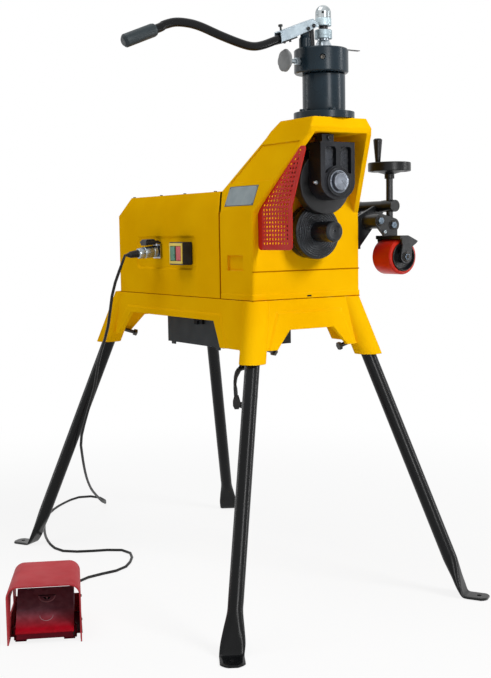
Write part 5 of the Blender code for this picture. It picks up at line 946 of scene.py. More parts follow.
def end_recess(half_widths, top, end, depth):
    wide, narrow = half_widths
    outline = [(-wide, SKIRT_FOOT), (-narrow, top), (narrow, top), (wide, SKIRT_FOOT)]
    high, low = (BASE_TOP_FRONT, BASE_FOOT_FRONT) if end < 0 else (BASE_TOP_REAR, BASE_FOOT_REAR)
    rings = []
    for inset in (depth, -OVERRUN):
        ring = []
        for x, height in outline:
            wall = between(high, low, skirt_share(height))
            ring.append(Vector((x, wall - end * inset, height)))
        rings.append(ring)
    return solid("recess", skin(rings))


ELECTRICS_FRONT = -0.147
ELECTRICS_REAR = 0.1235
ELECTRICS_HALF_WIDTH = 0.100
ELECTRICS_DROP = 0.1105
ELECTRICS_FOOT = DECK_TOP - DECK_THICKNESS - ELECTRICS_DROP


def electrics_box():
    """A sheet steel tray for the contactor, closed above by the deck."""
    top = DECK_TOP - DECK_THICKNESS - GAP
    low = (-ELECTRICS_HALF_WIDTH, ELECTRICS_FRONT, ELECTRICS_FOOT)
    high = (ELECTRICS_HALF_WIDTH, ELECTRICS_REAR, top)
    box = block("electrics_box", low, high)
    inside = ELECTRICS_HALF_WIDTH - SHEET
    hollow = block("hollow", (-inside, ELECTRICS_FRONT + SHEET, ELECTRICS_FOOT + SHEET),
                   (inside, ELECTRICS_REAR - SHEET, top + OVERRUN))
    cut(box, hollow)
    tab_length = 0.018
    tab_drop = 0.006
    for y in (ELECTRICS_FRONT + tab_length, ELECTRICS_REAR - 2 * tab_length):
        tab = block("tab", (-ELECTRICS_HALF_WIDTH, y, ELECTRICS_FOOT - tab_drop),
                    (-ELECTRICS_HALF_WIDTH + SHEET * 2, y + tab_length, ELECTRICS_FOOT + SHEET / 2))
        weld(box, tab)
    gland_hole = 0.0085
    x, y = GLAND_X, GLAND_Y
    cut(box, rod("hole", (x, y, ELECTRICS_FOOT - OVERRUN), (x, y, ELECTRICS_FOOT + OVERRUN),
                 gland_hole, sides=SMALL_ROUND))
    return box


# Head
def wall_half_width(height):
    share = max(0, (height - FOLD) / (WALL_TOP - FOLD))
    return between(HOUSING_HALF_WIDTH, WALL_TOP_HALF_WIDTH, share)


def wall_front(height):
    share = (height - FOLD) / (WALL_TOP - FOLD)
    return between(HEAD_FRONT, WALL_TOP_FRONT, share)


def head_rear(height):
    """The rear of the head: upright, leaning back along the cover's rim, then the slope."""
    roof_rear = HEAD_FRONT
    if height <= COVER_FOLD:
        return SEAM
    if height <= COVER_TOP:
        return between(SEAM, COVER_TOP_FRONT - GAP, (height - COVER_FOLD) / (COVER_TOP - COVER_FOLD))
    return between(COVER_TOP_FRONT - GAP, roof_rear, (height - COVER_TOP) / (HEAD_TOP - COVER_TOP))


def head_casting():
    """The cast head: a hollow body below, leaning cheeks and a roof that make the throat."""
    foot = DECK_TOP + GAP
    stations = [
        (foot, HOUSING_HALF_WIDTH, HEAD_FRONT),
        (FOLD, HOUSING_HALF_WIDTH, HEAD_FRONT),
        (COVER_FOLD, wall_half_width(COVER_FOLD), wall_front(COVER_FOLD)),
        (COVER_TOP, wall_half_width(COVER_TOP), wall_front(COVER_TOP)),
        (WALL_TOP, WALL_TOP_HALF_WIDTH, WALL_TOP_FRONT),
        (BROW, BROW_HALF_WIDTH, BROW_FRONT),
        (HEAD_TOP, ROOF_HALF_WIDTH, WALL_TOP_FRONT),
    ]
    rings = []
    for height, half_width, front in stations:
        rings.append(cornered(half_width, front, head_rear(height), height, HOUSING_CORNER))
    head = solid("head_casting", skin(rings))
    cut(head, throat(), gear_room())
    wall_bore = BEARING_RADIUS + GAP
    cut(head, rod("bore", (0, HEAD_FRONT - OVERRUN, DRIVE_HEIGHT),
                  (0, HEAD_FRONT + HEAD_WALL + OVERRUN, DRIVE_HEIGHT), wall_bore))
    cut(head, rod("ram_hole", (0, PUMP_Y, ROOF_UNDERSIDE - OVERRUN), (0, PUMP_Y, HEAD_TOP + OVERRUN),
                  RAM_RADIUS + 2 * GAP))
    cut(head, side_pocket(), cheek_panel(-1), cheek_panel(1))
    step_height = 0.7827
    groove = 0.0015
    cut(head, block("groove", (-HOUSING_HALF_WIDTH - OVERRUN, HEAD_FRONT - OVERRUN, step_height),
                    (HOUSING_HALF_WIDTH + OVERRUN, HEAD_FRONT + groove, step_height + groove)))
    return head


def throat():
    """The space between the cheeks in front of the head's face."""
    below = FOLD - OVERRUN
    mouth = BROW_FRONT - OVERRUN
    heights = (below, FOLD, ROOF_UNDERSIDE)
    rings = []
    for height in heights:
        half_width = wall_half_width(height) - HEAD_WALL
        rings.append([Vector((x, y, height)) for x, y in (
            (-half_width, mouth), (half_width, mouth), (half_width, HEAD_FRONT),
            (-half_width, HEAD_FRONT))])
    return solid("throat", skin(rings))


def gear_room():
    """The hollow behind the head's face, open to the rear for the gears."""
    half_width = HOUSING_HALF_WIDTH - HEAD_WALL
    floor = DECK_TOP + GAP + HEAD_WALL
    front = HEAD_FRONT + HEAD_WALL
    ceiling = COVER_TOP - HEAD_WALL
    top_half_width = wall_half_width(ceiling) - HEAD_WALL
    rear = COVER_TOP_FRONT + OVERRUN
    rings = []
    for height, half in ((floor, half_width), (FOLD, half_width), (ceiling, top_half_width)):
        rings.append([Vector((x, y, height)) for x, y in (
            (-half, front), (half, front), (half, rear), (-half, rear))])
    return solid("room", skin(rings))


def side_pocket():
    pocket_front = -0.317
    pocket_rear = -0.252
    pocket_foot = 0.7855
    pocket_top = 0.820
    depth = 0.006
    return block("pocket", (-HOUSING_HALF_WIDTH - OVERRUN, pocket_front, pocket_foot),
                 (-HOUSING_HALF_WIDTH + depth, pocket_rear, pocket_top))


def cheek_panel(side):
    """The shallow field between the crease and the upper ledge on each cheek."""
    foot = 0.9836
    top = 1.065
    rim = 0.012
    depth = 0.0025
    rings = []
    for inset in (depth, -OVERRUN):
        ring = []
        for y, height in ((wall_front(foot) + rim, foot), (wall_front(top) + rim, top),
                          (head_rear(top) - rim, top), (head_rear(foot) - rim, foot)):
            ring.append(Vector((side * (wall_half_width(height) - inset), y, height)))
        rings.append(ring)
    return solid("panel", skin(rings))


def socket_hole():
    return rod("hole", (-HOUSING_HALF_WIDTH - OVERRUN, SOCKET_Y, SOCKET_Z),
               (-HOUSING_HALF_WIDTH + OVERRUN, SOCKET_Y, SOCKET_Z), SOCKET_BODY_RADIUS + GAP)


# Drive
BEARING_RADIUS = 0.028


def ring_stations(near, far, outer, inner):
    return [(near, inner), (near, outer), (far, outer), (far, inner)]


# Slider with the upper roll
SLIDER_REAR = HEAD_FRONT - GAP
ARM_FOOT = 0.950
SLIDER_ROOM = 0.0015


PIN_SHOULDER = 0.006
BUSH_RADIUS = 0.0248


def upper_roll():
    chamfer = 0.002
    bore = PIN_RADIUS + GAP
    stations = [
        (UPPER_ROLL_FRONT, bore),
        (UPPER_ROLL_FRONT, UPPER_ROLL_RADIUS - chamfer),
        (UPPER_ROLL_FRONT + chamfer, UPPER_ROLL_RADIUS),
        (UPPER_ROLL_REAR - chamfer, UPPER_ROLL_RADIUS),
        (UPPER_ROLL_REAR, UPPER_ROLL_RADIUS - chamfer),
        (UPPER_ROLL_REAR, bore),
    ]
    roll = turned("upper_roll", stations, (0, 0, UPPER_ROLL_HEIGHT), ALONG["Y"],
                  closed=True)
    return roll


# Hydraulic pump
def jack_flange():
    near = HEAD_TOP + GAP
    inner = RAM_RADIUS + 2 * GAP
    stations = ring_stations(near, FLANGE_TOP, FLANGE_RADIUS, inner)
    return turned("jack_flange", stations, (0, PUMP_Y, 0), ALONG["Z"], closed=True)


CYLINDER_BORE = 0.035


def jack_cylinder():
    near = FLANGE_TOP + GAP
    chamfer = 0.002
    crown = 0.014
    stations = [
        (near, CYLINDER_BORE),
        (near, CYLINDER_RADIUS),
        (CYLINDER_TOP - chamfer, CYLINDER_RADIUS),
        (CYLINDER_TOP, CYLINDER_RADIUS - chamfer),
        (CYLINDER_TOP, 0),
        (CYLINDER_TOP - crown, 0),
        (CYLINDER_TOP - crown, CYLINDER_BORE),
    ]
    order = [stations[5], stations[6], stations[0], stations[1], stations[2], stations[3],
             stations[4]]
    return turned("jack_cylinder", order, (0, PUMP_Y, 0), ALONG["Z"])


PLUNGER_RADIUS = 0.0125
PLUNGER_FOOT = 1.2435


def pump_collar():
    near = CYLINDER_TOP + GAP
    chamfer = 0.003
    stations = [(near, 0), (near, COLLAR_RADIUS - chamfer), (near + chamfer, COLLAR_RADIUS),
                (COLLAR_TOP - chamfer, COLLAR_RADIUS), (COLLAR_TOP, COLLAR_RADIUS - chamfer),
                (COLLAR_TOP, 0)]
    collar = turned("pump_collar", stations, (COLLAR_X, PUMP_Y, 0), ALONG["Z"], 32)
    cut(collar, rod("bore", (PLUNGER_X, PUMP_Y, PLUNGER_FOOT - GAP),
                    (PLUNGER_X, PUMP_Y, COLLAR_TOP + OVERRUN), PLUNGER_RADIUS + GAP))
    valve_depth = 0.004
    surface = COLLAR_X - COLLAR_RADIUS
    cut(collar, rod("valve", (surface - OVERRUN, PUMP_Y, KNOB_Z),
                    (surface + valve_depth, PUMP_Y, KNOB_Z), KNOB_STEM_RADIUS + GAP,
                    sides=SMALL_ROUND))
    return collar


KNOB_STEM_RADIUS = 0.005


CAP_FOOT = 1.3170


def pointer():
    """The thin blade on the collar's rim that shows the ram's place."""
    inner = 0.030
    seat = 0.044
    outer = 0.0992
    half_width = 0.005
    thickness = 0.0015
    foot = COLLAR_TOP + GAP
    rise = 0.0050
    outline = [(inner, foot), (seat, foot), (seat, foot + rise - thickness),
               (outer, foot + rise - thickness), (outer, foot + rise), (inner, foot + rise)]
    return prism("pointer", outline, "Y", PUMP_Y - half_width, PUMP_Y + half_width)


LEVER_PIN_RADIUS = 0.003
CHANNEL_HALF_WIDTH = 0.0128
CHANNEL_WALL = 0.002
TONGUE_HALF_WIDTH = 0.005


def pump_plunger():
    """The small pump piston, with a slotted tongue for the lever's pin."""
    shoulder = 1.2855
    crown = 0.0075
    stations = [(PLUNGER_FOOT, 0), (PLUNGER_FOOT, PLUNGER_RADIUS), (shoulder, PLUNGER_RADIUS),
                (shoulder + crown / 2, PLUNGER_RADIUS * 5 / 6),
                (shoulder + crown, PLUNGER_RADIUS / 2), (shoulder + crown, 0)]
    plunger = turned("pump_plunger", stations, (PLUNGER_X, PUMP_Y, 0), ALONG["Z"],
                     20)
    tongue_half_length = 0.008
    tongue_top = PLUNGER_PIN_Z + 2 * LEVER_PIN_RADIUS
    tongue = block("tongue", (PLUNGER_X - tongue_half_length, PUMP_Y - TONGUE_HALF_WIDTH, shoulder),
                   (PLUNGER_X + tongue_half_length, PUMP_Y + TONGUE_HALF_WIDTH, tongue_top))
    weld(plunger, tongue)
    length_room = 0.0022
    height_room = 0.0006
    slot_half_length = LEVER_PIN_RADIUS + length_room
    slot_half_height = LEVER_PIN_RADIUS + height_room
    slot = block("slot", (PLUNGER_X - slot_half_length, PUMP_Y - OVERRUN,
                          PLUNGER_PIN_Z - slot_half_height),
                 (PLUNGER_X + slot_half_length, PUMP_Y + OVERRUN, PLUNGER_PIN_Z + slot_half_height))
    cut(plunger, slot)
    return plunger


def fulcrum_link():
    """The tongue that stands on the collar inside the channel and holds the fulcrum pin."""
    half_thickness = 0.0045
    head = 0.003
    eye_radius = 0.006
    foot_rear = -0.0372
    foot_near = -0.0262
    foot = COLLAR_TOP + GAP
    reach = CHANNEL_HALF_WIDTH + GAP + head
    link = rod("fulcrum_link", (FULCRUM_X, PUMP_Y - reach, FULCRUM_Z),
               (FULCRUM_X, PUMP_Y + reach, FULCRUM_Z), LEVER_PIN_RADIUS, SMALL_ROUND)
    waist = FULCRUM_Z - 2 * eye_radius
    outline = ([(foot_rear, waist), (foot_rear, foot), (foot_near, foot)]
               + arc((FULCRUM_X, FULCRUM_Z), eye_radius, 0, 180, 8))
    weld(link, prism("tongue", outline, "Y", PUMP_Y - half_thickness, PUMP_Y + half_thickness))
    return link


def lever_channel():
    """The bent channel between the fulcrum, the plunger and the handle tube."""
    ear = 0.0046
    end_x = -0.0262
    end_z = 1.3156
    top_start = (-0.0375, 1.3280)
    top_end = (-0.1218, 1.2955)
    foot_end = (-0.1205, 1.2690)
    foot_start = (end_x, end_z - ear)
    outline = arc((end_x, end_z), ear, -90, 90, 4) + [top_start, top_end, foot_end]
    channel = prism("lever_channel", outline, "Y", PUMP_Y - CHANNEL_HALF_WIDTH,
                    PUMP_Y + CHANNEL_HALF_WIDTH)
    inside = CHANNEL_HALF_WIDTH - CHANNEL_WALL
    run = Vector(top_end) - Vector(top_start)
    below = Vector((run.y, -run.x)).normalized()
    if below.y > 0:
        below = -below
    beyond = run.normalized() * OVERRUN
    outline = [Vector(top_start) + below * CHANNEL_WALL - beyond / 2,
               Vector(top_end) + below * CHANNEL_WALL + beyond,
               Vector(foot_end) + below * OVERRUN + beyond,
               Vector(foot_start) + below * OVERRUN - beyond]
    cut(channel, prism("hollow", outline, "Y", PUMP_Y - inside, PUMP_Y + inside))
    cut(channel, rod("hole", (FULCRUM_X, PUMP_Y - OVERRUN, FULCRUM_Z),
                     (FULCRUM_X, PUMP_Y + OVERRUN, FULCRUM_Z), LEVER_PIN_RADIUS + GAP,
                     sides=SMALL_ROUND))
    pin = rod("pin", (PLUNGER_X, PUMP_Y - CHANNEL_HALF_WIDTH + GAP, PLUNGER_PIN_Z),
              (PLUNGER_X, PUMP_Y + CHANNEL_HALF_WIDTH - GAP, PLUNGER_PIN_Z), LEVER_PIN_RADIUS,
              sides=8)
    weld(channel, pin)
    return channel


HANDLE_ROUTE = [
    (-0.088, 1.2925), (-0.122, 1.2788), (-0.1628, 1.2636), (-0.1907, 1.2596), (-0.2231, 1.2647),
    (-0.2683, 1.2761), (-0.3124, 1.2890), (-0.3429, 1.2937), (-0.3731, 1.2928), (-0.3985, 1.2851),
    (-0.4091, 1.2789),
]
GRIP_START = (-0.4091, 1.2789)
GRIP_END = (-0.4909, 1.2454)


def handle_grip():
    start = Vector((GRIP_START[0], PUMP_Y, GRIP_START[1]))
    end = Vector((GRIP_END[0], PUMP_Y, GRIP_END[1]))
    run = end - start
    radius = 0.0135
    lip = 0.012
    rounding = 0.005
    bore = TUBE_RADIUS + GAP
    depth = run.length * 0.8 + 2 * GAP
    stations = [(depth, 0), (depth, bore), (lip, bore), (lip, radius - rounding / 4),
                (lip + rounding, radius), (run.length - rounding, radius),
                (run.length, radius - rounding), (run.length, 0)]
    grip = turned("handle_grip", stations, start, run, 16)
    return grip


# Pipe steady
NUT_Z = 0.9277
NUT_RADIUS = 0.014
NUT_FRONT = -0.410
RIB_FRONT = -0.352
RIB_THICKNESS = 0.008
SWING_RADIUS = 0.017


def steady_bracket():
    """The bracket on the head's right face with the swing tube and the screw's nut."""
    face = HOUSING_HALF_WIDTH + GAP
    plate = 0.006
    plate_rear = -0.262
    plate_foot = 0.828
    plate_top = 0.905
    bracket = block("steady_bracket", (face, RIB_FRONT, plate_foot),
                    (face + plate, plate_rear, plate_top))
    rib_outline = [(face, plate_foot), (face, plate_top), (SCREW_X + NUT_RADIUS, NUT_Z + NUT_RADIUS),
                   (SCREW_X + NUT_RADIUS, NUT_Z - NUT_RADIUS), (SWING_X + SWING_RADIUS, SWING_Z
                                                                - SWING_RADIUS)]
    rib = prism("rib", rib_outline, "Y", RIB_FRONT, RIB_FRONT + RIB_THICKNESS)
    swing = rod("swing", (SWING_X, LINK_FRONT + LINK_THICKNESS + GAP, SWING_Z),
                (SWING_X, RIB_FRONT + RIB_THICKNESS / 2, SWING_Z), SWING_RADIUS, sides=20)
    nut_length = 0.038
    tail_radius = 0.0125
    nut = rod("nut", (SCREW_X, NUT_FRONT, NUT_Z), (SCREW_X, NUT_FRONT + nut_length, NUT_Z),
              NUT_RADIUS, sides=20)
    tail = rod("tail", (SCREW_X, NUT_FRONT + nut_length - GAP, NUT_Z),
               (SCREW_X, plate_rear - RIB_THICKNESS / 2, NUT_Z), tail_radius, sides=20)
    rear_rib = prism("rear_rib", rib_outline, "Y", plate_rear - RIB_THICKNESS, plate_rear)
    weld(bracket, rib, rear_rib, swing, nut, tail)
    cut(bracket, rod("thread", (SCREW_X, SCREW_Y, NUT_Z - OVERRUN), (SCREW_X, SCREW_Y,
                                                                     NUT_Z + OVERRUN),
                     SCREW_RADIUS + GAP, sides=16))
    cut(bracket, rod("pivot_hole", (SWING_X, LINK_FRONT - OVERRUN, SWING_Z),
                     (SWING_X, RIB_FRONT - RIB_THICKNESS, SWING_Z), STUB_RADIUS + GAP, sides=16))
    return bracket


STUB_RADIUS = 0.008
LINK_PIN_RADIUS = 0.006
CLEVIS_RADIUS = 0.0135
CLEVIS_LENGTH = 0.020
AXLE_RADIUS = 0.005
FORK_PLATE = 0.006
ROLLER_ROOM = 0.003


def steady_fork():
    """The swinging link with the fork that holds the roller under a bent guard plate."""
    swing_lobe = 0.0175
    link_lobe = 0.0155
    low_lobe = 0.009
    low_x = 0.190
    low_z = 0.8665
    link_outline = (arc((SWING_X, SWING_Z), swing_lobe, 75, 215, 8)
                    + arc((low_x, low_z), low_lobe, 215, 300, 4)
                    + arc((LINK_X, LINK_Z), link_lobe, -60, 75, 8))
    fork = prism("steady_fork", link_outline, "Y", LINK_FRONT, LINK_FRONT + LINK_THICKNESS)
    front = ROLLER_FRONT - ROLLER_ROOM - FORK_PLATE
    rear = ROLLER_REAR + ROLLER_ROOM + FORK_PLATE
    guard_rise = 0.0495
    lip_rise = 0.0410
    lip_near_reach = 0.0185
    lip_far_reach = 0.0155
    bend_reach = 0.006
    guard_top = ROLLER_Z + guard_rise
    guard_foot = ROLLER_Z + ROLLER_RADIUS + ROLLER_ROOM
    lip_foot = ROLLER_Z + lip_rise
    lip_near = ROLLER_X - lip_near_reach
    lip_far = ROLLER_X - lip_far_reach
    bend_x = ROLLER_X + bend_reach
    wing_offsets = ((0.0358, 0.0362), (0.0320, 0.0315), (0.0140, 0.0435), (-0.0115, 0.0273),
                    (0.0180, 0.0228))
    tip, tip_foot, under, waist, wing_foot = [(ROLLER_X + across, ROLLER_Z + rise)
                                              for across, rise in wing_offsets]
    band = [(lip_near, lip_foot), (lip_far, lip_foot), (lip_far, guard_foot), (ROLLER_X, guard_foot),
            under, tip_foot, tip, (bend_x, guard_top), (lip_near, guard_top)]
    bridge = prism("bridge", band, "Y", front, rear)
    neck_near = 0.184
    neck_far = 0.226
    neck = block("neck", (neck_near, LINK_FRONT, guard_top - FORK_PLATE / 4),
                 (neck_far, LINK_FRONT + LINK_THICKNESS, LINK_Z))
    weld(fork, bridge, neck)
    boss = 0.0165
    arm_outline = (arc((ROLLER_X, ROLLER_Z), boss, 165, 370, 8)
                   + [wing_foot, tip_foot, tip, (bend_x, guard_top), (lip_far, guard_top), waist])
    for near in (front, rear - FORK_PLATE):
        weld(fork, prism("arm", arm_outline, "Y", near, near + FORK_PLATE))
    stub = rod("stub", (SWING_X, LINK_FRONT + LINK_THICKNESS / 2, SWING_Z),
               (SWING_X, RIB_FRONT - RIB_THICKNESS - GAP, SWING_Z), STUB_RADIUS, sides=16)
    pin = rod("pin", (LINK_X, LINK_FRONT + LINK_THICKNESS / 2, LINK_Z),
              (LINK_X, LINK_FRONT + LINK_THICKNESS + CLEVIS_LENGTH, LINK_Z), LINK_PIN_RADIUS,
              sides=16)
    weld(fork, stub, pin)
    cut(fork, rod("hole", (ROLLER_X, front - OVERRUN, ROLLER_Z), (ROLLER_X, rear + OVERRUN,
                                                                  ROLLER_Z), AXLE_RADIUS + GAP,
                  sides=SMALL_ROUND))
    return fork


HUB_RADIUS = 0.033


def roller_tyre():
    chamfer = 0.004
    near = ROLLER_FRONT + chamfer / 2
    far = ROLLER_REAR - chamfer / 2
    bore = HUB_RADIUS + GAP
    stations = [(near, bore), (near, ROLLER_RADIUS - chamfer), (near + chamfer, ROLLER_RADIUS),
                (far - chamfer, ROLLER_RADIUS), (far, ROLLER_RADIUS - chamfer), (far, bore)]
    tyre = turned("roller_tyre", stations, (ROLLER_X, 0, ROLLER_Z), ALONG["Y"],
                  closed=True)
    return tyre


def screw_clevis():
    """The eye at the screw's foot; its slot lets the link's pin swing."""
    near = LINK_FRONT + LINK_THICKNESS + GAP
    eye = rod("screw_clevis", (SCREW_X, near, LINK_Z), (SCREW_X, near + CLEVIS_LENGTH, LINK_Z),
              CLEVIS_RADIUS, 20)
    swing_room = 0.0035
    slot_half_length = LINK_PIN_RADIUS + swing_room
    slot_half_height = LINK_PIN_RADIUS + 2 * GAP
    slot = block("slot", (LINK_X - slot_half_length, near - OVERRUN, LINK_Z - slot_half_height),
                 (LINK_X + slot_half_length, near + CLEVIS_LENGTH + OVERRUN,
                  LINK_Z + slot_half_height))
    cut(eye, slot)
    flat = CLEVIS_RADIUS - 2 * GAP
    cut(eye, block("flat", (SCREW_X - OVERRUN, near - OVERRUN, LINK_Z + flat),
                   (SCREW_X + OVERRUN, near + CLEVIS_LENGTH + OVERRUN, LINK_Z + OVERRUN)))
    return eye


def steady_screw():
    foot = LINK_Z + CLEVIS_RADIUS - GAP
    top = WHEEL_Z + HUB_HEIGHT - GAP
    screw = rod("steady_screw", (SCREW_X, SCREW_Y, foot), (SCREW_X, SCREW_Y, top), SCREW_RADIUS, 16)
    return screw


HUB_HEIGHT = 0.018
RIM_HEIGHT = 0.0185
RIM_LIFT = 0.012
HUB_DROP = 0.019
WHEEL_WEB = 0.007


def handwheel():
    """A solid wheel with a deep rim; its underside slopes down to the hub."""
    hub_foot = WHEEL_Z - HUB_DROP
    hub_radius = 0.0115
    bore = SCREW_RADIUS + GAP
    slope_drop = 0.0085
    rim_drop = 0.0025
    chamfer = 0.0015
    rim_wall = 0.0065
    slope_foot = WHEEL_Z - slope_drop
    rim_foot = WHEEL_Z - rim_drop
    rim_top = WHEEL_Z + RIM_HEIGHT
    web_top = WHEEL_Z + RIM_LIFT + WHEEL_WEB / 2
    inside = WHEEL_RADIUS - rim_wall
    top = WHEEL_Z + HUB_HEIGHT
    stations = [(hub_foot, bore), (hub_foot, hub_radius), (slope_foot, hub_radius),
                (WHEEL_Z, inside), (rim_foot, inside + chamfer),
                (rim_foot, WHEEL_RADIUS - chamfer), (rim_foot + chamfer, WHEEL_RADIUS),
                (rim_top - chamfer, WHEEL_RADIUS), (rim_top, WHEEL_RADIUS - chamfer),
                (rim_top, inside + chamfer), (web_top, inside), (web_top, hub_radius),
                (top, hub_radius), (top, bore)]
    wheel = turned("handwheel", stations, (SCREW_X, SCREW_Y, 0), ALONG["Z"],
                   closed=True)
    return wheel


def wheel_grip():
    """The turning grip on the handwheel's rim."""
    rim_inset = 0.015
    x = SCREW_X - WHEEL_RADIUS + rim_inset
    foot = WHEEL_Z + RIM_HEIGHT + GAP
    height = 0.054
    foot_radius = 0.006
    top_radius = 0.0105
    rounding = 0.003
    spindle_foot = WHEEL_Z + RIM_LIFT + WHEEL_WEB / 2 + GAP
    stations = [(spindle_foot, 0), (spindle_foot, foot_radius / 2), (foot, foot_radius / 2),
                (foot, foot_radius), (foot + height - rounding, top_radius),
                (foot + height, top_radius - rounding), (foot + height, 0)]
    grip = turned("wheel_grip", stations, (x, SCREW_Y, 0), ALONG["Z"],
                  SMALL_ROUND)
    return grip


# Controls
BUTTON_TRAVEL = 0.004
BUTTON_PROUD = 0.003
BUTTON_WIDTH = 0.022
BUTTON_HEIGHT = 0.034
PANEL_DEPTH = 0.0010
PANEL_X = -HOUSING_HALF_WIDTH + PANEL_DEPTH - GAP


def button_bays():
    """The front and rear edge of each button, the green one at the rear."""
    middle = between(SWITCH_FRONT, SWITCH_REAR, 1 / 2)
    space = 0.003
    return {"stop_button": (middle - space - BUTTON_WIDTH, middle - space),
            "start_button": (middle + space, middle + space + BUTTON_WIDTH)}


def switch_housing():
    housing = block("switch_housing", (CONTROL_X, SWITCH_FRONT, SWITCH_FOOT),
                    (PANEL_X, SWITCH_REAR, SWITCH_TOP))
    depth = BUTTON_TRAVEL * 3
    centre = between(SWITCH_FOOT, SWITCH_TOP, 1 / 2)
    room = BUTTON_HEIGHT / 2 + GAP
    for near, far in button_bays().values():
        bay = block("bay", (CONTROL_X - OVERRUN, near - GAP, centre - room),
                    (CONTROL_X + depth, far + GAP, centre + room))
        cut(housing, bay)
    return housing


def button(name):
    near, far = button_bays()[name]
    centre = between(SWITCH_FOOT, SWITCH_TOP, 1 / 2)
    half = BUTTON_HEIGHT / 2
    back = CONTROL_X + BUTTON_TRAVEL * 2 - GAP
    cap = block(name, (CONTROL_X - BUTTON_PROUD, near, centre - half), (back, far, centre + half))
    return cap


SOCKET_BODY_RADIUS = 0.013
FLANGE_HALF = 0.0185
FLANGE_THICKNESS = 0.004


def panel_socket():
    """The chassis socket: a square flange with a body through the cover."""
    depth = 0.018
    flange = block("panel_socket", (PANEL_X - FLANGE_THICKNESS, SOCKET_Y - FLANGE_HALF,
                                    SOCKET_Z - FLANGE_HALF),
                   (PANEL_X, SOCKET_Y + FLANGE_HALF, SOCKET_Z + FLANGE_HALF))
    body = rod("body", (PANEL_X - FLANGE_THICKNESS / 2, SOCKET_Y, SOCKET_Z),
               (PANEL_X + depth, SOCKET_Y, SOCKET_Z), SOCKET_BODY_RADIUS, sides=20)
    weld(flange, body)
    return flange


def plug_start():
    """Where the drooping plug leaves the socket, clear of its flange."""
    droop_room = 0.0016
    return Vector((PANEL_X - FLANGE_THICKNESS - droop_room, SOCKET_Y, SOCKET_Z))


def socket_lid():
    """The sprung lid of the socket, which lies along the top of the plug."""
    hinge_lift = 0.003
    hinge_z = SOCKET_Z + FLANGE_HALF + hinge_lift
    hinge_x = PANEL_X - FLANGE_THICKNESS / 2
    side_margin = 0.002
    half = FLANGE_HALF - side_margin
    lid = 0.0055
    length = 0.040
    rise = math.radians(-3)
    rod_radius = 0.0022
    heading = Vector((-math.cos(rise), 0, math.sin(rise)))
    across = Vector((math.sin(rise), 0, math.cos(rise)))
    start = Vector((hinge_x, 0, hinge_z))
    heel = 0.005
    corners = [start, start + heading * length, start + heading * length + across * lid,
               start + heading * heel + across * lid]
    outline = [(corner.x, corner.z) for corner in corners]
    flap = prism("socket_lid", outline, "Y", SOCKET_Y - half, SOCKET_Y + half)
    knuckle = rod("knuckle", (hinge_x, SOCKET_Y - half, hinge_z), (hinge_x, SOCKET_Y + half,
                                                                   hinge_z), rod_radius,
                  sides=SMALL_ROUND)
    weld(flap, knuckle)
    return flap


# Foot pedal, drawn in its own frame: X across, Y to the rear, origin at its front middle
TREADLE_HINGE_Y = 0.040
TREADLE_HINGE_Z = 0.020
TREADLE_HALF_WIDTH = 0.062
LUG_THICKNESS = 0.004
PEDAL_PIN_RADIUS = 0.003


def pedal_base():
    lug_room = 0.0015
    inside = TREADLE_HALF_WIDTH + lug_room + LUG_THICKNESS
    plate = PLATE_THICKNESS
    front = 0.031
    step = 0.052
    corners = [(-inside, front), (inside, front), (inside, step), (HOOD_HALF_WIDTH, step),
               (HOOD_REAR_HALF_WIDTH, HOOD_DEPTH), (-HOOD_REAR_HALF_WIDTH, HOOD_DEPTH),
               (-HOOD_HALF_WIDTH, step), (-inside, step)]
    base = prism("pedal_base", corners, "Z", 0, plate)
    tab_half = 0.012
    tab_reach = 0.009
    tab_x = 0.052
    for side in SIDES.values():
        tab = block("tab", (side * tab_x - tab_half, front - tab_reach, 0),
                    (side * tab_x + tab_half, front + tab_reach, plate))
        weld(base, tab)
    lug_half = 0.008
    lug_top = TREADLE_HINGE_Z + lug_half
    for side in SIDES.values():
        edges = sorted((side * inside, side * (inside - LUG_THICKNESS)))
        lug = block("lug", (edges[0], TREADLE_HINGE_Y - lug_half, plate / 2),
                    (edges[1], TREADLE_HINGE_Y + lug_half, lug_top))
        weld(base, lug)
    weld(base, rod("pin", (GAP - inside, TREADLE_HINGE_Y, TREADLE_HINGE_Z),
                   (inside - GAP, TREADLE_HINGE_Y, TREADLE_HINGE_Z), PEDAL_PIN_RADIUS,
                   sides=SMALL_ROUND))
    return base


def hood_ring(place, half_width, inset):
    """The hood's section: upright sides and a crown with round corners."""
    half = half_width - inset
    top = HOOD_HEIGHT - inset
    radius = HOOD_CORNER - inset
    foot = PLATE_THICKNESS + GAP - inset * 4
    outline = ([(half, foot)] + arc((half - radius, top - radius), radius, 0, 90, 5)
               + arc((radius - half, top - radius), radius, 90, 180, 5) + [(-half, foot)])
    return [Vector((x, place, z)) for x, z in outline]


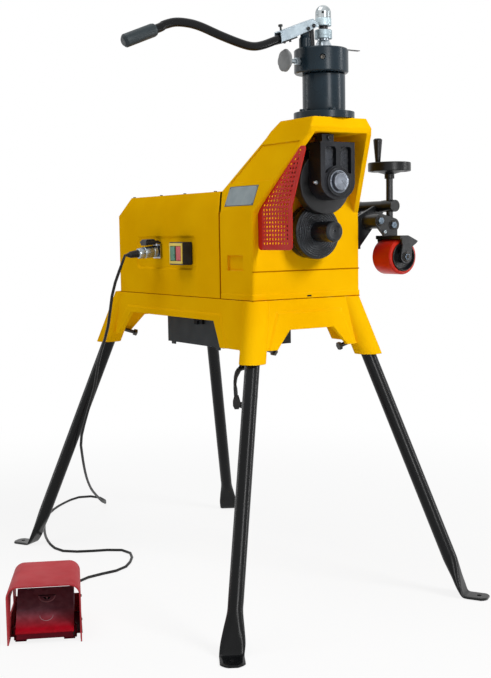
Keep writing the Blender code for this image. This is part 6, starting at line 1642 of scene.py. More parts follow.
def pedal_hood():
    """The steel hood that keeps the treadle from being trodden on by chance."""
    hood = solid("pedal_hood", skin([hood_ring(0, HOOD_HALF_WIDTH, 0),
                                     hood_ring(HOOD_DEPTH, HOOD_REAR_HALF_WIDTH, 0)]))
    hollow = solid("hollow", skin([hood_ring(-OVERRUN, HOOD_HALF_WIDTH, HOOD_WALL),
                                   hood_ring(HOOD_DEPTH - HOOD_WALL, HOOD_REAR_HALF_WIDTH,
                                             HOOD_WALL)]))
    rear_wall_top = 0.050
    inside = HOOD_REAR_HALF_WIDTH - HOOD_WALL
    rear_opening = block("opening", (-inside, HOOD_DEPTH - OVERRUN, rear_wall_top),
                         (inside, HOOD_DEPTH + OVERRUN, HOOD_HEIGHT - HOOD_CORNER))
    cut(hood, hollow, rear_opening)
    foot_reach = 0.046
    foot_top = PLATE_THICKNESS + HOOD_WALL
    taper = (HOOD_HALF_WIDTH - HOOD_REAR_HALF_WIDTH) * foot_reach / HOOD_DEPTH
    for side in SIDES.values():
        outer = (HOOD_HALF_WIDTH, HOOD_HALF_WIDTH - taper)
        foot = [(side * outer[0], 0), (side * outer[1], foot_reach),
                (side * (outer[1] - HOOD_WALL), foot_reach), (side * (outer[0] - HOOD_WALL), 0)]
        weld(hood, prism("foot", foot, "Z", 0, foot_top))
    window_foot = 0.048
    window_top = 0.086
    window_rear = 0.140
    window_foot_front = 0.045
    window_top_front = 0.070
    window = [(window_foot_front, window_foot), (window_rear, window_foot),
              (window_rear, window_top), (window_top_front, window_top)]
    cut(hood, prism("window", window, "X", -HOOD_HALF_WIDTH - OVERRUN, HOOD_HALF_WIDTH + OVERRUN))
    cut(hood, rod("hole", (0, HOOD_DEPTH - OVERRUN, PEDAL_GLAND_Z),
                  (0, HOOD_DEPTH + OVERRUN, PEDAL_GLAND_Z), PEDAL_GLAND_RADIUS + GAP,
                  sides=SMALL_ROUND))
    return hood


PEDAL_GLAND_Z = 0.024
PEDAL_GLAND_RADIUS = 0.008
PEDAL_SWITCH_FRONT = 0.128


def treadle():
    """The ribbed treadle: it rises from its hinge to the toe end under the hood."""
    heel_y = 0.006
    heel_z = 0.025
    toe_y = 0.108
    toe_z = 0.090
    thickness = 0.004
    outline = [(heel_y, heel_z), (heel_y, heel_z - thickness), (toe_y, toe_z - thickness),
               (toe_y, toe_z)]
    plate = prism("treadle", outline, "X", -TREADLE_HALF_WIDTH, TREADLE_HALF_WIDTH)
    eye_radius = 0.006
    eye = rod("eye", (-TREADLE_HALF_WIDTH, TREADLE_HINGE_Y, TREADLE_HINGE_Z),
              (TREADLE_HALF_WIDTH, TREADLE_HINGE_Y, TREADLE_HINGE_Z), eye_radius, sides=16)
    weld(plate, eye)
    rim = 0.018
    for side in SIDES.values():
        edges = sorted((side * TREADLE_HALF_WIDTH, side * (TREADLE_HALF_WIDTH - thickness)))
        skirt = [(TREADLE_HINGE_Y, TREADLE_HINGE_Z), (toe_y, toe_z - rim),
                 (toe_y, toe_z - thickness / 2), (heel_y + thickness, heel_z)]
        weld(plate, prism("skirt", skirt, "X", edges[0], edges[1]))
    cut(plate, rod("hole", (-HOOD_HALF_WIDTH, TREADLE_HINGE_Y, TREADLE_HINGE_Z),
                   (HOOD_HALF_WIDTH, TREADLE_HINGE_Y, TREADLE_HINGE_Z), PEDAL_PIN_RADIUS + GAP,
                   sides=SMALL_ROUND))
    return plate


def pedal_switch():
    """The switch block at the back of the hood, over the cord's gland."""
    half_width = 0.028
    height = 0.045
    foot = PLATE_THICKNESS + GAP
    rear = HOOD_DEPTH - HOOD_WALL - GAP
    switch = block("pedal_switch", (-half_width, PEDAL_SWITCH_FRONT, foot),
                   (half_width, rear, foot + height))
    cut(switch, rod("hole", (0, rear - OVERRUN, PEDAL_GLAND_Z), (0, rear + OVERRUN, PEDAL_GLAND_Z),
                    PEDAL_GLAND_RADIUS + GAP, sides=SMALL_ROUND))
    return switch


def pedal_gland():
    near = HOOD_DEPTH - HOOD_WALL - GAP - OVERRUN / 2
    outside = HOOD_DEPTH + GAP
    nut = 0.012
    end = HOOD_DEPTH + PEDAL_GLAND_LENGTH
    stations = [(near, 0), (near, PEDAL_GLAND_RADIUS), (outside, PEDAL_GLAND_RADIUS),
                (outside, nut, "hex"), (outside + nut, nut, "hex"), (end, GLAND_TIP_RADIUS), (end, 0)]
    return turned("pedal_gland", stations, (0, 0, PEDAL_GLAND_Z), ALONG["Y"],
                  SMALL_ROUND)


PEDAL_GLAND_LENGTH = 0.024
GLAND_TIP_RADIUS = 0.0065


def in_machine(point):
    """A point of the pedal's frame in the machine frame."""
    turn = Matrix.Rotation(PEDAL_TURN, 3, "Z")
    return Vector((PEDAL_X, PEDAL_Y, 0)) + turn @ Vector(point)


# Cords
GLAND_X = -0.008
GLAND_Y = -0.0945
GLAND_LENGTH = 0.026
MAINS_RADIUS = 0.00375

PEDAL_CORD_ROUTE = [
    (-0.2470, 0.0790, 0.8130),
    (-0.2520, 0.0929, 0.7808),
    (-0.2500, 0.1291, 0.7398),
    (-0.2500, 0.1486, 0.6984),
    (-0.2490, 0.1654, 0.6490),
    (-0.2480, 0.1931, 0.6033),
    (-0.2450, 0.2397, 0.5419),
    (-0.2420, 0.2760, 0.4674),
    (-0.2430, 0.3150, 0.4060),
    (-0.2398, 0.3750, 0.3160),
    (-0.2101, 0.4350, 0.2495),
    (-0.1540, 0.5350, 0.1684),
    (-0.0920, 0.6350, 0.1036),
    (-0.0233, 0.7350, 0.0495),
    (0.0150, 0.7850, 0.0200),
    (0.0430, 0.8200, 0.0045),
    (0.0600, 0.8650, 0.0045),
    (0.0560, 0.9080, 0.0045),
    (0.0360, 0.9370, 0.0045),
    (0.0050, 0.9430, 0.0045),
    (-0.0400, 0.9200, 0.0045),
    (-0.1156, 0.8555, 0.0045),
    (-0.1844, 0.7663, 0.0045),
    (-0.2400, 0.6550, 0.0045),
    (-0.2830, 0.5400, 0.0045),
    (-0.3042, 0.4400, 0.0045),
    (-0.2950, 0.3850, 0.0045),
    (-0.2600, 0.3560, 0.0045),
    (-0.2150, 0.3340, 0.0045),
    (-0.1750, 0.3150, 0.0045),
    (-0.1560, 0.2830, 0.0045),
    (-0.1620, 0.2430, 0.0045),
    (-0.1850, 0.2020, 0.0045),
    (-0.2200, 0.1600, 0.0045),
    (-0.2600, 0.1400, 0.0045),
    (-0.3302, 0.1356, 0.0045),
    (-0.3800, 0.1150, 0.0045),
    (-0.4321, 0.0730, 0.0045),
    (-0.4720, 0.0400, 0.0110),
]


def smooth_route(points, step):
    """Even points along a smooth curve through the route's points."""
    fine = []
    padded = [2 * points[0] - points[1]] + points + [2 * points[-1] - points[-2]]
    pieces = 12
    for index in range(1, len(padded) - 2):
        before, start, end, after = padded[index - 1:index + 3]
        for piece in range(pieces):
            t = piece / pieces
            fine.append(0.5 * (2 * start + (end - before) * t
                               + (2 * before - 5 * start + 4 * end - after) * t * t
                               + (3 * start - before - 3 * end + after) * t * t * t))
    fine.append(points[-1])
    lengths = [(b - a).length for a, b in zip(fine, fine[1:])]
    total = sum(lengths)
    count = max(2, round(total / step))
    even = []
    walked = 0
    index = 0
    for number in range(count + 1):
        goal = total * number / count
        while index < len(lengths) - 1 and walked + lengths[index] < goal:
            walked += lengths[index]
            index += 1
        share = min(1, (goal - walked) / lengths[index])
        even.append(fine[index].lerp(fine[index + 1], share))
    return even, total


def cord_object(name, points, radius, resolution):
    curve = bpy.data.curves.new(name, "CURVE")
    curve.dimensions = "3D"
    curve.bevel_depth = radius
    curve.bevel_resolution = resolution
    curve.use_fill_caps = True
    spline = curve.splines.new("POLY")
    spline.points.add(len(points) - 1)
    for spot, point in zip(spline.points, points):
        spot.co = (*point, 1)
    obj = bpy.data.objects.new(name, curve)
    bpy.context.scene.collection.objects.link(obj)
    return obj


def pedal_cord():
    """The cord between the socket on the cover and the pedal, at its real length."""
    heading = (CORD_EXIT - plug_start()).normalized()
    straight = 2 * CORD_RADIUS
    gland_end = in_machine((0, HOOD_DEPTH + PEDAL_GLAND_LENGTH + GAP, PEDAL_GLAND_Z))
    gland_before = in_machine((0, HOOD_DEPTH + PEDAL_GLAND_LENGTH + GAP + straight, PEDAL_GLAND_Z))
    start = [CORD_EXIT, CORD_EXIT + heading * straight]
    route = start[1:] + [Vector(point) for point in PEDAL_CORD_ROUTE] + [gland_before]
    even, _ = smooth_route(route, CORD_RADIUS * 11)
    return cord_object("pedal_cord", start[:1] + even + [gland_end], CORD_RADIUS, 2)


def mains_gland():
    """The gland in the tray's floor that the mains lead hangs from."""
    inside = ELECTRICS_FOOT + OVERRUN / 2
    thread = 0.0080
    nut = 0.012
    seat = ELECTRICS_FOOT - GAP
    end = ELECTRICS_FOOT - GLAND_LENGTH
    stations = [(-inside, 0), (-inside, thread), (-seat, thread), (-seat, nut, "hex"),
                (-seat + nut, nut, "hex"), (-end, GLAND_TIP_RADIUS), (-end, 0)]
    return turned("mains_gland", stations, (GLAND_X, GLAND_Y, 0), -ALONG["Z"],
                  SMALL_ROUND)


HANK_TURNS = 6.85
HANK_HEADING = math.radians(-33)
HANK_X = -0.0095
HANK_Y = -0.1032
HANK_Z = 0.4925
HANK_HALF_LENGTH = 0.049
HANK_HALF_WIDTH = 0.0265
HANK_PITCH = 2 * MAINS_RADIUS + 0.0006
PLUG_ACROSS = -0.0230
PLUG_STACK = 0.0715
PLUG_TOP = 0.4780
PLUG_FOOT = 0.4455


def in_hank(across, stack, height):
    """A point of the hank's frame, whose loops stack to the front left, in the machine frame."""
    turn = Matrix.Rotation(HANK_HEADING, 3, "Z")
    return Vector((HANK_X, HANK_Y, 0)) + turn @ Vector((across, -stack, height))


def hank_point(turn):
    """A point of the hank: long loops that lie side by side."""
    angle = math.pi + 2 * math.pi * turn
    run = HANK_HALF_LENGTH - HANK_HALF_WIDTH
    flatness = 3
    straight = run * math.tanh(flatness * math.sin(angle)) / math.tanh(flatness)
    return in_hank(HANK_HALF_WIDTH * math.cos(angle), turn * HANK_PITCH,
                   HANK_Z + HANK_HALF_WIDTH * math.sin(angle) + straight)


def mains_hank():
    """The mains lead: down from its gland, wound in long loops, and out to its plug."""
    steps = 24
    straight = 2 * MAINS_RADIUS
    loops = [hank_point(number / steps) for number in range(round(HANK_TURNS * steps) + 1)]
    gland_end = Vector((GLAND_X, GLAND_Y, ELECTRICS_FOOT - GLAND_LENGTH - GAP))
    plug_end = in_hank(PLUG_ACROSS, PLUG_STACK, PLUG_TOP + GAP)
    down = Vector((0, 0, -straight))
    into = [gland_end + down, in_hank(-0.0110, -0.0070, 0.5420), in_hank(-0.0210, -0.0040, 0.5210),
            loops[0]]
    out = [loops[-1], in_hank(-0.0265, 0.0605, 0.5120), in_hank(-0.0240, 0.0700, 0.4960),
           plug_end - down]
    before, _ = smooth_route(into, 3 * MAINS_RADIUS)
    after, _ = smooth_route(out, 2 * MAINS_RADIUS)
    points = [gland_end] + before[:-1] + loops + after[1:] + [plug_end]
    return cord_object("mains_hank", points, MAINS_RADIUS, 1)


def mains_plug():
    """The plug at the lead's end, with its two pins at the side."""
    half_width = 0.0090
    half_depth = 0.0110
    neck = 0.005
    shoulder = 0.014
    taper = 0.009
    levels = [(PLUG_TOP, neck, neck), (PLUG_TOP - shoulder, half_width, half_depth),
              (PLUG_FOOT + taper, half_width, half_depth), (PLUG_FOOT, neck, half_depth)]
    rings = []
    for height, wide, deep in levels:
        rings.append([in_hank(PLUG_ACROSS + across, PLUG_STACK + stack, height)
                      for across, stack in ((-wide, -deep), (wide, -deep), (wide, deep),
                                            (-wide, deep))])
    plug = solid("mains_plug", skin(rings))
    pin_radius = 0.0024
    pin_length = 0.018
    pin_half_space = 0.0055
    middle = between(PLUG_FOOT, PLUG_TOP, 2 / 5)
    for stack in (PLUG_STACK - pin_half_space, PLUG_STACK + pin_half_space):
        weld(plug, rod("pin", in_hank(PLUG_ACROSS, stack, middle),
                       in_hank(PLUG_ACROSS + half_width + pin_length, stack, middle), pin_radius,
                       sides=8))
    return plug


# Finer pieces
def loft(keys, steps):
    """Rings that pass smoothly through the key rings."""
    padded = [keys[0]] + keys + [keys[-1]]
    rings = []
    for index in range(1, len(padded) - 2):
        before, start, end, after = padded[index - 1:index + 3]
        for step in range(steps):
            t = step / steps
            rings.append([0.5 * (2 * b + (c - a) * t + (2 * a - 5 * b + 4 * c - d) * t * t
                                 + (3 * b - a - 3 * c + d) * t * t * t)
                          for a, b, c, d in zip(before, start, end, after)])
    return rings + [keys[-1]]


def leg_look(name, side, end):
    """A bent tube whose lower end is pressed flat to a foot with one bolt hole."""
    heel, neck = leg_line(side, end)
    heading = (neck - heel).normalized()
    outward = Vector((side, end * PAD_TURN_SHARE, 0)).normalized()
    across = outward.cross(ALONG["Z"])
    other = heading.cross(across)
    bore = LEG_RADIUS - LEG_WALL
    half_width = math.pi * LEG_RADIUS / 2
    thin = LEG_WALL
    pad_length = 0.056
    bend = 0.012

    def ring(centre, wide, high, rise, fullness=1.0):
        points = []
        for step in range(48):
            angle = 2 * math.pi * step / 48
            lift = max(-1, min(1, fullness * math.sin(angle)))
            points.append(centre + across * wide * math.cos(angle) + rise * high * lift)
        return points

    lift = ALONG["Z"] * thin
    slant = (other + ALONG["Z"]).normalized()
    pad = [(pad_length - 0.0006, 0.50, 0.6), (pad_length, 0.48, 0.9),
           (pad_length - 0.003, 0.68, 1.0), (pad_length - 0.007, 0.88, 1.0),
           (pad_length - bend, 1.0, 1.0), (bend, 1.0, 1.0)]
    front = [ring(heel + lift + outward * along, half_width * wide, thin * high, ALONG["Z"], 1.6)
             for along, wide, high in pad[1:]]
    keys = [front[-1],
            ring(heel + lift * 2, half_width, thin, slant, 1.6),
            ring(on_leg(side, end, 0.026), half_width, thin * 2, other, 1.4),
            ring(on_leg(side, end, 0.052), half_width * 0.86, LEG_RADIUS * 0.62, other, 1.1),
            ring(on_leg(side, end, 0.085), LEG_RADIUS * 1.02, LEG_RADIUS * 0.97, other),
            ring(on_leg(side, end, 0.105), LEG_RADIUS, LEG_RADIUS, other)]
    top = DECK_TOP - DECK_THICKNESS - LEG_WALL
    rings = front[:-1] + loft(keys, 8)
    rings.append(ring(on_leg(side, end, top), LEG_RADIUS, LEG_RADIUS, other))
    rings.append(ring(on_leg(side, end, top), bore, bore, other))
    rings.append(ring(on_leg(side, end, 0.115), bore, bore, other))
    tube = solid(name, skin(rings))
    hole = heel + outward * (pad_length / 2 + bend / 2)
    drill = rod("drill", hole - ALONG["Z"] * OVERRUN, hole + ALONG["Z"] * OVERRUN, 0.0055)
    cut(tube, drill)
    return tube


def cover_ring(height, half_width, front, rear):
    return cornered(half_width, front, rear, height, HOUSING_CORNER)


def rear_cover():
    """The bent sheet cover, open to the head and to the deck."""
    foot = DECK_TOP + GAP
    front = SEAM + GAP
    outer = [cover_ring(foot, HOUSING_HALF_WIDTH, front, COVER_REAR),
             cover_ring(COVER_FOLD, HOUSING_HALF_WIDTH, front, COVER_REAR),
             cover_ring(COVER_TOP, COVER_TOP_HALF_WIDTH, COVER_TOP_FRONT, COVER_TOP_REAR)]
    cover = solid("rear_cover", skin(outer))
    slope_share = (HOUSING_HALF_WIDTH - COVER_TOP_HALF_WIDTH) / (COVER_TOP - COVER_FOLD)
    inner_half_width = HOUSING_HALF_WIDTH - SHEET
    ceiling_half_width = COVER_TOP_HALF_WIDTH - SHEET + SHEET * slope_share
    mouth = SEAM - OVERRUN
    inner = [cover_ring(foot - OVERRUN, inner_half_width, mouth, COVER_REAR - SHEET),
             cover_ring(COVER_FOLD, inner_half_width, mouth, COVER_REAR - SHEET),
             cover_ring(COVER_TOP - SHEET, ceiling_half_width, mouth, COVER_TOP_REAR - SHEET)]
    cut(cover, solid("hollow", skin(inner)))
    weld(cover, block("tray", (-HOUSING_HALF_WIDTH + 0.0008, -0.1200, 0.7780),
                      (-HOUSING_HALF_WIDTH + PRESSED_DEPTH + 0.0015, 0.1935, 0.8715)))
    cut(cover, control_panel(), socket_hole())
    return cover


def handle_tube():
    end_share = 0.8
    end = [between(a, b, end_share) for a, b in zip(GRIP_START, GRIP_END)]
    points = [Vector((x, PUMP_Y, z)) for x, z in HANDLE_ROUTE + [end]]
    return swept("handle_tube", points, TUBE_RADIUS)


PRESSED_DEPTH = 0.0035
GUARD_SIDE = 0.135
GUARD_TOP_X = 0.0955
GUARD_BEND = 0.923
GUARD_TOP = 1.053
GUARD_FRONT = -0.484
GUARD_FOOT = 0.832
GUARD_LEAN = (GUARD_SIDE - GUARD_TOP_X) / (GUARD_TOP - GUARD_BEND)


def on_guard(y, height, inset):
    x = GUARD_SIDE - max(0, height - GUARD_BEND) * GUARD_LEAN - inset
    return Vector((-x, y, height))


def guard():
    """The perforated red sheet beside the rolls, with its round holes in even rows."""
    room = 0.0015
    corner = 0.010
    rear = HEAD_FRONT - GAP
    radius = 0.0028
    thickness = 0.0012
    pitch_y, pitch_z = 0.01085, 0.0096

    def corner_points(y, z, start):
        return [(y + corner * math.cos(math.radians(start + 15 * step)),
                 z + corner * math.sin(math.radians(start + 15 * step))) for step in range(7)]

    throat_edge = [(wall_front(GUARD_TOP) - room, GUARD_TOP),
                   (wall_front(GUARD_BEND) - room, GUARD_BEND)]
    outline = throat_edge + [(rear, FOLD - room)]
    outline += corner_points(rear - corner, GUARD_FOOT + corner, 270)[::-1]
    outline += corner_points(GUARD_FRONT + corner, GUARD_FOOT + corner, 180)[::-1]
    outline.append((GUARD_FRONT, GUARD_BEND))
    outline += corner_points(GUARD_FRONT + corner, GUARD_TOP - corner, 90)[::-1]
    rings = [[on_guard(y, height, inset) for y, height in outline] for inset in (0, thickness)]
    sheet = solid("guard", skin(rings))
    bends = bmesh.new()
    bends.from_mesh(sheet.data)
    bmesh.ops.bisect_plane(bends, geom=bends.verts[:] + bends.edges[:] + bends.faces[:],
                           plane_co=(0, 0, GUARD_BEND), plane_no=(0, 0, 1))
    bends.to_mesh(sheet.data)
    bends.free()

    def inside(y, z, margin):
        if z > GUARD_TOP - margin or z < GUARD_FOOT + margin or y < GUARD_FRONT + margin:
            return False
        limit = rear - margin if z < FOLD else wall_front(z) - room - margin
        return y <= limit

    cutters = bmesh.new()
    lower_rows = [0.8465 + 0.0091 * row for row in range(9)]
    upper_rows = [0.9292 + pitch_z * row for row in range(13)]
    for z in lower_rows + upper_rows:
        for column in range(9):
            y = GUARD_FRONT + 0.0185 + column * pitch_y
            edge = 0.0065 if z > GUARD_BEND else 0.0115
            if not inside(y, z, edge):
                continue
            centre = on_guard(y, z, SHEET / 2)
            normal = Vector((-1, 0, GUARD_LEAN if z > GUARD_BEND else 0)).normalized()
            turn = normal.to_track_quat("Z", "Y").to_matrix().to_4x4()
            place = Matrix.Translation(centre) @ turn
            bmesh.ops.create_cone(cutters, cap_ends=True, segments=14, radius1=radius,
                                  radius2=radius, depth=0.008, matrix=place)
    cut(sheet, solid("holes", cutters))
    flange = block("flange", (-GUARD_SIDE, rear - SHEET, GUARD_FOOT + 0.016),
                   (-GUARD_SIDE + 0.016, rear, FOLD - 0.008))
    weld(sheet, flange)
    return sheet


def control_panel():
    """The pressed panel with sloped walls and round corners for the switch and the socket."""
    rear, front, top, foot, corner = 0.188, -0.1144, 0.866, 0.783, 0.010

    def outline(x, side, head, heel):
        points = []
        for y, z, start in ((rear - side - corner, top - head - corner, 0),
                            (front + side + corner, top - head - corner, 90),
                            (front + side + corner, foot + heel + corner, 180),
                            (rear - side - corner, foot + heel + corner, 270)):
            for step in range(9):
                angle = math.radians(start + 90 * step / 8)
                points.append(Vector((x, y + corner * math.cos(angle),
                                      z + corner * math.sin(angle))))
        return points

    face = -HOUSING_HALF_WIDTH
    rings = [outline(face - OVERRUN, 0, 0, 0), outline(face, 0, 0, 0),
             outline(face + PRESSED_DEPTH, 0.0040, 0.0060, 0.0045)]
    return solid("panel", skin(rings))


def lower_drive_roll():
    """The drive roll: tool ridges on its face, a dimpled nose and the pipe's stop flange."""
    back = HEAD_FRONT - GAP
    chamfer = 0.0012
    bore = SHAFT_RADIUS + GAP
    face = -0.3969
    nose = ROLL_NOSE_FRONT
    stations = [(nose + 0.003, 0), (nose + 0.003, 0.0020), (nose + 0.0006, 0.0038),
                (nose + 0.0006, 0.0140), (nose, 0.0150), (nose, ROLL_NOSE_RADIUS - 0.0025),
                (nose + 0.0025, ROLL_NOSE_RADIUS), (face, ROLL_NOSE_RADIUS)]
    radius = ROLL_NOSE_RADIUS + 0.0015
    while radius < 0.0555:
        stations += [(face, radius), (face - 0.0006, radius + 0.0010),
                     (face - 0.0006, radius + 0.0022), (face + 0.0004, radius + 0.0030)]
        radius += 0.0048
    stations += [(ROLL_FLANGE_FRONT, 0.0572), (ROLL_FLANGE_FRONT, ROLL_FLANGE_RADIUS - chamfer),
                 (ROLL_FLANGE_FRONT + chamfer, ROLL_FLANGE_RADIUS),
                 (-0.3785, ROLL_FLANGE_RADIUS), (-0.3780, 0.0545), (-0.3725, 0.0545),
                 (-0.3720, 0.059), (back, 0.059), (back, bore), (back - ROLL_BORE_DEPTH, bore),
                 (back - ROLL_BORE_DEPTH, 0)]
    return turned("lower_drive_roll", stations, (0, 0, DRIVE_HEIGHT), ALONG["Y"], fillet=0.0004)


def slider():
    """The sliding fork: its front arm with two rough pockets above a ringed boss."""
    arm_back = UPPER_ROLL_FRONT - SLIDER_ROOM
    height = UPPER_ROLL_HEIGHT
    lobe = arc((0, height), SLIDER_HALF_WIDTH, 180, 360, 12, 0.039 / SLIDER_HALF_WIDTH)
    outline = lobe + [(SLIDER_HALF_WIDTH, SLIDER_TOP), (-SLIDER_HALF_WIDTH, SLIDER_TOP)]
    body = prism("slider", outline, "Y", SLIDER_FRONT, arm_back)
    crown = height + UPPER_ROLL_RADIUS + SLIDER_ROOM
    bridge = block("bridge", (-SLIDER_HALF_WIDTH, arm_back - SLIDER_ROOM, crown),
                   (SLIDER_HALF_WIDTH, SLIDER_REAR, SLIDER_TOP))
    rear_arm = block("rear_arm", (-SLIDER_HALF_WIDTH, UPPER_ROLL_REAR + SLIDER_ROOM, ARM_FOOT),
                     (SLIDER_HALF_WIDTH, SLIDER_REAR, crown + SLIDER_ROOM))
    boss = turned("boss", [(0, 0), (0, 0.0295), (-0.0008, 0.0302), (-0.0008, 0.0312),
                           (0, 0.032), (0.044, 0.032), (0.044, 0)],
                  (0, -0.474, height), ALONG["Y"])
    stop = block("stop", (-0.040, -0.466, SLIDER_TOP - SLIDER_ROOM),
                 (-0.008, PUMP_Y - RAM_RADIUS - SLIDER_ROOM, SLIDER_TOP + 0.0165))
    weld(body, bridge, rear_arm, boss, stop)
    corner = 0.0075
    top = 1.0540
    ring = 0.0350
    for low in (-0.0342, 0.0070):
        high = low + 0.0295
        shape = []
        for centre, start in ((high - corner, 0), (low + corner, 90)):
            for step in range(7):
                angle = math.radians(start + 15 * step)
                shape.append((centre + corner * math.cos(angle),
                              top - corner + corner * math.sin(angle)))
        for step in range(13):
            x = low + (high - low) * step / 12
            foot = height + math.sqrt(max(ring * ring - x * x, 0))
            shape.append((x, max(foot, height + 0.018)))
        cut(body, prism("pocket", shape, "Y", SLIDER_FRONT - OVERRUN, SLIDER_FRONT + 0.013))
    front = SLIDER_FRONT - OVERRUN
    cut(body, rod("bore", (0, front, height), (0, SLIDER_REAR - PIN_SHOULDER, height),
                  PIN_RADIUS + GAP),
        rod("seat", (0, front, height), (0, arm_back - SLIDER_ROOM, height), BUSH_RADIUS + GAP))
    return body


def pocket_floor(low):
    """The rough cast floor of one of the slider's pockets."""
    floor = bmesh.new()
    bmesh.ops.create_grid(floor, x_segments=22, y_segments=34, size=0.5)
    top, foot = 1.0545, 0.992
    rough = random.Random(7)
    for vert in floor.verts:
        x = low + 0.0295 * (vert.co.x + 0.5)
        z = foot + (top - foot) * (vert.co.y + 0.5)
        vert.co = Vector((x, SLIDER_FRONT + 0.0125 - 0.0022 * rough.random(), z))
    bmesh.ops.reverse_faces(floor, faces=floor.faces)
    for face in floor.faces:
        centre = face.calc_center_median()
        if centre.x * centre.x + (centre.z - UPPER_ROLL_HEIGHT) ** 2 < 0.0335 ** 2:
            face.select = True
    bmesh.ops.delete(floor, geom=[face for face in floor.faces if face.select], context="FACES")
    return solid("floor", floor)


def roll_bush():
    """The bright bush in the slider's front arm, with a dark step inside its rim."""
    near = -0.475
    far = UPPER_ROLL_FRONT - 2 * SLIDER_ROOM - GAP
    inner = PIN_RADIUS + GAP
    stations = [(near + 0.0035, inner), (near + 0.0035, inner + 0.0016), (near, inner + 0.0022),
                (near, BUSH_RADIUS - 0.0008), (near + 0.0008, BUSH_RADIUS), (far, BUSH_RADIUS),
                (far, inner)]
    return turned("roll_bush", stations, (0, 0, UPPER_ROLL_HEIGHT), ALONG["Y"], closed=True,
                  fillet=0.0003)


def roll_pin():
    """The pin through the slider and the grooving roll, with a centre mark in its face."""
    far = SLIDER_REAR - PIN_SHOULDER - GAP
    stations = [(PIN_FRONT + 0.0040, 0), (PIN_FRONT + 0.0006, 0.0020), (PIN_FRONT, 0.0026),
                (PIN_FRONT, PIN_RADIUS - 0.0012), (PIN_FRONT + 0.0012, PIN_RADIUS),
                (far, PIN_RADIUS), (far, 0)]
    return turned("roll_pin", stations, (0, 0, UPPER_ROLL_HEIGHT), ALONG["Y"], fillet=0.0003)


def release_knob():
    """The lobed knob that lets the oil back; its stem and hexagon are drawn apart."""
    lobes = 7
    profile = [(-0.0045, 0.0), (-0.0045, 0.0195), (-0.0034, 0.0225), (-0.0012, 0.0242),
               (0.0012, 0.0242), (0.0034, 0.0225), (0.0045, 0.0195), (0.0045, 0.009),
               (0.0105, 0.0078), (0.0105, 0.0)]
    rings = []
    for along, radius in profile:
        centre = Vector((KNOB_X + along, PUMP_Y, KNOB_Z))
        if radius == 0:
            rings.append([centre])
            continue
        ring = []
        for step in range(84):
            angle = 2 * math.pi * step / 84
            swell = 1 - 0.055 * (1 - abs(math.cos(angle * lobes / 2))) if radius > 0.015 else 1
            ring.append(centre + Vector((0, math.cos(angle), math.sin(angle))) * radius * swell)
        rings.append(ring)
    return solid("release_knob", skin(rings))


def knob_stem():
    surface = COLLAR_X - COLLAR_RADIUS
    stations = [(KNOB_X + 0.010, 0), (KNOB_X + 0.010, KNOB_STEM_RADIUS),
                (-0.0768, KNOB_STEM_RADIUS), (surface + 0.0035, KNOB_STEM_RADIUS),
                (surface + 0.0035, 0)]
    return turned("stem", stations, (0, PUMP_Y, KNOB_Z), ALONG["X"], fillet=0.0003)


def knob_hexagon():
    surface = COLLAR_X - COLLAR_RADIUS
    stations = [(-0.0768, 0.0040, "hex"), (-0.0768, 0.0070, "hex"), (-0.0758, 0.0080, "hex"),
                (surface - 0.0014, 0.0080, "hex"), (surface - 0.0006, 0.0072, "hex"),
                (surface - 0.0006, 0.0040, "hex")]
    return turned("hexagon", stations, (0, PUMP_Y, KNOB_Z), ALONG["X"], closed=True)


def filler_stem():
    """The filler's cone, collar, frosted nut ring and dark neck below the cap."""
    foot = COLLAR_TOP + GAP
    top = CAP_FOOT - GAP
    stations = [(foot, 0), (foot, 0.0218), (foot + 0.0030, 0.0218), (1.2700, 0.0212),
                (1.2790, 0.0168), (1.2860, 0.0128), (1.2890, 0.0128), (1.2890, 0.0182),
                (1.2902, 0.0190), (1.2958, 0.0190), (1.2964, 0.0186), (1.2970, 0.0190),
                (1.3073, 0.0190), (1.3085, 0.0180), (1.3085, 0.0093), (top, 0.0093), (top, 0)]
    return turned("filler_stem", stations, (0, PUMP_Y, 0), ALONG["Z"], fillet=0.0004)


def dome_cap():
    """The filler's cap: a frosted band under a bright dome with a small vent hole."""
    band_top = 1.3330
    radius = 0.0172
    top = 1.362
    dome_foot = top - radius
    stations = [(CAP_FOOT, 0), (CAP_FOOT, 0.0172), (CAP_FOOT + 0.0006, 0.0178),
                (band_top - 0.0004, 0.0178), (band_top, radius)]
    for step in range(14):
        angle = math.pi / 2 * step / 14
        stations.append((dome_foot + radius * math.sin(angle), radius * math.cos(angle)))
    stations.append((top, 0))
    cap = turned("dome_cap", stations, (0, PUMP_Y, 0), ALONG["Z"], fillet=0.0002)
    heading = Vector((math.cos(math.radians(-130)), math.sin(math.radians(-130)), 0))
    vent = Vector((0, PUMP_Y, 1.3440))
    cut(cap, rod("vent", vent + heading * 0.010, vent + heading * 0.03, 0.0024))
    return cap


def roller_axle():
    """The axle's dark washer and round head."""
    front = ROLLER_FRONT - ROLLER_ROOM - FORK_PLATE - GAP
    rear = ROLLER_REAR + ROLLER_ROOM + FORK_PLATE + 0.005
    stations = [(front - 0.0050, 0), (front - 0.0050, 0.0052), (front - 0.0042, 0.0062),
                (front - 0.0012, 0.0062), (front - 0.0012, 0.0112), (front, 0.0116),
                (front, AXLE_RADIUS), (rear, AXLE_RADIUS), (rear, 0)]
    return turned("roller_axle", stations, (ROLLER_X, 0, ROLLER_Z), ALONG["Y"], fillet=0.0004)


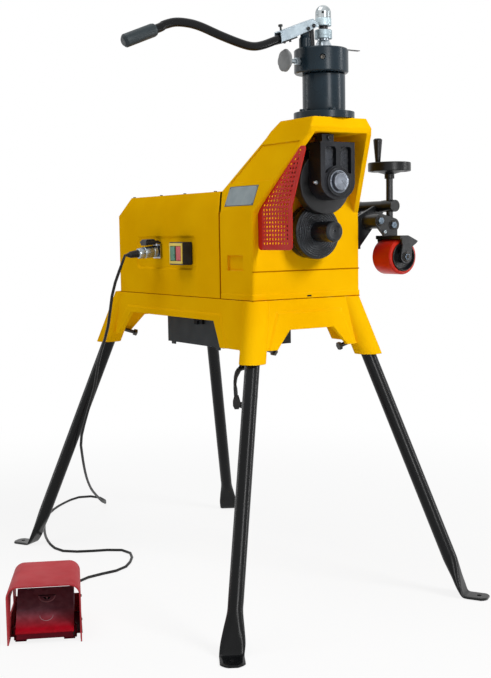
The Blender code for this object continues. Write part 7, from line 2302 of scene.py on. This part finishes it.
def roller_hub():
    """The wheel's dished body with a bearing boss, darker than its tyre."""
    near, far = ROLLER_FRONT, ROLLER_REAR
    bore = AXLE_RADIUS + GAP
    stations = [(near + 0.0040, bore), (near + 0.0040, 0.0120), (near + 0.0090, 0.0140),
                (near + 0.0095, 0.0270), (near + 0.0010, 0.0305), (near, 0.0310),
                (near, HUB_RADIUS), (far, HUB_RADIUS), (far, 0.0310), (far - 0.0095, 0.0270),
                (far - 0.0090, 0.0140), (far - 0.0040, 0.0120), (far - 0.0040, bore)]
    return turned("roller_hub", stations, (ROLLER_X, 0, ROLLER_Z), ALONG["Y"], closed=True,
                  fillet=0.0004)


def small_bolt(name, centre, direction, radius, height, material, like, hexagon=False,
               washer=0.0):
    """A screw head that stands on a surface, on a washer where it has one."""
    stations = []
    seat = 0.0
    if washer:
        seat = 0.0014
        ring = turned("washer", [(-0.0010, 0), (-0.0010, washer), (seat * 0.7, washer),
                                 (seat, washer - 0.0005), (seat, 0)], centre, direction)
        add(name + "_washer", ring, "washer_dark", like)
    if hexagon:
        stations = [(seat - 0.0008, radius * 0.3, "hex"), (seat - 0.0008, radius, "hex"),
                    (seat + height * 0.8, radius, "hex"), (seat + height, radius * 0.88, "hex"),
                    (seat + height, radius * 0.3, "hex"),
                    (seat + height - 0.0004, radius * 0.28, "hex")]
    else:
        stations = [(seat - 0.0008, 0), (seat - 0.0008, radius), (seat + height * 0.75, radius),
                    (seat + height, radius * 0.86), (seat + height, radius * 0.48),
                    (seat + height * 0.35, radius * 0.42), (seat + height * 0.35, 0)]
    if hexagon:
        head = turned(name, stations, centre, direction, closed=False)
    else:
        head = turned(name, stations, centre, direction, fillet=0.0002)
    return add(name, head, material, like)


def leaning_face(z):
    """The head's left face above the fold leans inwards."""
    share = (z - FOLD) / (WALL_TOP - FOLD)
    return -(HOUSING_HALF_WIDTH + (WALL_TOP_HALF_WIDTH - HOUSING_HALF_WIDTH) * share)


def plate_piece(rear, front, foot, top, low, high):
    lean = Vector((-(WALL_TOP - FOLD), 0, HOUSING_HALF_WIDTH - WALL_TOP_HALF_WIDTH)).normalized()
    rings = []
    for lift in (low, high):
        rings.append([Vector((leaning_face(z), y, z)) + lean * lift
                      for y, z in ((rear, foot), (front, foot), (front, top), (rear, top))])
    return solid("plate", skin(rings))


def nameplate():
    """The bare plate on the head's left face, with a dark border and four rivets."""
    rear, front, foot, top = -0.2335, -0.3500, 0.9305, 0.9755
    add("plate_border", plate_piece(rear, front, foot, top, -0.0004, 0.0007), "plate_edge",
        "head_casting", 0.0003)
    inset = 0.0016
    add("plate_face", plate_piece(rear - inset, front + inset, foot + inset, top - inset,
                                  0.0003, 0.0011), "plate_metal", "head_casting", 0.0002)
    lean = Vector((-(WALL_TOP - FOLD), 0, HOUSING_HALF_WIDTH - WALL_TOP_HALF_WIDTH)).normalized()
    for number, (y, z) in enumerate(((rear - 0.004, foot + 0.004), (front + 0.004, foot + 0.004),
                                     (front + 0.004, top - 0.004), (rear - 0.004, top - 0.004))):
        centre = Vector((leaning_face(z), y, z)) + lean * 0.0010
        stations = [(-0.0006, 0), (-0.0006, 0.0017), (0.0003, 0.0016), (0.0008, 0.0009),
                    (0.0010, 0)]
        add("plate_rivet_%d" % number, turned("rivet", stations, centre, lean), "plate_edge",
            "head_casting")


def seams():
    """The dark joint between the head with its cover and the deck."""
    width = HOUSING_HALF_WIDTH + 0.0002
    low, high = DECK_TOP - 0.0002, DECK_TOP + 0.0019
    rear = COVER_REAR + 0.0002
    front = HEAD_FRONT - 0.0002
    frame_piece = block("joint", (-width, front, low), (width, rear, high))
    cut(frame_piece, block("room", (-width + 0.004, front + 0.004, low - OVERRUN),
                           (width - 0.004, rear - 0.004, high + OVERRUN)))
    add("deck_joint", frame_piece, "seam_and_groove_shade_brown", "rear_cover")
    seam = 0.0013
    for side in SIDES.values():
        edges = sorted((side * (HOUSING_HALF_WIDTH + 0.0002), side * (HOUSING_HALF_WIDTH - 0.004)))
        strip_piece = block("seam", (edges[0], SEAM - seam, DECK_TOP + 0.0015),
                            (edges[1], SEAM + seam, COVER_FOLD - 0.001))
        add("cover_seam_" + ("left" if side < 0 else "right"), strip_piece, "seam_and_groove_shade_brown",
            "rear_cover")
    # A brown strip in the head's front groove: painted shade along the groove.
    groove = block("groove", (-HOUSING_HALF_WIDTH + 0.001, HEAD_FRONT - 0.0002, 0.7820),
                   (HOUSING_HALF_WIDTH - 0.001, HEAD_FRONT + 0.0020, 0.7849))
    add("head_groove", groove, "seam_and_groove_shade_brown", "head_casting")
    # A black block on the head's plinth: painted shade of a slot.
    slot = block("slot", (-0.0035, HEAD_FRONT - 0.0022, 0.7235),
                 (0.0085, HEAD_FRONT + 0.0030, 0.7268))
    add("head_slot", slot, "black_and_hole_shade", "head_casting", 0.0002)
    for number, y in enumerate((0.238, 0.092, -0.026, -0.168)):
        small_bolt("cover_screw_%d" % number, (-0.1275, y, COVER_TOP), ALONG["Z"], 0.0038,
                   0.0022, "screw_black", "rear_cover")


def raised_band(points, place, proud, bevel):
    """A panel that stands proud of a sloped wall, with sloped edges."""
    middle = Vector((sum(p[0] for p in points) / len(points), sum(p[1] for p in points)
                     / len(points)))
    rings = []
    for lift, shrink in ((-0.0045, 0.0), (-0.0002, 0.0), (proud, bevel)):
        ring = []
        for across, height in points:
            inward = Vector((middle.x - across, 0)).normalized() * shrink
            drop = shrink if height > SKIRT_FOOT + 0.01 else 0
            ring.append(place(across + inward.x, height - drop, lift))
        rings.append(ring)
    return solid("band", skin(rings))


def base_look():
    """The cast base with raised bands around its arches."""
    casting = base_casting()
    for side in SIDES.values():
        def on_side(y, height, lift, side=side):
            wall = between(BASE_TOP_HALF_WIDTH, BASE_FOOT_HALF_WIDTH, skirt_share(height))
            return Vector((side * (wall + lift), y, height))
        weld(casting, raised_band([(-0.2655, SKIRT_FOOT), (-0.2295, 0.6860), (0.2395, 0.6860),
                                   (0.2985, SKIRT_FOOT)], on_side, 0.0036, 0.0048))
    for end in LEG_DIRECTIONS.values():
        high, low = (BASE_TOP_FRONT, BASE_FOOT_FRONT) if end < 0 else (BASE_TOP_REAR,
                                                                     BASE_FOOT_REAR)

        def on_end(x, height, lift, end=end, high=high, low=low):
            return Vector((x, between(high, low, skirt_share(height)) + end * lift, height))
        weld(casting, raised_band([(-0.1240, SKIRT_FOOT), (-0.0930, 0.6930), (0.0930, 0.6930),
                                   (0.1240, SKIRT_FOOT)], on_end, 0.0036, 0.0050))
    below = SKIRT_FOOT - 0.02
    side_hole = [(-0.239, below), (-0.239, SKIRT_FOOT), (-0.203, 0.668), (0.213, 0.668),
                 (0.272, SKIRT_FOOT), (0.272, below)]
    end_hole = [(-0.100, below), (-0.100, SKIRT_FOOT), (-0.062, 0.651), (0.062, 0.651),
                (0.100, SKIRT_FOOT), (0.100, below)]
    wide, long = BASE_FOOT_HALF_WIDTH + OVERRUN, BASE_FOOT_REAR - BASE_FOOT_FRONT
    cut(casting, prism("hole", side_hole, "X", -wide, wide),
        prism("hole", end_hole, "Y", -long, long))
    return casting


def head_look():
    """The cast head with a low plinth around its foot."""
    head = head_casting()
    foot = DECK_TOP + 0.0019
    proud = 0.0016
    rings = []
    for height, out in ((foot, proud), (foot + 0.0105, proud), (foot + 0.0135, -0.0004)):
        rings.append(cornered(HOUSING_HALF_WIDTH + out, HEAD_FRONT - out, SEAM - 0.0016, height,
                              HOUSING_CORNER))
    plinth = solid("plinth", skin(rings))
    inner = [cornered(HOUSING_HALF_WIDTH - 0.003, HEAD_FRONT + 0.003, SEAM + 0.01, height,
                      HOUSING_CORNER) for height in (foot - 0.002, foot + 0.016)]
    cut(plinth, solid("inner", skin(inner)))
    weld(head, plinth)
    return head


def stand_pieces():
    nameplate()
    seams()
    dress("base_casting", base_look(), "cast_yellow", 0.0016)
    dress("electrics_box", electrics_box(), "slate_sheet", 0.0009)
    outline = [(-0.058, 0.690), (-0.022, 0.690), (-0.020, 0.646), (-0.034, 0.646),
               (-0.036, 0.656), (-0.046, 0.656), (-0.048, 0.648), (-0.060, 0.648)]
    clip = prism("clip", outline, "X", -ELECTRICS_HALF_WIDTH - 0.006, -ELECTRICS_HALF_WIDTH
                 + 0.0005)
    add("box_clip", clip, "black_and_hole_shade", "electrics_box", 0.0008)
    dress("head_casting", head_look(), "cast_yellow", 0.0020)
    dress("rear_cover", rear_cover(), "sheet_yellow", 0.0016)
    for end_name, end in LEG_DIRECTIONS.items():
        for side_name, side in SIDES.items():
            place = end_name + "_" + side_name
            dress("leg_" + place, leg_look("leg", side, end), "leg_black")
            dress("clamp_bolt_" + place, clamp_bolt("bolt", side, end), "bolt_steel")


def roll_pieces():
    dress("lower_drive_roll", lower_drive_roll(), "lower_roll_steel")
    dress("slider", slider(), "slider_slate", 0.0012)
    dress("roll_bush", roll_bush(), "pin_face")
    dress("roll_pin", roll_pin(), "pin_face")
    dress("upper_roll", upper_roll(), "upper_roll_steel")
    dress("guard", guard(), "guard_red")
    for side, low in (("left", -0.0342), ("right", 0.0070)):
        add("pocket_floor_" + side, pocket_floor(low), "slider_rough", "slider")
    small_bolt("stop_screw", (-0.0215, -0.466, 1.0725), -ALONG["Y"], 0.0052, 0.0028,
               "screw_black", "slider")
    nipple = turned("nipple", [(-0.001, 0), (-0.001, 0.0042), (0.0030, 0.0042), (0.0036, 0.0024),
                               (0.0060, 0.0020), (0.0070, 0.0030), (0.0082, 0.0024),
                               (0.0088, 0)], (-SLIDER_HALF_WIDTH, -0.4545, 0.9765), -ALONG["X"])
    add("grease_nipple", nipple, "channel_zinc", "slider")


def ring_screws(name, centre, radius, angles, head, height, material, like):
    for number, angle in enumerate(angles):
        place = Vector((math.cos(math.radians(angle)), math.sin(math.radians(angle)), 0))
        small_bolt("%s_%d" % (name, number), Vector(centre) + place * radius, ALONG["Z"], head,
                   height, material, like)


def collar_look():
    """The pump's collar with the threaded hole of its set screw."""
    collar = pump_collar()
    angle = math.radians(-124.3)
    heading = Vector((math.cos(angle), math.sin(angle), 0))
    seat = Vector((COLLAR_X, PUMP_Y, 1.2426))
    cut(collar, rod("hole", seat + heading * (COLLAR_RADIUS - 0.0065),
                    seat + heading * (COLLAR_RADIUS + 0.006), 0.0062, sides=24))
    return collar


def pump_details():
    """The pump's small screws, its collar's set screw and the lever's bolts and plate."""
    angle = math.radians(-124.3)
    heading = Vector((math.cos(angle), math.sin(angle), 0))
    seat = Vector((COLLAR_X, PUMP_Y, 1.2426)) + heading * (COLLAR_RADIUS - 0.0045)
    ring_screws("flange_screw", (0, PUMP_Y, FLANGE_TOP), 0.0572, (176, -108, -19, 72), 0.0056,
                0.0055, "pump_black", "jack_flange")
    set_screw = turned("set_screw", [(-0.003, 0), (-0.003, 0.0052), (0.0008, 0.0052),
                                     (0.0016, 0.0046), (0.0016, 0.0026), (0, 0.0024), (0, 0)],
                       seat, heading, fillet=0.0002)
    add("collar_set_screw", set_screw, "bolt_steel", "pump_collar")
    front = PUMP_Y - CHANNEL_HALF_WIDTH
    for name, x, z in (("fulcrum_bolt", FULCRUM_X, FULCRUM_Z),
                       ("plunger_bolt", PLUNGER_X, PLUNGER_PIN_Z)):
        small_bolt(name, (x, front, z), -ALONG["Y"], 0.0042, 0.0026, "screw_black",
                   "lever_channel")
    top = Vector((-0.1135, PUMP_Y, 1.2975))
    screw = turned("thumb_screw", [(0, 0), (0, 0.0022), (0.0085, 0.0022), (0.0085, 0.0042),
                                   (0.0096, 0.0048), (0.0128, 0.0048), (0.0138, 0.0036),
                                   (0.0138, 0)], top, (-0.10, 0, 1), fillet=0.0003)
    add("thumb_screw", screw, "screw_black", "lever_channel")
    outline = [(-0.1205, 1.2722), (-0.0800, 1.2868), (-0.0790, 1.2840), (-0.1190, 1.2690)]
    lug = prism("lug", outline, "Y", front - 0.0006, PUMP_Y + CHANNEL_HALF_WIDTH + 0.0006)
    add("channel_lug", lug, "screw_black", "lever_channel", 0.0005)
    for number, (x, z) in enumerate(((-0.1101, 1.2733), (-0.0954, 1.2774))):
        small_bolt("lug_screw_%d" % number, (x, PUMP_Y - 0.008, z), (0.35, 0, -1), 0.0026, 0.0030,
                   "screw_black", "lever_channel")
    neck = turned("neck", [(1.3086, 0.0090), (1.3086, 0.0100), (1.3168, 0.0100),
                           (1.3168, 0.0090)], (0, PUMP_Y, 0), ALONG["Z"], closed=True)
    add("filler_neck", neck, "screw_black", "filler_stem")
    # A black plug in the cap's vent hole: painted shade inside the hole.
    heading = Vector((math.cos(math.radians(-130)), math.sin(math.radians(-130)), 0))
    vent = Vector((0, PUMP_Y, 1.3440))
    add("vent_floor", rod("vent_floor", vent + heading * 0.0098, vent + heading * 0.0145,
                          0.0023), "black_and_hole_shade", "dome_cap")


def pump_pieces():
    pump_details()
    dress("jack_flange", jack_flange(), "pump_black", 0.0012)
    dress("jack_cylinder", jack_cylinder(), "pump_black")
    dress("pump_collar", collar_look(), "pump_black", 0.0012)
    dress("release_knob", release_knob(), "knob_plastic")
    add("knob_stem", knob_stem(), "zinc", "release_knob")
    add("knob_hexagon", knob_hexagon(), "zinc", "release_knob")
    dress("filler_stem", filler_stem(), "stem_zinc")
    dress("dome_cap", dome_cap(), "cap_white")
    dress("pointer", pointer(), "screw_black", 0.0004)
    dress("pump_plunger", pump_plunger(), "pump_black", 0.0004)
    dress("fulcrum_link", fulcrum_link(), "steady_black", 0.0005)
    dress("lever_channel", lever_channel(), "channel_zinc", 0.0005)
    dress("handle_tube", handle_tube(), "leg_black")
    dress("handle_grip", handle_grip(), "grip_rubber")


def steady_pieces():
    dress("steady_bracket", steady_bracket(), "steady_black", 0.0009)
    dress("steady_fork", steady_fork(), "steady_black", 0.0007)
    dress("roller_axle", roller_axle(), "washer_dark")
    dress("roller_hub", roller_hub(), "steady_black")
    small_bolt("axle_nut", (ROLLER_X, ROLLER_FRONT - ROLLER_ROOM - FORK_PLATE - 0.0012, ROLLER_Z),
               -ALONG["Y"], 0.0068, 0.0040, "hex_blue", "steady_fork", True)
    rim = turned("rim", [(-0.0006, 0.0308), (-0.0006, 0.0332), (0.0010, 0.0334),
                         (0.0010, 0.0306)], (ROLLER_X, ROLLER_FRONT, ROLLER_Z), ALONG["Y"],
                 closed=True, fillet=0.0002)
    add("roller_rim", rim, "washer_dark", "roller_hub")
    for name, x, z, radius, washer in (("swing_bolt", 0.173, 0.893, 0.0078, 0.0118),
                                       ("link_bolt", 0.2125, 0.8829, 0.0074, 0.0112)):
        small_bolt(name, (x, LINK_FRONT, z), -ALONG["Y"], radius, 0.0045, "hex_blue",
                   "steady_fork", True, washer)
    small_bolt("stop_bolt", (0.187, LINK_FRONT, 0.8677), -ALONG["Y"], 0.0042, 0.0030, "zinc",
               "steady_fork", True)
    dress("roller_tyre", roller_tyre(), "tyre_red")
    dress("screw_clevis", screw_clevis(), "bolt_steel", 0.0005)
    dress("steady_screw", steady_screw(), "screw_black")
    dress("handwheel", handwheel(), "wheel_plastic", 0.0007)
    dress("wheel_grip", wheel_grip(), "wheel_plastic")


def control_pieces():
    back = -HOUSING_HALF_WIDTH + PRESSED_DEPTH - 0.0002
    housing = switch_housing()
    weld(housing, block("back", (PANEL_X - 0.002, SWITCH_FRONT + 0.002, SWITCH_FOOT + 0.002),
                        (back, SWITCH_REAR - 0.002, SWITCH_TOP - 0.002)))
    dress("switch_housing", housing, "black_plastic", 0.0008)
    middle = between(SWITCH_FOOT, SWITCH_TOP, 1 / 2)
    bezel = block("bezel", (CONTROL_X - 0.0026, SWITCH_FRONT + 0.0015, SWITCH_FOOT + 0.0030),
                  (CONTROL_X + 0.001, SWITCH_REAR - 0.0015, SWITCH_TOP - 0.0025))
    bays = button_bays()
    room = 0.0010
    cut(bezel, block("opening", (CONTROL_X - OVERRUN, bays["stop_button"][0] - room,
                                 middle - BUTTON_HEIGHT / 2 - room),
                     (CONTROL_X + OVERRUN, bays["start_button"][1] + room,
                      middle + BUTTON_HEIGHT / 2 + room)))
    add("switch_bezel", bezel, "frame_yellow", "switch_housing", 0.0006)
    flange_back = block("flange_back", (PANEL_X - 0.002, SOCKET_Y - FLANGE_HALF + 0.001,
                                        SOCKET_Z - FLANGE_HALF + 0.001),
                        (back, SOCKET_Y + FLANGE_HALF - 0.001, SOCKET_Z + FLANGE_HALF - 0.001))
    add("flange_back", flange_back, "chrome", "panel_socket", 0.0004)
    dress("start_button", button("start_button"), "green_plastic", 0.0006)
    dress("stop_button", button("stop_button"), "red_plastic", 0.0006)
    dress("panel_socket", panel_socket(), "chrome")
    dress("socket_lid", socket_lid(), "black_plastic", 0.0006)
    slope = math.radians(-3)
    hinge = Vector((PANEL_X - FLANGE_THICKNESS / 2, SOCKET_Y, SOCKET_Z + FLANGE_HALF + 0.003))
    heading = Vector((-math.cos(slope), 0, math.sin(slope)))
    rise = Vector((math.sin(slope), 0, math.cos(slope)))
    corners = [hinge + heading * along + rise * up
               for along, up in ((0.011, -0.0052), (0.0395, -0.0052), (0.0400, 0.0040),
                                 (0.0370, 0.0086), (0.0150, 0.0086), (0.0110, 0.0050))]
    cup = prism("cup", [(corner.x, corner.z) for corner in corners], "Y", SOCKET_Y - 0.0140,
                SOCKET_Y + 0.0140)
    add("lid_cup", cup, "black_plastic", "socket_lid", 0.0010)
    for number in range(5):
        centre = hinge + heading * (0.016 + 0.0046 * number) + rise * 0.0086
        ridge = rod("ridge", centre - ALONG["Y"] * 0.0150, centre + ALONG["Y"] * 0.0150, 0.0012)
        add("lid_ridge_%d" % number, ridge, "black_plastic", "socket_lid")


def on_treadle(obj):
    """Moves a piece drawn flat, with Y up the slope, onto the treadle's upper face."""
    slope = math.atan2(0.065, 0.102)
    obj.data.transform(Matrix.Translation((0.0030, 0.006, 0.025)) @ Matrix.Rotation(slope, 4, "X"))
    return in_pedal_frame(obj)


def half_ring(centre, outer, inner):
    points = arc((0, centre), outer, 180, 360, 8)
    return points + arc((0, centre), inner, 360, 180, 8)


def treadle_marks():
    """The pressed mark with its tab, and the raised half ring below it."""
    slope = math.cos(math.atan2(0.065, 0.102))
    top = (0.0895 - 0.006) / slope
    low = (0.0422 - 0.006) / slope
    bar = prism("bar", [(-0.0195, top), (0.0195, top), (0.0195, top - 0.0020),
                        (-0.0195, top - 0.0020)], "Z", -0.0004, 0.0004)
    bow = prism("bow", half_ring(top - 0.001, 0.0195, 0.0168), "Z", -0.0004, 0.0004)
    tab = prism("tab", [(-0.0085, top - 0.0055), (0.0085, top - 0.0055), (0.0040, top - 0.0125),
                        (-0.0040, top - 0.0125)], "Z", -0.0004, 0.0005)
    eye = prism("eye", arc((0, top - 0.0085), 0.0022, 0, 345, 6), "Z", -0.0002, 0.0010)
    ring = prism("ring", half_ring(low, 0.0150, 0.0136), "Z", -0.0004, 0.0006)
    for name, piece, material in (("mark_bar", bar, "black_and_hole_shade"), ("mark_bow", bow, "mark_grey"),
                                  ("mark_tab", tab, "black_and_hole_shade"), ("mark_eye", eye, "mark_grey"),
                                  ("mark_ring", ring, "mark_grey")):
        add(name, on_treadle(piece), material, "treadle")


def hood_bolts():
    """The two screw heads on the hood's right side."""
    for number, (y, z) in enumerate(((0.040, 0.036), (0.012, 0.098))):
        stations = [(-0.001, 0), (-0.001, 0.0032), (0.0014, 0.0030), (0.0020, 0.0016),
                    (0.0021, 0)]
        place = (HOOD_HALF_WIDTH - (HOOD_HALF_WIDTH - HOOD_REAR_HALF_WIDTH) * y / HOOD_DEPTH, y, z)
        head = turned("hood_bolt", stations, place, ALONG["X"])
        add("hood_bolt_%d" % number, in_pedal_frame(head), "bolt_steel", "pedal_hood")


def split_across(obj, depth):
    """Divides every face that crosses a plane square to Y, so that none bends round a gap."""
    mesh = bmesh.new()
    mesh.from_mesh(obj.data)
    bmesh.ops.bisect_plane(mesh, geom=mesh.verts[:] + mesh.edges[:] + mesh.faces[:],
                           plane_co=(0, depth, 0), plane_no=(0, 1, 0))
    mesh.to_mesh(obj.data)
    mesh.free()


def pedal_pieces():
    treadle_marks()
    hood_bolts()
    # The plate and the apron take the pedal's red darkened as painted shade.
    base = pedal_base()
    cut(base, block("notch", (-0.0385, 0.010, -OVERRUN), (0.0385, 0.0360, 0.02)))
    dress("pedal_base", in_pedal_frame(base), "base_crimson_shaded", 0.0008)
    apron = block("apron", (-0.0600, 0.0045, 0.0105), (0.0600, 0.0060, 0.0215))
    add("treadle_apron", in_pedal_frame(apron), "base_crimson_shaded", "treadle", 0.0004)
    hood = pedal_hood()
    soften(hood, 0.0010)
    for depth in (0.080, HOOD_DEPTH - HOOD_WALL - 0.0015):
        split_across(hood, depth)
    dress("pedal_hood", in_pedal_frame(hood), "hood_red")
    dress("treadle", in_pedal_frame(treadle()), "treadle_red", 0.0008)
    dress("pedal_switch", in_pedal_frame(pedal_switch()), "black_plastic", 0.0006)


def plug_barrel():
    """The plug's bright barrel with its grip rings."""
    start = plug_start()
    run = CORD_EXIT - start
    stations = [(0, 0), (0, 0.0140), (0.0010, 0.0150), (0.0090, 0.0150), (0.0098, 0.0138),
                (0.0110, 0.0138), (0.0118, 0.0148), (0.0330, 0.0145), (0.0340, 0.0132),
                (0.0352, 0.0132), (0.0362, 0.0142), (0.0500, 0.0128), (0.0516, 0.0110),
                (0.0516, 0)]
    return turned("cord_plug", stations, start, run, fillet=0.0003)


def plug_tail():
    """The plug's ribbed black tail."""
    start = plug_start()
    run = CORD_EXIT - start
    length = run.length - GAP
    seat = 0.0510
    stations = [(seat, 0), (seat, 0.0100)]
    ribs = 4
    reach = length - seat - 0.004
    for rib in range(ribs):
        near = seat + reach * rib / ribs
        far = seat + reach * (rib + 0.62) / ribs
        radius = 0.0098 - 0.0020 * rib / ribs
        stations += [(near + 0.0002, radius), (far, radius - 0.0003), (far + 0.0002,
                                                                     radius - 0.0014),
                     (seat + reach * (rib + 1) / ribs, radius - 0.0015)]
    stations += [(length, 0.0050), (length, 0)]
    return turned("plug_tail", stations, start, run, fillet=0.0002)


def cords():
    """The pedal's cord from end to end, and the mains lead wound in its hank."""
    lead = pedal_cord()
    plug = plug_barrel()
    tail = plug_tail()
    gland = in_pedal_frame(pedal_gland())
    for obj in (lead, plug, tail, gland):
        obj.data.transform(Matrix.Translation(MACHINE))
    mains = mains_hank()
    mains_end = mains_plug()
    mains_start = mains_gland()
    for obj in (mains, mains_end, mains_start):
        obj.data.transform(Matrix.Translation(MACHINE))
    dressed = {"pedal_cord": lead, "cord_plug": plug, "pedal_gland": gland, "mains_hank": mains,
               "mains_plug": mains_end, "mains_gland": mains_start}
    for node, obj in dressed.items():
        obj.data.materials.clear()
        finish = "zinc" if node == "cord_plug" else "cord_black"
        obj.data.materials.append(MATERIALS[finish])
        obj.name = node + "_look"
        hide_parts(node)
        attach(obj, BODY_OF[node])
    tail.data.materials.clear()
    tail.data.materials.append(MATERIALS["cord_black"])
    tail.name = "plug_tail"
    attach(tail, BODY_OF["cord_plug"])


# Materials of the solids that stay as the frame has them
def hidden_pieces():
    for node, material in (("drive_shaft", "bright_steel"), ("drive_gear", "bolt_steel"),
                           ("front_bearing", "bright_steel"), ("motor_pinion", "bolt_steel"),
                           ("gear_motor", "motor_iron"), ("jack_ram", "bright_steel")):
        obj = frame["nodes"][node]
        for index in range(max(1, len(obj.material_slots))):
            if obj.material_slots:
                obj.material_slots[index].material = MATERIALS[material]
            else:
                obj.data.materials.append(MATERIALS[material])


# Studio
def stage():
    """A pale floor that fades to the white backdrop, under soft studio light."""
    size = 30.0
    mesh = bpy.data.meshes.new("floor")
    bm = bmesh.new()
    bmesh.ops.create_grid(bm, x_segments=2, y_segments=2, size=size)
    bm.to_mesh(mesh)
    bm.free()
    floor = bpy.data.objects.new("floor", mesh)
    floor.location = (0, 0, -0.0004)
    bpy.context.scene.collection.objects.link(floor)
    material = bpy.data.materials.new("floor_white")
    material.use_nodes = True
    tree = material.node_tree
    tree.nodes.clear()
    output = tree.nodes.new("ShaderNodeOutputMaterial")
    mix = tree.nodes.new("ShaderNodeMixShader")
    diffuse = tree.nodes.new("ShaderNodeBsdfDiffuse")
    diffuse.inputs["Color"].default_value = (0.86, 0.86, 0.86, 1)
    glow = tree.nodes.new("ShaderNodeEmission")
    path = tree.nodes.new("ShaderNodeLightPath")
    seen = tree.nodes.new("ShaderNodeMath")
    seen.operation = "MAXIMUM"
    seen_all = tree.nodes.new("ShaderNodeMath")
    seen_all.operation = "MAXIMUM"
    tree.links.new(path.outputs["Is Camera Ray"], seen.inputs[0])
    tree.links.new(path.outputs["Is Glossy Ray"], seen.inputs[1])
    tree.links.new(seen.outputs["Value"], seen_all.inputs[0])
    tree.links.new(path.outputs["Is Transmission Ray"], seen_all.inputs[1])
    place = tree.nodes.new("ShaderNodeTexCoord")
    length = tree.nodes.new("ShaderNodeVectorMath")
    length.operation = "LENGTH"
    tree.links.new(place.outputs["Object"], length.inputs[0])
    fade = tree.nodes.new("ShaderNodeMapRange")
    fade.interpolation_type = "SMOOTHSTEP"
    fade.inputs["From Min"].default_value = 0.8
    fade.inputs["From Max"].default_value = 2.4
    fade.inputs["To Min"].default_value = 0.86
    fade.inputs["To Max"].default_value = 1.0
    tree.links.new(length.outputs["Value"], fade.inputs["Value"])
    share = tree.nodes.new("ShaderNodeMath")
    share.operation = "MULTIPLY"
    tree.links.new(seen_all.outputs["Value"], share.inputs[0])
    tree.links.new(fade.outputs["Result"], share.inputs[1])
    tree.links.new(share.outputs["Value"], mix.inputs["Fac"])
    tree.links.new(diffuse.outputs["BSDF"], mix.inputs[1])
    tree.links.new(glow.outputs["Emission"], mix.inputs[2])
    tree.links.new(mix.outputs["Shader"], output.inputs["Surface"])
    mesh.materials.append(material)

    world = bpy.data.worlds.new("studio")
    bpy.context.scene.world = world
    world.use_nodes = True
    tree = world.node_tree
    tree.nodes.clear()
    output = tree.nodes.new("ShaderNodeOutputWorld")
    mix = tree.nodes.new("ShaderNodeMixShader")
    soft = tree.nodes.new("ShaderNodeBackground")
    soft.inputs["Strength"].default_value = WORLD_LIGHT
    backdrop = tree.nodes.new("ShaderNodeBackground")
    for node in (soft, backdrop):
        node.inputs["Color"].default_value = (1, 1, 1, 1)
    path = tree.nodes.new("ShaderNodeLightPath")
    seen = tree.nodes.new("ShaderNodeMath")
    seen.operation = "MAXIMUM"
    seen_all = tree.nodes.new("ShaderNodeMath")
    seen_all.operation = "MAXIMUM"
    tree.links.new(path.outputs["Is Camera Ray"], seen.inputs[0])
    tree.links.new(path.outputs["Is Glossy Ray"], seen.inputs[1])
    tree.links.new(seen.outputs["Value"], seen_all.inputs[0])
    tree.links.new(path.outputs["Is Transmission Ray"], seen_all.inputs[1])
    tree.links.new(seen_all.outputs["Value"], mix.inputs["Fac"])
    tree.links.new(soft.outputs["Background"], mix.inputs[1])
    tree.links.new(backdrop.outputs["Background"], mix.inputs[2])
    tree.links.new(mix.outputs["Shader"], output.inputs["Surface"])


WORLD_LIGHT = 0.30


def lamp(name, place, target, size, power):
    data = bpy.data.lights.new(name, "AREA")
    data.shape = "RECTANGLE"
    data.size, data.size_y = size
    data.energy = power
    obj = bpy.data.objects.new(name, data)
    bpy.context.scene.collection.objects.link(obj)
    direction = Vector(target) - Vector(place)
    obj.matrix_world = (Matrix.Translation(Vector(place))
                        @ direction.to_track_quat("-Z", "Y").to_matrix().to_4x4())


def strip(name, place, target, width, height, power):
    """A tall narrow light that only glossy surfaces see, as a long streak."""
    lamp(name, place, target, (width, height), power)
    obj = bpy.data.objects[name]
    obj.visible_diffuse = False


def lights():
    strip("rear_strip", (-1.6, 1.65, 1.1), (0, -0.42, 1.1), 0.20, 2.2, 8)
    strip("front_strip", (-0.20, -3.0, 1.2), (0, -0.42, 1.1), 0.55, 2.4, 46)
    strip("side_strip", (2.2, -1.8, 1.1), (0, -0.42, 1.1), 0.26, 2.2, 22)
    lamp("key", (0.9, -3.2, 3.0), (0.1, -0.1, 0.85), (1.2, 1.2), 100)
    bpy.data.objects["key"].visible_glossy = False
    lamp("top", (-1.2, 0.0, 3.4), (0.1, 0, 0.9), (1.9, 1.9), 32)


cords()
stand_pieces()
roll_pieces()
pump_pieces()
steady_pieces()
control_pieces()
pedal_pieces()
hidden_pieces()
stage()
lights()
bpy.context.scene.view_settings.view_transform = "Standard"
